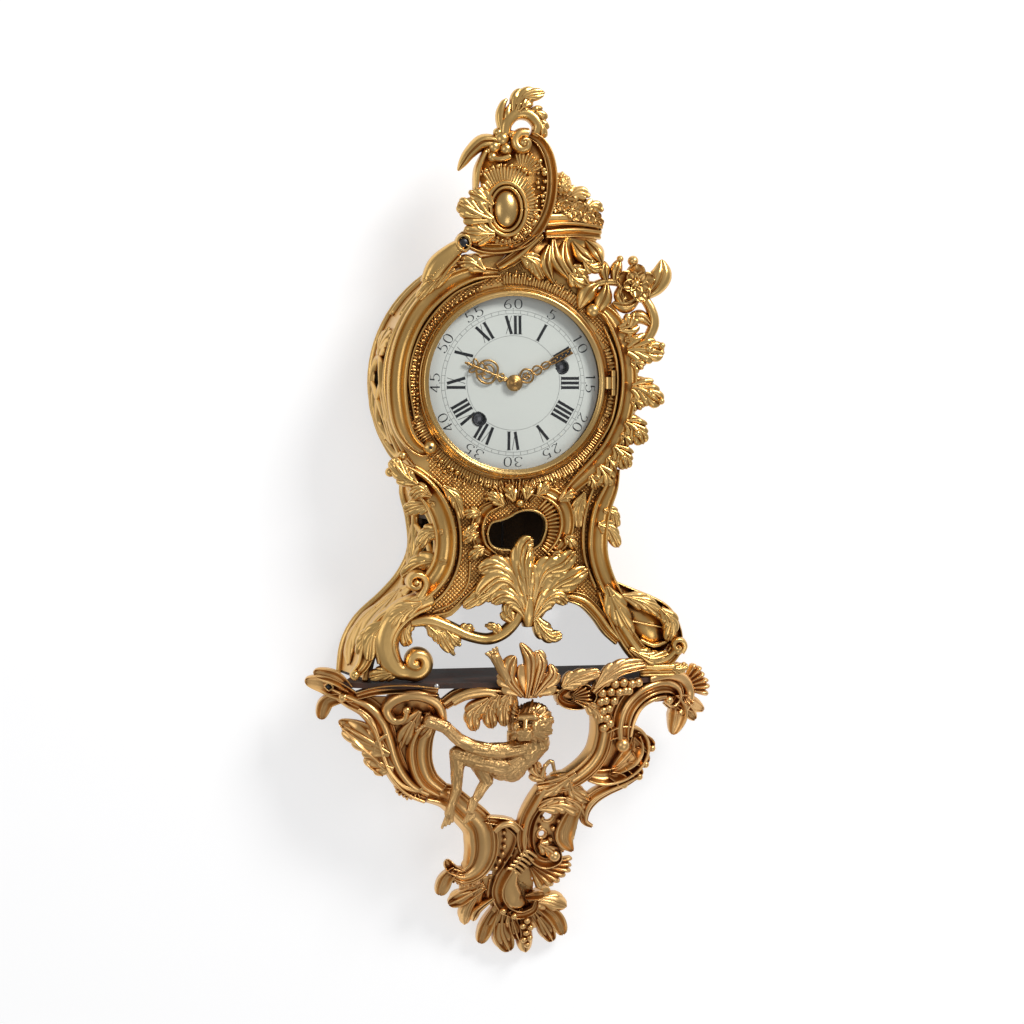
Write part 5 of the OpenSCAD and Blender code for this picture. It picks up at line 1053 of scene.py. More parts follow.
def crest():
    c = Casting("crest_shell", "case", "crest", origin=CREST)
    c.field(CREST_FIELD, -3, 5.5)
    c.field(CREST_BACK, -8, -1)
    c.strap(CREST_RING, COVE, 10)
    c.strap(volute(9, 140, (10.5, 2.5), 60, 420, 9, (6.5, -0.45), (1.05, 0.05)), TONGUE, 6)
    c.berry(9, 140, 8, 6, 8, 18)
    c.strap([[28, 50, 0, 4, 0.9], [14, 38, 0, 6, 1], [0, 27, 0, 7, 1], [-16, 17, 0, 5, 0.9]], STEPPED)
    c.strap([[-28, 132, -1, 3, 0.9], [-36, 114, -1, 4, 1], [-38, 94, -1, 3, 0.9]], ROLL)
    c.fan(*STONE, -30, 60, 19, 35, 4.5, 0.24, 14, 0.1, 1.15)
    c.fan(-8, 78, 56, 128, 19, 44, 4.5, 0.26, 13, 0.1, 1.0)
    c.fan(*STONE, 126, 300, 19, 33, 4.5, 0.18, 20, 0.05, 1.15)
    c.fan(*STONE, 296, 334, 19, 34, 4.5, 0.22, 8, 0.1, 1.15)
    for k in range(9):
        a = math.radians(54 + 9.5 * k)
        c.berry(-8 + 40 * math.cos(a), 78 + 40 * math.sin(a), 5.8, 2.0 + 0.9 * (k % 2), 3.2, 14)
    c.strap([[-26, 126, 3, 2.4, 0.5], [-14, 124, 4, 3, 0.6], [-4, 127]], TONGUE, 6)
    c.fan(8, 108, 20, 110, 8, 25, 4.5, 0.24, 9, 0.1)
    c.beads([[24, 130, 6], [30, 112], [30, 90], [25, 70], [16, 56], [0, 47], [-18, 46, 5]], 2.5, 5.0, 0.9)
    c.beads([[22, 122, 6], [24, 104], [23, 86], [18, 66], [8, 55]], 1.8, 5.0, 0.9)
    c.strap(oval(20, 26, 4.5, 2.6, 0.55), ROLL, 3)
    c.strap(oval(15.5, 21.5, 4.5, 2.0, 0.42), ROLL, 3)
    for leaf, fingers in CREST_LEAVES:
        c.leaf(leaf, fingers)
    c.strap([[-86, 0, 0, 8, 0.7], [-76, 18, 0, 11, 0.9], [-62, 32, 0, 9, 0.9],
             [-51, 41, 0, 6, 0.8]], TONGUE, 10)
    c.strap([[-80, -4, 0, 2, 0.8], [-67, 14, 0, 2.4, 1], [-54, 28, 0, 2, 0.9]], ROLL, 10)
    for k in range(14):
        t = k / 13
        x, z = -92 + 32 * t, 6 + 33 * t ** 0.9
        c.strap([[x, z, 1, 0.8, 0.45], [x + 3, z - 2, 5, 0.9, 0.4],
                 [x + 6, z - 4, 7.5, 0.7, 0.3]], THREAD, 3)
    c.strap([[-51 + 6.5 * a, 41 + 7.5 * b, 2, 2.2, 0.8] for a, b in circle(12)], ROLL, 3)
    c.fan(0, -4, 62, 104, 14, 33, 0, 0.5, 12, 0.1)
    c.build(clock_gilt)
    # Black dot in the eye of the roll: painted shade.
    dark = Casting("crest_roll_eye_shade", "case", origin=CREST)
    dark.berry(-51, 41, 9.2, 4.6, 1.6, 18)
    dark.build(ink, None)
    stone = Casting("cabochon", "case", "crest_cabochon", origin=CREST)
    rows = []
    for i in range(17):
        a = math.pi / 2 * i / 16
        r, up = math.sin(a), 4.5 + 8.4 * math.cos(a)
        rows.append([(STONE[0] + 13 * r * x, STONE[1] + 19 * r * z, up) for x, z in circle(40)])
    stone.grid(rows)
    stone.build(bezel_gilt)


FINIAL_LEAVES = [
    [[4, 170, 2, 6, 0.8], [11, 178, 4, 7, 0.8], [18, 185, 5, 2, 0.4]],
    [[14, 170, 1, 6, 0.7], [25, 168, 2, 8, 0.8], [31, 160, 4, 2, 0.4]],
    [[24, 164, 1, 6, 0.7], [28, 154, 2, 7, 0.8], [26, 144, 4, 2, 0.4]],
]
# x, z and radius.
FINIAL_BERRIES = [
    (-12, 144, 8), (-20, 136, 7), (-8, 134, 7), (-22, 126, 6), (-2, 148, 5), (-16, 150, 5), (-26, 132, 4),
]


def finial():
    c = Casting("finial_leaves", "case", "crest_finial", origin=CREST)
    c.strap([[-9, 148, 0, 6, 0.8], [-7, 160, 0, 6.5, 0.9], [3, 169], [16, 168], [24, 158, 0, 6, 0.9],
             [21, 147, 0, 5, 0.8]], TONGUE, 10)
    c.strap([[-12, 150, 1, 3, 0.6], [-14, 166, 2, 4.5, 0.6], [-11, 178, 3, 3.5, 0.5],
             [-7, 183, 4, 1.4, 0.3]], TONGUE, 8)
    c.strap([[-8, 152, 1, 3, 0.6], [-7, 168, 3, 4, 0.6], [-4, 178, 4, 1.4, 0.3]], TONGUE, 8)
    c.leaf([[0, 166, 1, 7, 0.7], [4, 178, 2, 10, 0.8], [11, 186, 4, 8, 0.7], [21, 188, 6, 5, 0.5],
            [31, 190, 7, 1.4, 0.3]], 3, 1)
    for leaf in FINIAL_LEAVES:
        c.leaf(leaf, 2, 1)
    c.strap([[-14, 140, 0, 7, 0.8], [-30, 141, 0, 8, 0.85], [-43, 131, 2, 6.5, 0.7],
             [-51, 120, 3, 4.5, 0.5], [-56, 112, 4, 1.2, 0.3]], LEAFLET, 10)
    for x, z, r in FINIAL_BERRIES:
        c.berry(x, z, 4, r, r, 16)
    c.build(clock_gilt)


# x, z, up and radius.
LEDGE_FLOWERS = [
    (45, 80, -4, 12), (60, 76, -8, 13), (74, 71, -13, 12), (86, 66, -19, 10), (56, 90, -9, 9),
    (68, 84, -12, 9),
]
# Root, middle and tip of each leaf.
LEDGE_BLADES = [
    ((40, 46), (42, 26), (56, 6)), ((60, 44), (70, 30), (84, 22)), ((52, 44), (52, 24), (66, 4)),
    ((74, 46), (84, 34), (90, 20)), ((36, 40), (32, 22), (40, 2)),
]
LEDGE_LEAVES = [
    ((60, 20), (66, 14), (76, 8)), ((56, 12), (64, 4), (78, 0)), ((70, 26), (80, 18), (92, 20)),
]


def ledge():
    c = Casting("ledge_flowers", "case", "crest_ledge", origin=CREST)
    c.strap([[32, 52, -4, 6, 1], [52, 54, -10, 7, 1], [72, 55, -18, 7, 1],
             [94, 54, -28, 6, 0.9]], STEPPED)
    c.strap([[32, 60, -4, 2.5, 1.1], [52, 62, -10, 2.5, 1.1], [72, 62, -18, 2.5, 1.1],
             [95, 60, -28, 2.5, 1]], ROLL)
    c.strap([[34, 42, -8, 6, 0.7], [54, 43, -14, 6, 0.7], [74, 44, -22, 6, 0.7],
             [90, 44, -30, 5, 0.6]], COVE)
    c.strap([[34, 67, -5, 7, 0.8], [54, 68, -11, 7, 0.8], [74, 67, -19, 7, 0.8],
             [93, 64, -29, 5, 0.7]], ROLL)
    c.berry(48, 101, -4, 12, 12, 20)
    for _ in range(46):
        a, b = random.uniform(0, 6.28), random.uniform(0.1, 1.3)
        x, z = 48 + 11 * math.sin(b) * math.cos(a), 101 + 11 * math.sin(b) * math.sin(a)
        c.berry(x, z, -4 + 11 * math.cos(b), 2.4, wide=8)
    for k, (x, z, up, r) in enumerate(LEDGE_FLOWERS):
        c.flower(x, z, up, r, 5, 20 * k)
    c.leaf([[52, 84, -10, 4, 0.5], [66, 93, -10, 7, 0.6], [80, 90, -8, 2, 0.3]], 2)
    c.leaf([[72, 74, -14, 4, 0.5], [84, 81, -16, 6, 0.6], [95, 76, -16, 2, 0.3]], 2)
    for root, mid, tip in LEDGE_BLADES:
        deep = -3 - 0.2 * (root[0] - 40)
        c.strap([[*root, deep, 3, 0.8], [*mid, deep * 0.5 + 1, 9, 1.0], [*tip, 2, 1.2, 0.5]], LEAFLET, 10)
    for root, mid, tip in LEDGE_LEAVES:
        c.leaf([[*root, 1, 4, 0.7], [*mid, 2, 6, 0.8], [*tip, 3, 1.2, 0.4]], 2)
    c.build(clock_gilt)


WAIST_LEAVES = [
    [[-84, 186, 2, 4, 0.9], [-96, 192, 4, 8, 1.0], [-104, 184, 5, 2, 0.6]],
    [[-98, 198, 2, 6, 0.9], [-112, 208, 3, 9, 0.9], [-123, 224, 4, 3, 0.5]],
    [[-80, 178, 0, 6, 0.6], [-96, 176, -4, 9, 0.6], [-110, 170, -8, 2, 0.4]],
    [[-68, 120, 0, 6, 0.6], [-92, 118, -6, 9, 0.6], [-112, 104, -12, 2, 0.4]],
    [[86, 156, 0, 6, 0.6], [98, 150, 0, 8, 0.6], [108, 132, 0, 2, 0.4]],
    [[92, 170, 0, 5, 0.6], [102, 166, 0, 6, 0.6], [106, 152, 0, 2, 0.4]],
    [[-72, 150, 0, 6, 0.6], [-86, 148, -4, 8, 0.6], [-96, 134, -6, 2, 0.4]],
    [[-72, 196, 1, 4, 0.6], [-60, 184, 2, 6, 0.7], [-52, 162, 3, 1.5, 0.4]],
    [[72, 188, 1, 4, 0.6], [66, 172, 2, 6, 0.7], [66, 152, 3, 1.5, 0.4]],
    [[-50, 138, 1, 3, 0.5], [-46, 150, 2, 4, 0.6], [-36, 158, 3, 1.5, 0.4]],
]


def waist():
    c = Casting("waist_mouldings", "case", "waist_scrolls")
    c.strap([[-124, 216, 0, 5, 0.7], [-108, 208, 0, 9, 0.9], [-90, 194, 0, 10.5, 1.1],
             [-76, 173, 0, 11, 1.15], [-69, 148], [-71, 122], [-80, 104, 0, 11, 1.1],
             [-96, 88, 0, 10, 1]], COVE, 12)
    c.strap([[104, 212, 0, 5, 0.7], [99, 193, 0, 8, 0.9], [90, 172, 0, 10, 1.1], [86, 150, 0, 10.5, 1.15],
             [86, 126], [93, 102, 0, 10, 1.1], [104, 82, 0, 9, 1]], EVOC, 12)
    c.strap([[-100, 216, 0, 2, 0.5], [-76, 198, 0, 2.4, 0.6], [-59, 172], [-54, 146], [-56, 118],
             [-68, 92], [-88, 74, 0, 2.2, 0.5]], ROLL, 12)
    c.strap([[86, 204, 0, 2, 0.5], [75, 174, 0, 2.4, 0.6], [71, 148], [73, 120],
             [84, 92, 0, 2.2, 0.5]], ROLL, 12)
    c.strap([[-88, 66, 0, 1.6, 0.4], [-66, 70], [-50, 84], [-36, 96, 0, 1.4, 0.4]], ROLL, 8)
    c.strap([[-44, 120, 0, 1.4, 0.35], [-46, 98], [-60, 80], [-82, 70]], ROLL, 8)
    for leaf in WAIST_LEAVES:
        c.leaf(leaf, 3)
    c.strap([[44, 83, 0, 4, 0.7], [58, 83, 0, 6, 0.85], [72, 78, 0, 7, 0.9], [85, 65], [96, 50],
             [108, 38, 0, 6, 0.8]], STEPPED, 10)
    turn = volute(-99, 100, (10, 2.5), -20, 420, 9, (5.5, -0.35), (1.0, 0.05))
    c.strap([[-96, 84, 0, 6, 0.9]] + turn, ROLL, 6)
    c.berry(-99, 100, 8, 4.5, 7, 16)
    c.berry(-118, 218, 4, 7, 7)
    c.berry(-112, 226, 3, 5, 5)
    c.berry(-124, 210, 2, 5, 5)
    c.build(clock_gilt)


WINDOW = [(-26, 148), (-22, 158), (-12, 161), (-4, 164), (3, 168), (11, 170), (21, 169), (29, 164),
          (32, 156), (30, 146), (24, 136), (10, 131), (-4, 132), (-18, 134), (-24, 140), (-26, 148)]
WINDOW_Z = 150
PLATE_RIM = [(-90, 232), (-84, 200), (-82, 192), (-71, 160), (-69, 128), (-79, 102), (-98, 82), (-98, 65),
             (-80, 62), (-63, 67), (-51, 79), (-42, 85), (-26, 93), (-6, 89), (5, 73), (12, 58), (26, 59),
             (34, 69), (46, 79), (58, 79), (70, 76), (82, 63), (93, 48), (104, 41), (108, 70), (92, 98),
             (82, 128), (83, 160), (90, 192), (91, 232)]
BODY_R = 112


def round_window(across, along):
    """Outline of the pendulum window, widened by two factors."""
    return [(x * across, WINDOW_Z + (z - WINDOW_Z) * along) for x, z in WINDOW]


def plate_ground():
    """Lozenges over the front plate, clear of the dial and the pendulum window."""
    c = Casting("plate_lozenges", "case")
    pane = round_window(1.06, 1.08)

    def shows(x, z):
        r = math.hypot(x, SHELF_Z + z - DIAL_Z)
        return r > BEZEL_R + 1 and (r < BODY_R or inside(x, z, PLATE_RIM)) and not inside(x, z, pane)

    c.lozenges(shows, (-BODY_R, BODY_R), (40, DIAL_Z - SHELF_Z + BODY_R))
    c.build(plate_gilt)


# Root and tip of each leaf.
WINDOW_LEAVES = [
    (-10, 176, -28, 188), (0, 180, -8, 197), (12, 182, 16, 198), (24, 186, 38, 198), (-34, 168, -52, 166),
    (-36, 148, -52, 140), (-30, 134, -46, 122), (52, 144, 64, 130), (46, 180, 64, 188),
    (40, 128, 52, 116),
]


def window_frame():
    c = Casting("window_rocaille", "case", "window_frame")
    c.strap([[16, 190, 0, 4, 0.6], [36, 187, 0, 7, 0.9], [50, 175, 0, 8, 1], [54, 156],
             [48, 138, 0, 7, 0.9], [36, 126, 0, 4, 0.6]], EVOC, 12)
    c.strap([[-12, 179, 0, 4, 0.6], [-30, 171, 0, 6, 0.9], [-37, 154, 0, 7, 0.9], [-33, 136, 0, 6, 0.9],
             [-18, 125, 0, 3, 0.6]], COVE, 12)
    c.strap([[*p, 0, 1.8, 0.6] for p in round_window(1.04, 1.06)], ROLL, 5)
    c.fan(8, 152, -46, 52, 27, 44, 0, 0.7, 15, 0.1)
    c.fan(2, 158, 62, 128, 20, 42, 0, 0.75, 13, 0.14)
    c.fan(4, 166, 40, 150, 18, 40, 0, 0.5, 18, 0.16)
    for x, z, tx, tz in WINDOW_LEAVES:
        c.leaf([[x, z, 1, 4, 0.6], [(x + tx) / 2, (z + tz) / 2 + 2, 2, 6, 0.75],
                [tx, tz, 3, 1.5, 0.4]], 2)
    c.berry(6, 178, 4, 5, 7, 16)
    c.beads([[-34, 178, 3], [-16, 186], [4, 192], [24, 196], [44, 192]], 2.0, 6.0, 0.8)
    c.build(clock_gilt)


ACANTHUS = [
    [[14, 58, 0, 9, 0.9], [13, 88, 0, 14, 1.1], [8, 116, 2, 12, 1.05], [10, 136, 5, 8, 0.9],
     [19, 142, 8, 2, 0.5]],
    [[10, 66, 0, 8, 0.9], [0, 94, 0, 13, 1], [-18, 102, 2, 12, 0.95], [-40, 82, 5, 2, 0.4]],
    [[10, 78, 0, 7, 0.9], [-6, 108, 0, 11, 1], [-22, 116, 2, 9, 0.9], [-37, 110, 4, 2, 0.4]],
    [[12, 62, 1, 6, 0.9], [2, 80, 2, 9, 1.05], [-12, 86, 3, 8, 0.95], [-24, 78, 5, 2, 0.4]],
    [[18, 70, 0, 8, 0.9], [30, 106, 0, 12, 1], [48, 116, 2, 10, 0.95], [62, 130, 5, 2, 0.4]],
    [[20, 64, 0, 8, 0.9], [40, 92, 0, 13, 1], [58, 102, 2, 10, 0.95], [76, 112, 4, 2, 0.4]],
    [[18, 60, 1, 6, 0.9], [32, 80, 2, 9, 1.05], [44, 84, 3, 7, 0.9], [54, 76, 5, 2, 0.4]],
    [[20, 66, 0, 6, 0.8], [28, 52, 2, 8, 0.95], [38, 44, 3, 6, 0.85], [49, 46, 5, 2, 0.4]],
    [[-6, 88, 0, 5, 0.7], [-24, 90, 1, 8, 0.8], [-40, 82, 2, 6, 0.6], [-52, 74, 3, 1.5, 0.4]],
    [[14, 70, 2, 5, 1.0], [12, 96, 3, 7, 1.15], [10, 120, 5, 6, 1.1], [14, 134, 7, 1.5, 0.6]],
]
TENDRIL_LEAVES = [
    [[-80, 58, 0, 5, 0.7], [-72, 44, 2, 7, 0.7], [-60, 26, 4, 1.5, 0.3]],
    [[-88, 58, 1, 4, 0.7], [-78, 48, 3, 6, 0.7], [-76, 38, 5, 1.5, 0.3]],
    [[-70, 54, 1, 4, 0.7], [-62, 44, 3, 6, 0.7], [-54, 36, 5, 1.5, 0.3]],
    [[-56, 50, 1, 3, 0.6], [-48, 54, 3, 4, 0.6], [-40, 52, 4, 1.5, 0.3]],
    [[0, 58, 1, 5, 0.7], [-7, 70, 3, 6, 0.8], [-2, 84, 4, 1.5, 0.4]],
    [[-14, 46, 1, 4, 0.7], [-20, 54, 3, 4, 0.7], [-30, 56, 4, 1.5, 0.4]],
]


def apron():
    c = Casting("apron_leaf", "case", "apron_acanthus")
    for blade in ACANTHUS:
        c.leaf(blade, 3, 3.5)
    c.strap([[14, 54, 0, 5, 0.9], [14, 66, 1, 7, 1.1], [15, 84, 1, 5, 1.1]], TONGUE)
    c.strap([[-104, 60, 0, 5, 0.8], [-86, 62, 0, 7, 0.9], [-66, 55, 0, 6.5, 0.9], [-46, 46, 0, 6, 0.9],
             [-26, 42], [-10, 48, 0, 6.5, 0.9], [2, 60, 0, 6, 0.9], [8, 74, 0, 5, 0.8]], ROLL, 10)
    for leaf in TENDRIL_LEAVES:
        c.leaf(leaf, 2)
    c.build(clock_gilt)


LEFT_FOOT_LEAVES = [
    [[-98, 66, 0, 5, 0.6], [-110, 52, 0, 7, 0.6], [-106, 36, 0, 3, 0.5]],
    [[-94, 80, 4, 6, 0.8], [-116, 68, 6, 9, 0.8], [-128, 46, 6, 2, 0.4]],
    [[-128, 64, 3, 5, 0.6], [-143, 46, 4, 8, 0.6], [-146, 22, 5, 2, 0.4]],
    [[-136, 56, 0, 4, 0.6], [-150, 44, 0, 6, 0.6], [-156, 28, 0, 2, 0.4]],
    [[-112, 12, 0, 6, 0.8], [-130, 10, 0, 8, 0.8], [-146, 6, 0, 2, 0.4]],
]
RIGHT_FOOT_LEAVES = [
    [[94, 94, 3, 6, 0.8], [106, 68, 5, 10, 0.9], [122, 42, 6, 2, 0.4]],
    [[150, 70, 3, 5, 0.7], [161, 55, 4, 8, 0.8], [158, 36, 5, 2, 0.4]],
    [[160, 10, 0, 6, 0.8], [172, 8, 0, 6, 0.7], [180, 12, 2, 1.5, 0.4]],
    [[118, 30, 4, 5, 0.7], [140, 20, 5, 7, 0.8], [160, 24, 6, 2, 0.4]],
    [[110, 84, 2, 5, 0.7], [134, 76, 4, 7, 0.8], [154, 62, 5, 2, 0.4]],
]


def feet():
    left = Casting("left_foot_scroll", "case", "left_foot")
    turn = volute(-99, 21, (12.5, 3), 230, 430, 10, (9.5, -0.5), (1.05, 0.06))
    left.strap([[-82, 84, 0, 8, 0.9], [-104, 76, 0, 12, 1], [-121, 62, 0, 14, 1.05], [-129, 43],
                [-125, 24, 0, 12, 1.05], [-116, 13, 0, 9.5, 1.05]] + turn, ROLL, 8)
    left.strap([[-84, 76, 6, 2, 0.5], [-102, 68, 7, 2.4, 0.55], [-116, 55], [-122, 38],
                [-117, 22, 7, 2, 0.5]], THREAD, 8)
    left.strap([[-88, 90, 3, 2, 0.5], [-110, 82, 3, 2.4, 0.6], [-130, 66], [-139, 44],
                [-136, 20, 3, 2, 0.5]], THREAD, 8)
    left.strap([[-104, 76, -2, 7, 0.8], [-130, 62, -2, 9, 0.8], [-144, 40], [-151, 20, -2, 7, 0.8],
                [-160, 9, -2, 5, 0.7]], EVOC, 10)
    left.berry(-100, 20, 9, 4.5, 8, 18)
    for leaf in LEFT_FOOT_LEAVES:
        left.leaf(leaf, 3, 1)
    left.berry(-160, 9, 4, 5.5, 6)
    left.build(clock_gilt)
    right = Casting("right_foot_scroll", "case", "right_foot")
    right.strap([[92, 90, 0, 8, 0.9], [102, 66, 0, 9, 1], [114, 44, 0, 10, 1.05], [128, 25],
                 [144, 15, 0, 9, 1], [158, 18, 0, 8, 1], [168, 28, 0, 6, 1]], STEPPED, 10)
    right.strap([[98, 94, -4, 7, 0.9], [116, 85, -4, 8, 1], [138, 75, -4, 9, 1.05], [155, 65],
                 [165, 50, -4, 8, 1], [168, 34, -4, 7, 1], [160, 20, -4, 5, 0.9]], EVOC, 10)
    right.field([(102, 84), (134, 72), (156, 60), (162, 40), (152, 24), (132, 32), (114, 52)], -6, 1)
    right.strap([[118, 58, 0, 1.2, 0.3], [136, 54, 0, 1.4, 0.35], [156, 50, 0, 1.2, 0.3]], ROLL)
    right.strap([[130, 38, 0, 2.4, 0.5], [144, 32, 0, 3, 0.6], [158, 36, 0, 2.4, 0.5]], ROLL)
    right.strap(volute(168, 32, (8, 2), -60, 400, 8, (4.5, -0.25), (1.0, 0.05)), ROLL, 6)
    right.strap([[130, 9, 0, 9, 0.9], [166, 9]], STEPPED)
    for leaf in RIGHT_FOOT_LEAVES:
        right.leaf(leaf, 3, 1)
    right.berry(168, 28, 5, 7, 8, 18)
    right.build(clock_gilt)


# Case sides below the dial: x at the front, x at the back, height above the shelf.
LEFT_WAIST = [[-80, -100, 186], [-69, -94, 160], [-67, -92, 128], [-77, -103, 102], [-99, -122, 80],
              [-124, -148, 56], [-140, -162, 30], [-146, -166, 0]]
RIGHT_WAIST = [[88, 100, 190], [81, 94, 160], [80, 94, 128], [90, 104, 98], [108, 124, 72],
               [132, 150, 50], [150, 166, 26], [156, 170, 0]]
# Openings in each side: middle and half height above the shelf, and half width as a share of the depth.
SLOTS = [(274, 44, 0.3), (132, 40, 0.26)]
BACK_FLARE = 7


def side_box(side):
    """Lowest and highest corner of the left (-1) or right (1) case side."""
    return box_mm("case_left_side" if side < 0 else "case_right_side")


def side_line(side, share):
    """Outline of a case side in x and z above the shelf, at a share of the depth."""
    r = side_box(side)[1][2] - DIAL_Z - BACK_FLARE * (1 - share)
    arc = [[side * -r * math.cos(math.radians(a)), DIAL_Z - SHELF_Z + r * math.sin(math.radians(a))]
           for a in (90, 108, 126, 144, 162, 180, 198, 212, 222)]
    waist_part = [[a + (b - a) * share, z] for a, b, z in (LEFT_WAIST if side < 0 else RIGHT_WAIST)]
    return spline(arc + waist_part, 4)


def side_place(side):
    """Two ways onto the outside of a case side: by step along its outline, and by height."""
    low, high = side_box(side)
    deep = high[1] - low[1]
    lines = [side_line(side, 0), side_line(side, 1)]

    def by_step(depth, step, up):
        share = min(max(depth / deep, 0.0), 1.0)
        i = min(int(step), len(lines[0]) - 2)
        f = step - i
        ends = [(a[0] + (b[0] - a[0]) * f, a[1] + (b[1] - a[1]) * f, b[0] - a[0], b[1] - a[1])
                for a, b in ((line[i], line[i + 1]) for line in lines)]
        x, z, dx, dz = [a + (b - a) * share for a, b in zip(*ends)]
        size = math.hypot(dx, dz) or 1.0
        return (x - side * up * dz / size, low[1] + share * deep, SHELF_Z + z + side * up * dx / size)

    def step_at(z):
        for i, (a, b) in enumerate(zip(lines[0], lines[0][1:])):
            if b[1] <= z <= a[1] and a[1] > b[1]:
                return i + (a[1] - z) / (a[1] - b[1])
        return 0.0 if z > lines[0][0][1] else len(lines[0]) - 1.0

    def by_height(depth, z, up):
        return by_step(depth, step_at(z), up)

    return by_step, by_height, lines[0], deep


def slot_share(z):
    """Half width of the opening at a height, as a share of the depth."""
    for mid, half, w in SLOTS:
        if abs(z - mid) <= half:
            return w * math.sqrt(1 - 0.9 * ((z - mid) / half) ** 2)
    return 0.0


def side_relief(side):
    """Chased outside of a case side: skin with its two slots, framed in scrolls and leaves."""
    by_step, by_height, line, deep = side_place(side)
    c = Casting("left_side_relief" if side < 0 else "right_side_relief", "case", place=by_step)
    for k in range(2 * len(line) - 3):
        steps = (k / 2, (k + 1) / 2)
        ends = [slot_share((line[int(s)][1] + line[int(s + 0.5)][1]) / 2) for s in steps]
        spans = [(0.0, 1.0)] if min(ends) == 0 else [(0.0, 0.5), (0.5, 1.0)]
        for first, last in spans:
            rows = []
            for step, w in zip(steps, ends):
                w = 0 if len(spans) == 1 else w
                s0 = first if first == 0 else 0.5 + w
                s1 = last if last == 1 else 0.5 - w
                rows.append([(deep * (s0 + (s1 - s0) * j / 8), step, 0.5) for j in range(9)])
            c.grid(rows)
    c.place = by_height
    centre = deep * 0.5
    for mid, half, w in SLOTS:
        ring = [[centre + deep * (w + 0.05) * b, mid + (half + 5) * a, 0.3, 3, 0.5]
                for a, b in circle(20)]
        c.strap(ring, ROLL, 4)
        for z, tip in ((mid + half + 4, mid + half + 34), (mid - half - 4, mid - half - 26)):
            for lean in (-16, 0, 16):
                c.leaf([[centre, z, 0.4, 6, 0.4], [centre + 0.6 * lean, (z + tip) / 2, 0.4, 9, 0.5],
                        [centre + 1.4 * lean, tip - 0.3 * abs(lean), 1, 2, 0.3]], 2, 1)
        for s in (-deep, deep):
            c.leaf([[centre + s * 0.24, mid - half * 0.7, 0.4, 5, 0.4],
                    [centre + s * 0.4, mid, 0.4, 8, 0.5],
                    [centre + s * 0.2, mid + half * 0.8, 1, 2, 0.3]], 2, 1)
            c.strap([[centre + s * 0.3, mid + half * 0.6, 0.2, 2.5, 0.4],
                     [centre, mid + half * 0.2, 0.2, 3, 0.5],
                     [centre - s * 0.2, mid - half * 0.3, 0.2, 3, 0.5],
                     [centre, mid - half * 0.75, 0.2, 2.5, 0.4]], ROLL, 6)
    for lean in (-0.2, 0.15):
        c.leaf([[centre, 84, 0.4, 8, 0.5],
                [deep * (0.5 + lean), 56, 0.4, 12, 0.6],
                [deep * (0.5 + 1.4 * lean), 30, 0.4, 10, 0.5],
                [deep * (0.5 + lean), 10, 0.6, 2, 0.3]], 3, 1)
    c.place = by_step
    whole, arc = len(line), 14
    for depth, count in ((3, whole), (deep * 0.22, arc), (deep * 0.8, arc), (deep - 3, whole)):
        c.strap([[depth, k, 0.2, 2.6, 0.4] for k in range(count)], ROLL, 2)
    c.build(clock_gilt)


collar()
left_scroll()
right_scroll()
leaf_border()
flower_spray()
crest()
finial()
ledge()
waist()
plate_ground()
window_frame()
apron()
feet()
side_relief(-1)
side_relief(1)


# Bracket ornament.

class BracketCasting(Casting):
    """Casting on the bracket's swelling front; its paths are [x, z, half width, thickness]."""

    def __init__(self, name, *nodes):
        super().__init__(name, "bracket", *nodes)

    def strap(self, path, section=BAND, per=10, ahead=0.0):
        super().strap(on_bulge(path, ahead), section, per)

    def leaf(self, path, fingers=2, curl=2.5, ahead=0.0):
        super().leaf(on_bulge(path, ahead), fingers, curl)

    def blade(self, path, section=CUPPED, ahead=0.0):
        super().blade(on_bulge(path, ahead), section)

    def boss(self, x, z, r, ahead=-4.0):
        self.berry(x, z, bulge(x, z) + FRONT_Y + ahead, r, r * 1.1, 16)

    def cast(self):
        self.build(bracket_gilt, "bracket_bronze")


def behind(gap):
    """Front of a backing that lies gap behind the bracket's swelling front."""
    return lambda x, z: bulge(x, z) + FRONT_Y - gap


# Path of each leaf, and its fingers.
RAIL_LEAVES = [
    ([[-18, -12, 7, 12], [-26, -28, 10, 13], [-22, -48, 2, 8]], 3),
    ([[46, -6, 5, 7], [60, 2, 8, 8], [86, 9, 2, 4]], 3),
    ([[-28, -16, 6, 11], [-42, -32, 9, 11], [-40, -50, 2, 6]], 3),
    ([[-6, -10, 5, 10], [-12, -26, 8, 10], [-10, -46, 2, 6]], 3),
    ([[70, -22, 5, 9], [84, -34, 6, 9], [86, -46, 2, 6]], 2),
]


def rail():
    c = BracketCasting("rail_scrolls", "bracket_rail")
    c.strap([[-72, -22, 6, 12], [-60, -14, 7, 13], [-48, -10], [-34, -8, 6, 13], [-20, -9, 5, 13],
             [0, -10], [20, -10], [44, -10]], STEPPED, 8)
    c.strap([[-64, -19, 6, 14], [-52, -12, 7, 16], [-38, -9.5], [-26, -10, 6, 16], [-19, -16, 5, 15],
             [-24, -23, 4, 14], [-33, -21, 3, 13]], TONGUE, 8)
    ring = [(45, -14), (52, -8), (63, -6), (74, -9), (79, -17), (71, -25), (57, -26), (47, -21),
            (45, -14), (52, -8)]
    c.strap([[x, z, 4.5, 16] for x, z in ring], COVE, 6)
    c.fan(54, -18, -40, 60, 4, 24, behind(6)(62, -16), 0.8, 7, 0.08, 0.8)
    c.web([(44, -26), (80, -26), (82, -8), (46, -6)], behind(12))
    for leaf, fingers in RAIL_LEAVES:
        c.leaf(leaf, fingers, ahead=2)
    c.cast()


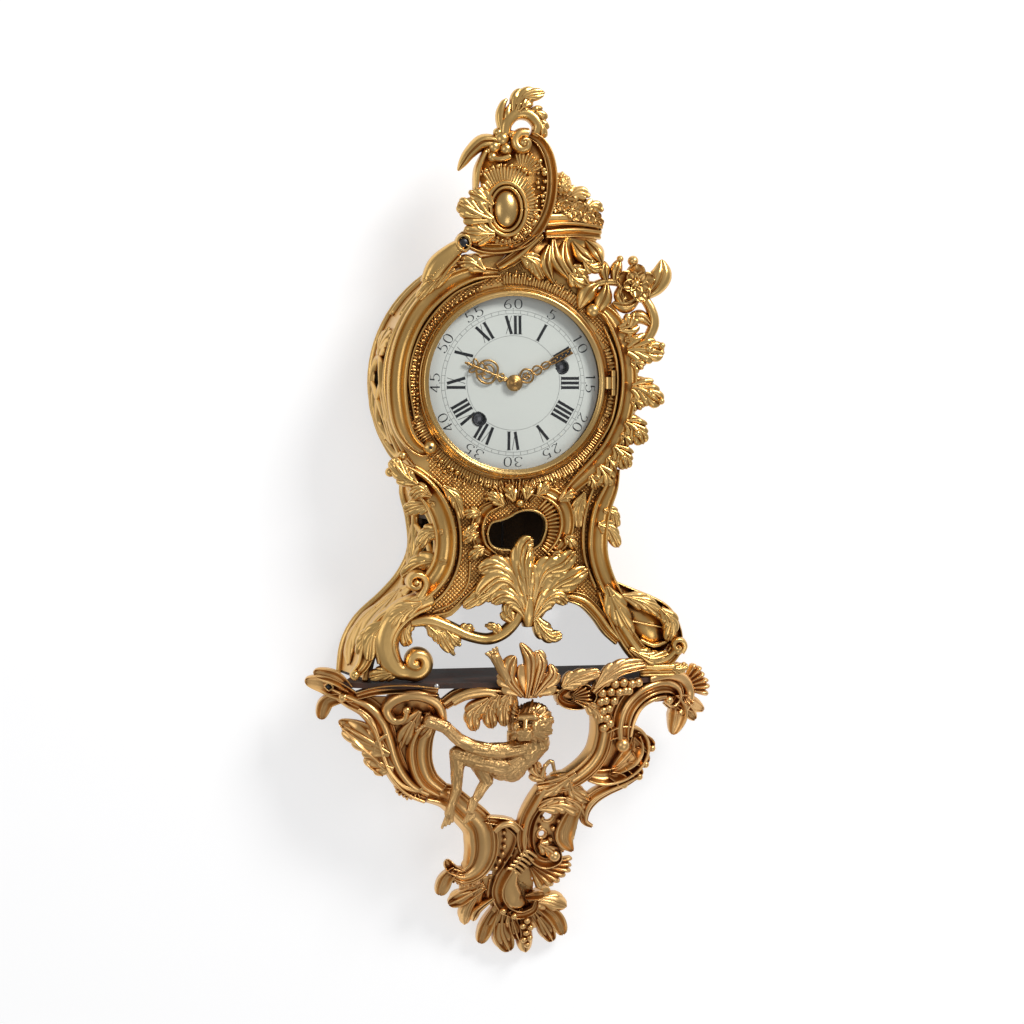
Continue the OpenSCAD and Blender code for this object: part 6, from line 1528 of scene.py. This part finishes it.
LEFT_ARM_BLADES = [
    [[-160, -14, 11, 13], [-176, -8, 12, 13], [-190, -3, 9, 12], [-206, -2, 7, 9]],
    [[-164, -6, 7, 12], [-178, 4, 8, 12], [-198, 8, 6, 9]],
    [[-172, -16, 9, 12], [-186, -22, 8, 11], [-191, -40, 6, 8]],
    [[-124, -84, 12, 12], [-138, -66, 14, 12], [-152, -52, 12, 11], [-174, -40, 6, 7]],
    [[-128, -94, 8, 11], [-136, -84, 9, 11], [-146, -74, 6, 9]],
    [[-52, -200, 7, 12], [-62, -212, 8, 11], [-67, -230, 7, 8]],
    [[-42, -206, 6, 12], [-56, -200], [-62, -190, 4, 9]],
]
LEFT_ARM_LEAVES = [
    [[-96, -28, 6, 13], [-106, -46, 9, 14], [-114, -68, 2, 8]],
    [[-88, -30, 5, 12], [-86, -46, 6, 12], [-96, -58, 2, 8]],
]


def left_arm():
    c = BracketCasting("left_arm_scrolls", "bracket_left_arm")
    c.web([(-158, -14), (-76, -12), (-74, -36), (-88, -60), (-82, -104), (-104, -110), (-126, -80),
           (-136, -44)], behind(13))
    c.strap([[-182, -8, 6, 13], [-164, -17, 9, 14], [-147, -25, 11, 15], [-134, -40, 12, 16], [-127, -58],
             [-121, -78], [-113, -95], [-101, -109, 11, 15], [-84, -118, 10, 14]], STEPPED)
    c.strap([[-156, -26, 3, 14], [-144, -36, 4, 17], [-138, -50, 4.5, 18], [-132, -70], [-124, -90],
             [-111, -106], [-96, -112, 4, 17], [-88, -108, 3, 15]], ROLL)
    c.strap([[-74, -38, 5, 11], [-86, -44, 9, 13], [-94, -62, 13, 14], [-93, -84], [-85, -102, 12, 14],
             [-70, -114, 9, 12]], BROAD)
    c.strap([[-72, -42, 5, 12], [-76, -24, 6, 15], [-88, -14, 7, 17], [-104, -11], [-120, -16],
             [-128, -27, 6, 16], [-121, -38, 5, 15], [-111, -36, 4, 14], [-109, -27, 3, 13]], TONGUE)
    c.strap([[-158, -13, 4, 12], [-138, -7, 4.5, 13], [-110, -5], [-78, -8]], BAND, 8)
    c.strap([[-84, -116, 10, 13], [-64, -121, 13, 14], [-46, -137, 15, 15], [-31, -153, 17, 15],
             [-26, -170, 18, 15], [-26, -187, 17, 15], [-32, -201, 14, 14], [-44, -208, 10, 13],
             [-56, -203, 6, 12]], BROAD, 12)
    for path in LEFT_ARM_BLADES:
        c.blade(path)
    c.leaf([[-124, -72, 12, 13], [-144, -60, 15, 12], [-170, -44, 5, 8]], 3)
    c.leaf([[-120, -88, 9, 13], [-134, -82, 11, 12], [-150, -70, 4, 8]], 2)
    c.strap([[-128, -52, 3, 15], [-139, -64, 4, 16], [-136, -82], [-128, -90, 3, 14]], TONGUE, 8)
    for path in LEFT_ARM_LEAVES:
        c.leaf(path)
    c.fan(-100, -102, 196, 350, 5, 21, behind(12)(-100, -110), 1.0, 12, 0.08)
    c.fan(-40, -200, 200, 330, 8, 22, behind(12)(-40, -212), 0.9, 11, 0.1)
    c.strap([[-188, -5, 1.6, 13], [-184, -1, 1.6, 14], [-180, -5], [-184, -9, 1.6, 13],
             [-188, -5]], ROLL, 5)
    for x, z in ((-100, -30), (-94, -36), (-106, -42), (-98, -44), (-112, -52), (-104, -54)):
        c.boss(x, z, 3.6, -7)
    c.boss(-109, -27, 4.5)
    c.boss(-170, -15, 5.5)
    c.cast()
    # Black dots: painted shade in the holes of the arm.
    hole = BracketCasting("left_arm_hole_shade")
    hole.boss(-36, -182, 1.8, -3.2)
    hole.boss(-184, -5, 2.4, -2.5)
    hole.build(ink, None)


GRAPES = [(84, -4), (92, -2), (101, -4), (110, -3), (119, -5), (88, -13), (97, -12), (106, -13),
          (92, -21), (101, -22), (96, -30), (87, -22), (112, -12), (90, -32), (94, -40), (88, -40),
          (98, -46), (92, -50), (116, -12), (126, -4)]
RIGHT_ARM_BLADES = [
    [[172, -26, 9, 13], [190, -32, 9, 12], [212, -44, 4, 8]],
    [[174, -30, 7, 13], [188, -40, 7, 12], [200, -52, 4, 8]],
    [[168, -24, 10, 13], [176, -40, 11, 13], [171, -64, 6, 8]],
    [[128, -60, 7, 13], [140, -68, 7, 12], [148, -77, 6, 10]],
    [[128, -76, 8, 13], [136, -84, 8, 12], [142, -94, 6, 10]],
    [[120, -92, 8, 13], [130, -98, 7, 12], [136, -107, 6, 10]],
    [[104, -102, 7, 13], [114, -107, 7, 12], [120, -115, 6, 10]],
    [[128, -62, 9, 12], [126, -80, 12, 13], [104, -102, 5, 12]],
]
RIGHT_ARM_LEAVES = [
    ([[66, -98, 7, 15], [46, -112, 10, 16], [26, -120, 3, 9]], 3),
    ([[60, -104, 6, 15], [66, -118, 9, 14], [84, -130, 2, 8]], 3),
    ([[34, -104, 7, 13], [26, -96, 8, 13], [22, -82, 2, 8]], 2),
]


def right_arm():
    c = BracketCasting("right_arm_scrolls", "bracket_right_arm")
    c.web([(82, -4), (170, -8), (178, -30), (140, -26), (112, -40), (104, -64), (90, -62),
           (84, -30)], behind(13))
    c.web([(98, -60), (130, -60), (138, -76), (124, -100), (90, -108)], behind(14))
    c.strap([[114, -68, 8, 15], [112, -50, 10, 16], [116, -32, 10.5, 17], [127, -18, 10.5, 18],
             [143, -10], [159, -9, 10, 18], [172, -15, 8, 17], [176, -25, 6, 16], [169, -32, 5, 15],
             [161, -27, 4, 14]], STEPPED)
    c.strap([[122, -62, 3, 16], [125, -44, 3.5, 18], [133, -30], [147, -23], [160, -22, 3, 16]], ROLL)
    c.boss(114, -70, 8, -4)
    c.strap([[84, -24, 8, 14], [88, -34, 10, 16], [92, -48, 12, 17], [92, -62], [88, -79],
             [77, -94, 12, 16], [60, -106, 11, 15], [42, -111, 9, 14], [28, -112, 7, 12]], BROAD)
    c.strap([[98, -60, 6, 12], [112, -56, 7, 13], [127, -60, 9, 14], [135, -73, 10, 14], [131, -89],
             [117, -101, 9, 14], [98, -105, 9, 13], [82, -102, 7, 12]], COVE)
    c.strap([[136, -104, 3, 11], [118, -112, 6, 12], [102, -118, 7, 12], [88, -126, 8, 12],
             [80, -138, 7, 11], [80, -152, 4, 9], [88, -158, 2, 7]], STEPPED)
    for x, z in GRAPES:
        c.boss(x, z, 5.2, -3)
    c.strap([[140, -2, 4, 12], [160, 1, 6, 14], [178, -4, 7, 15], [188, -16], [188, -30, 7, 14],
             [178, -42, 5, 12]], TONGUE, 8)
    c.fan(180, -18, -16, 66, 4, 32, behind(12)(192, -8), 1.0, 6, 0.07)
    c.fan(182, -22, 180, 330, 3, 16, behind(10)(182, -26), 0.8, 8, 0.1)
    for path in RIGHT_ARM_BLADES:
        c.blade(path)
    for path, fingers in RIGHT_ARM_LEAVES:
        c.leaf(path, fingers)
    c.strap([[78, -12, 4, 8], [90, 0, 5, 9], [108, 9], [134, 13, 4, 7]], STEPPED, 8, ahead=4)
    c.leaf([[80, -8, 5, 7], [94, 6, 7, 7], [110, 14, 6, 7], [132, 16, 2, 4]], 3, ahead=4)
    for x, z in ((147, -76), (141, -93), (135, -106), (119, -114)):
        c.boss(x, z, 4.0, -4)
    c.boss(163, -26, 5)
    c.cast()


CENTER_LEAVES = [
    ([[12, -16, 11, 6], [14, 4, 15, 6], [20, 22, 10, 5], [18, 32, 2, 3]], 3),
    ([[20, -12, 7, 6], [33, 0, 9, 6], [40, 14, 2, 3]], 2),
    ([[2, -12, 7, 6], [-10, 0, 8, 6], [-20, 9, 2, 3]], 2),
]
CENTER_BLADES = [
    [[10, -16, 6, 7], [13, 6, 8, 9], [13, 24, 7, 9], [3, 40, 4, 6]],
    [[6, -14, 6, 7], [-7, 2, 8, 9], [-8, 16, 9, 9], [-2, 27, 6, 7]],
    [[16, -14, 5, 7], [21, 4, 6, 8], [25, 18], [21, 30, 4, 6]],
    [[18, -14, 5, 7], [28, -2, 6, 8], [36, 8], [33, 18, 4, 6]],
]


def center_leaf():
    c = BracketCasting("center_leaves", "bracket_center_leaf")
    for leaf, fingers in CENTER_LEAVES:
        c.leaf(leaf, fingers, 1.0, ahead=2)
    for blade in CENTER_BLADES:
        c.blade(blade, LEAFLET, ahead=5)
    c.cast()


DROP_LEAVES = [
    ([[30, -136, 6, 12], [54, -132, 10, 14], [78, -142, 4, 9]], 3),
    ([[58, -126, 6, 13], [72, -134, 8, 12], [80, -148, 3, 8]], 2),
    ([[34, -176, 6, 11], [44, -182, 8, 12], [54, -190, 4, 10]], 2),
]
# x, z and radius.
DROP_BERRIES = [
    (48, -160, 3), (54, -152, 3), (34, -158, 2.6), (46, -138, 2.8), (46, -172, 3), (38, -180, 3),
    (52, -168, 2.6), (36, -148, 2.4), (50, -142, 2.4), (14, -172, 2), (10, -180, 2), (6, -188, 2),
    (0, -196, 2), (2, -204, 2), (-3, -162, 2.6), (-2, -170, 2.4), (-2, -178, 2.6), (-3, -186, 2.4),
    (-6, -194, 2.6), (-9, -202, 2.4),
]


def drop():
    c = BracketCasting("drop_scrolls", "bracket_drop")
    c.web([(-20, -150), (10, -150), (26, -128), (76, -132), (72, -172), (56, -196), (28, -200),
           (36, -250), (10, -258), (-10, -236), (-14, -196), (-12, -160)], behind(12),
          ((42, -146, 5.5), (37, -166, 4.0)))
    c.strap([[-24, -146, 4, 11], [0, -152, 6, 14], [14, -166, 6.5, 14], [12, -184], [4, -200], [-4, -216],
             [-6, -232, 6.5, 13], [2, -248, 6, 13], [18, -256, 5, 12], [32, -251, 4.5, 11],
             [35, -241, 3, 10]], COVE)
    c.strap([[78, -138, 4, 11], [62, -131, 6, 13], [44, -130, 6.5, 14], [30, -137], [23, -152],
             [22, -172], [28, -189, 6, 13], [41, -198], [54, -194, 5, 12], [54, -184, 3, 11]], EVOC)
    c.strap([[34, -114, 8, 13], [26, -130, 9, 14], [18, -148, 8, 13], [16, -170, 7, 12],
             [20, -188, 5, 11]], STEPPED, 8)
    c.strap([[-14, -160, 4, 13], [-7, -153, 5, 15], [3, -152], [11, -160, 4, 14]], TONGUE, 8)
    for k in range(6):
        x, z = 20 - 3.2 * k, -184 - 3.8 * k
        c.strap([[x - 3, z + 2, 2.4, 11], [x + 4, z, 2.6, 13], [x + 12, z - 6, 2.2, 11]], TONGUE, 4)
    c.blade([[10, -206, 9, 11], [6, -222, 12, 13], [12, -238, 11, 13], [24, -244, 7, 12]], TONGUE)
    c.blade([[72, -130, 9, 12], [64, -150, 11, 12], [60, -170, 10, 12], [70, -186, 4, 9]])
    for path, fingers in DROP_LEAVES:
        c.leaf(path, fingers)
    for x, z, r in DROP_BERRIES:
        c.boss(x, z, r, -8)
    c.fan(24, -198, -78, 12, 6, 48, behind(12)(40, -205), 0.85, 7, 0.05, 0.62)
    c.boss(50, -189, 7)
    stem = (bulge(10, -232) - 10) / RELIEF
    c.sweep(spline([[10, -220, FRONT_Y, 12, stem], [10, -244]], 2), BAND)
    c.cast()


# Root, middle and tip of each leaf, and its half width.
SPRAY = [((-20, -222), (-40, -234), (-56, -243), 8), ((-18, -214), (-22, -230), (-19, -244), 8),
         ((-22, -224), (-34, -246), (-38, -267), 8), ((-4, -246), (-14, -268), (-20, -290), 8),
         ((2, -250), (2, -276), (12, -300), 11), ((20, -250), (26, -276), (29, -302), 10),
         ((30, -248), (46, -270), (58, -291), 8.5), ((38, -246), (58, -262), (69, -284), 8.5),
         ((28, -240), (50, -243), (70, -251), 10), ((24, -236), (34, -235), (44, -234), 5),
         ((8, -252), (14, -270), (20, -286), 6), ((-10, -236), (-26, -250), (-30, -262), 6)]
SPRAY_BERRIES = [
    (26, -262), (22, -268), (30, -270), (26, -276), (24, -284), (30, -282), (28, -290), (12, -256),
    (0, -250),
]


def leaf_spray():
    c = BracketCasting("spray_leaves", "bracket_leaf_spray")
    for k, (root, mid, tip, w) in enumerate(SPRAY):
        ahead = -3 if k > 8 else -8
        section = LEAFLET if k % 3 == 2 else CUPPED
        c.blade([[*root, w, 12], [*mid, w, 14], [*tip, 0.8 * w, 9]], section, ahead=ahead)
        if k % 2 == 0:
            c.leaf([[*root, 0.9 * w, 13], [*mid, 1.1 * w, 15], [*tip, 0.4 * w, 11]], 2, 1.0, ahead=ahead)
    for x, z in SPRAY_BERRIES:
        c.boss(x, z, 3.6, -1)
    c.web([(-24, -214), (0, -206), (34, -230), (40, -250), (20, -262), (-8, -254)], behind(12))
    c.cast()


rail()
left_arm()
right_arm()
center_leaf()
drop()
leaf_spray()


# Monkey: limbs as chains of (x, z, out from the wall, radius).

LIMBS = [
    # Head, shoulders, back and rump.
    [(21, -42, 102, 19.5), (19, -43, 104, 19)],
    [(26, -66, 92, 13), (16, -74, 96, 14)],
    [(16, -74, 94, 14), (-2, -88, 90, 16)],
    [(0, -90, 88, 16), (-10, -90, 90, 14)],
    # Near leg: thigh, shin and foot.
    [(-12, -86, 95, 13), (-38, -78, 99, 11.5), (-57, -73, 102, 9)],
    [(-57, -73, 102, 8.5), (-57, -92, 99, 7), (-57, -110, 96, 5)],
    [(-57, -110, 96, 5.4), (-62, -124, 97, 5), (-65, -134, 98, 5.2)],
    # Far leg.
    [(-34, -84, 90, 10), (-26, -102, 94, 7)],
    [(-26, -102, 94, 6), (-40, -124, 96, 4.2)],
    [(-40, -122, 96, 4.8), (-43, -132, 97, 4.6)],
    # Arm held out, with its hand, and the raised arm.
    [(28, -65, 97, 10), (8, -68, 103, 9), (-10, -70, 106, 8.2), (-26, -69, 108, 7.8),
     (-42, -65, 110, 7.2), (-57, -57, 112, 6.8), (-72, -43, 114, 6.4)],
    [(-72, -43, 114, 7), (-86, -38, 112, 6.4)],
    [(2, -62, 96, 8), (-1, -24, 106, 6), (-10, 4, 122, 5), (-22, 26, 123, 5.5)],
    # Tail.
    [(12, -83, 84, 4), (30, -94, 92, 3.4)],
    [(30, -98, 96, 2.2), (33, -88, 98, 2.2), (37, -84, 98, 2.1), (41, -85, 98, 2), (43, -95, 98, 1.8)],
]
FACE = [
    [(4, -36, 116, 3.8), (18, -35, 121, 4)], [(9, -39, 120, 3), (8, -46, 124, 2.8)],
    [(5, -51, 118, 6.6), (10, -52, 119, 7)], [(2, -50, 121, 2.8), (12, -50, 123.6, 2.8)],
    [(3, -56, 120, 2.8), (12, -56, 121.6, 2.8)],
    [(1, -44, 115, 4.4), (0, -46, 115, 4.2)], [(18, -44, 120, 4.4), (18, -46, 120, 4.2)],
]
EYES = [(4.2, -41, 119.4), (13.6, -40, 122.2)]
LOOK = Vector((-0.55, -0.82, -0.12)).normalized()
TUFTS = 60
SKIN_VOXEL = 0.7
HEAD_REACH = 29


def place_limb(p):
    """Place in the frame, in millimetres, of a limb's point."""
    return Vector((p[0], -p[2], SHELF_Z + p[1]))


def ball_form():
    """Points and faces of a unit ball."""
    bm = bmesh.new()
    bmesh.ops.create_icosphere(bm, subdivisions=2, radius=1.0)
    points = [v.co.copy() for v in bm.verts]
    faces = [[v.index for v in f.verts] for f in bm.faces]
    bm.free()
    return points, faces


BALL = ball_form()


class Flesh:
    """Balls that melt into one skin."""

    def __init__(self):
        self.verts, self.faces = [], []

    def ball(self, centre, r):
        base = len(self.verts)
        self.verts += [centre + p * r for p in BALL[0]]
        self.faces += [[base + i for i in f] for f in BALL[1]]

    def roll(self, a, b, ra, rb):
        """Tapered roll with round ends."""
        steps = max(int((b - a).length / (0.4 * min(ra, rb))), 1)
        for i in range(steps + 1):
            t = i / steps
            self.ball(a.lerp(b, t), ra + (rb - ra) * t)


# Paws: where the four fingers start, and how they run in x and z.
PAWS = [((-88, -40, 113), (-7, -4)), ((-65, -137, 99), (-2, -8)), ((-43, -135, 98), (-2, -7)),
        ((-23, 28, 123), (-3, 5))]


def monkey():
    flesh = Flesh()
    rolls = []
    for chain in LIMBS + FACE:
        for a, b in zip(chain, chain[1:]):
            rolls.append((place_limb(a), place_limb(b), a[3], b[3]))
            flesh.roll(*rolls[-1])
    head = place_limb(LIMBS[0][0])
    side = LOOK.cross(Vector((0, 0, 1))).normalized()
    top = side.cross(LOOK)
    for c, s in circle(TUFTS)[:-1]:
        out = side * c + top * s
        root = head + out * 15.5 + LOOK * random.uniform(6, 10)
        tip = root + out * random.uniform(4, 7) - LOOK * random.uniform(3, 8)
        flesh.roll(root, tip, 2.4, 1.2)
    for s in (-1, 1):
        root = head + side * s * 17 + top * 3 + LOOK * 7
        flesh.roll(root, head + side * s * 20.5 + top * 5 + LOOK * 6, 4, 3)
    for paw, step in PAWS:
        for k in (-1.5, -0.5, 0.5, 1.5):
            root = place_limb((paw[0] + k * 2.2, paw[1] + k * 1.0, paw[2] - 1))
            tip = root + Vector((step[0] + k * 1.2, -1.0, step[1] + k * 0.8))
            flesh.roll(root, tip, 2.2, 1.5)
    mesh = bpy.data.meshes.new("monkey_rough")
    mesh.from_pydata(flesh.verts, [], flesh.faces)
    rough = bpy.data.objects.new("monkey_rough", mesh)
    bpy.context.scene.collection.objects.link(rough)
    remesh = rough.modifiers.new("skin", "REMESH")
    remesh.mode = "VOXEL"
    remesh.voxel_size = SKIN_VOXEL
    soft = rough.modifiers.new("soft", "SMOOTH")
    soft.factor = 0.5
    soft.iterations = 3
    graph = bpy.context.evaluated_depsgraph_get()
    body = bpy.data.meshes.new_from_object(rough.evaluated_get(graph))
    bpy.data.objects.remove(rough)
    body.name = "monkey_fur"
    fur(body, rolls, head)
    finish_piece("monkey_fur", body, fur_gilt, "bracket", ("monkey",))
    # Dark dots set in the face: painted shade in the eye sockets.
    for k, (x, z, y) in enumerate(EYES):
        eye = Casting(f"monkey_eye_shade_{k}", "bracket")
        eye.berry(x, z, y + FRONT_Y - 0.6, 1.7, 1.2, 12)
        eye.build(eye_socket_shade, None)


def fur(mesh, rolls, head):
    """Raises hair strands that run along each limb and out round the face."""
    count = len(mesh.vertices)
    flat = np.empty(count * 3)
    mesh.vertices.foreach_get("co", flat)
    points = flat.reshape(-1, 3)
    best = np.full(count, 1e9)
    axes = np.zeros((count, 3))
    for a, b, ra, rb in rolls:
        a, d = np.array(a), np.array(b - a)
        t = np.clip((points - a) @ d / (d @ d), 0, 1)
        gap = np.linalg.norm(points - a - t[:, None] * d, axis=1) - (ra + (rb - ra) * t)
        near = gap < best
        best[near] = gap[near]
        axes[near] = d / np.linalg.norm(d)
    for v, axis in zip(mesh.vertices, axes):
        axis = Vector(axis)
        from_head = v.co - head
        amount = 0.9
        along = v.co.dot(axis)
        q = (v.co - axis * along) * 0.5 + axis * along * 0.06
        if from_head.length < HEAD_REACH:
            ahead = from_head.dot(LOOK)
            axis = (from_head - LOOK * ahead).normalized()
            q = axis * 8 + LOOK * ahead * 0.05
            amount = 0.12 if ahead > 0.76 * from_head.length else 1.5
        points[v.index] += np.array(v.normal) * amount * (noise.noise(q) + 0.5 * noise.noise(q * 2.1))
    mesh.vertices.foreach_set("co", points.reshape(-1) / MM)
    mesh.update()


monkey()


# Small fittings.

SCREW_X = -80


def shelf_screw():
    """Round head on the shelf's front edge."""
    profile = [(0.0, 2.0), (1.6, 1.7), (2.6, 0.9), (2.9, 0.0), (0.0, 0.0)]
    edge = -(bulge(SCREW_X, 0) - 5)
    lathe("shelf_screw", profile, edge, (SCREW_X, SHELF_Z - 2.5), screw_steel, "bracket", around=24)


shelf_screw()


# Camera, wall and light.

EYE_RANGE = 2200.0
AZIMUTH = math.radians(-10)
DIAL_PIXEL = (513.0, 383.0)
IMAGE = 1024.0
SENSOR = 36.0
WALL_WIDE, WALL_TALL, WALL_BACK = 4, 3, 0.002
WALL_GLOW, WALL_PAINT = 0.6, 0.5
LAMP_AIM = (0, -0.1, 0.2)
# Place, size and power of each lamp.
LAMPS = {
    "key": ((1.3, -1.7, 1.9), 0.8, 54),
    "fill": ((-1.8, -1.9, 0.5), 1.2, 7.5),
    "low": ((0.5, -1.9, -0.9), 0.9, 5),
}


def make_camera():
    data = bpy.data.cameras.new("camera")
    camera = bpy.data.objects.new("camera", data)
    bpy.context.scene.collection.objects.link(camera)
    data.sensor_width = SENSOR
    data.lens = EYE_RANGE / IMAGE * SENSOR
    x, y = EYE_RANGE * math.sin(AZIMUTH), FRONT_Y - EYE_RANGE * math.cos(AZIMUTH)
    camera.location = (x / MM, y / MM, DIAL_Z / MM)
    pitch = math.atan((IMAGE / 2 - DIAL_PIXEL[1]) / EYE_RANGE)
    yaw = math.atan((DIAL_PIXEL[0] - IMAGE / 2) / EYE_RANGE)
    camera.rotation_euler = (math.pi / 2 - pitch, 0, AZIMUTH + yaw)
    bpy.context.scene.camera = camera


def make_wall():
    """White wall that keeps the shadow; from behind it is clear."""
    mesh = bpy.data.meshes.new("wall")
    corners = [(-1, -1), (1, -1), (1, 1), (-1, 1)]
    mesh.from_pydata([(a * WALL_WIDE, WALL_BACK, b * WALL_TALL) for a, b in corners], [], [(0, 1, 2, 3)])
    wall = bpy.data.objects.new("wall", mesh)
    bpy.context.scene.collection.objects.link(wall)
    n = Nodes("wall_white")
    paths = n.add("ShaderNodeLightPath")
    seen = n.math("MAXIMUM", paths.outputs["Is Camera Ray"], paths.outputs["Is Glossy Ray"])
    seen = n.math("MAXIMUM", seen, paths.outputs["Is Transmission Ray"])
    glow = n.add("ShaderNodeEmission", Color=(1, 1, 1, 1))
    n.link(n.math("MULTIPLY", seen, WALL_GLOW), glow.inputs["Strength"])
    paint = n.add("ShaderNodeBsdfDiffuse", Color=(WALL_PAINT, WALL_PAINT, WALL_PAINT, 1))
    both = n.add("ShaderNodeAddShader")
    n.link(glow.outputs[0], both.inputs[0])
    n.link(paint.outputs[0], both.inputs[1])
    clear = n.add("ShaderNodeBsdfTransparent")
    choose = n.add("ShaderNodeMixShader")
    n.link(n.add("ShaderNodeNewGeometry").outputs["Backfacing"], choose.inputs[0])
    n.link(both.outputs[0], choose.inputs[1])
    n.link(clear.outputs[0], choose.inputs[2])
    n.link(choose.outputs[0], n.tree.nodes["Material Output"].inputs["Surface"])
    mesh.materials.append(n.material)


def make_lamp(name, place, size, power):
    """Square lamp turned to the middle of the clock."""
    data = bpy.data.lights.new(name, "AREA")
    data.size = size
    data.energy = power
    lamp = bpy.data.objects.new(name, data)
    lamp.location = place
    lamp.rotation_euler = (Vector(LAMP_AIM) - Vector(place)).to_track_quat("-Z", "Y").to_euler()
    bpy.context.scene.collection.objects.link(lamp)


def make_light():
    world = bpy.data.worlds.new("studio")
    world.use_nodes = True
    world.node_tree.nodes["Background"].inputs["Color"].default_value = (0.33, 0.33, 0.34, 1)
    bpy.context.scene.world = world
    for name, values in LAMPS.items():
        make_lamp(name, *values)
    bpy.context.scene.view_settings.view_transform = "Standard"


make_camera()
make_wall()
make_light()
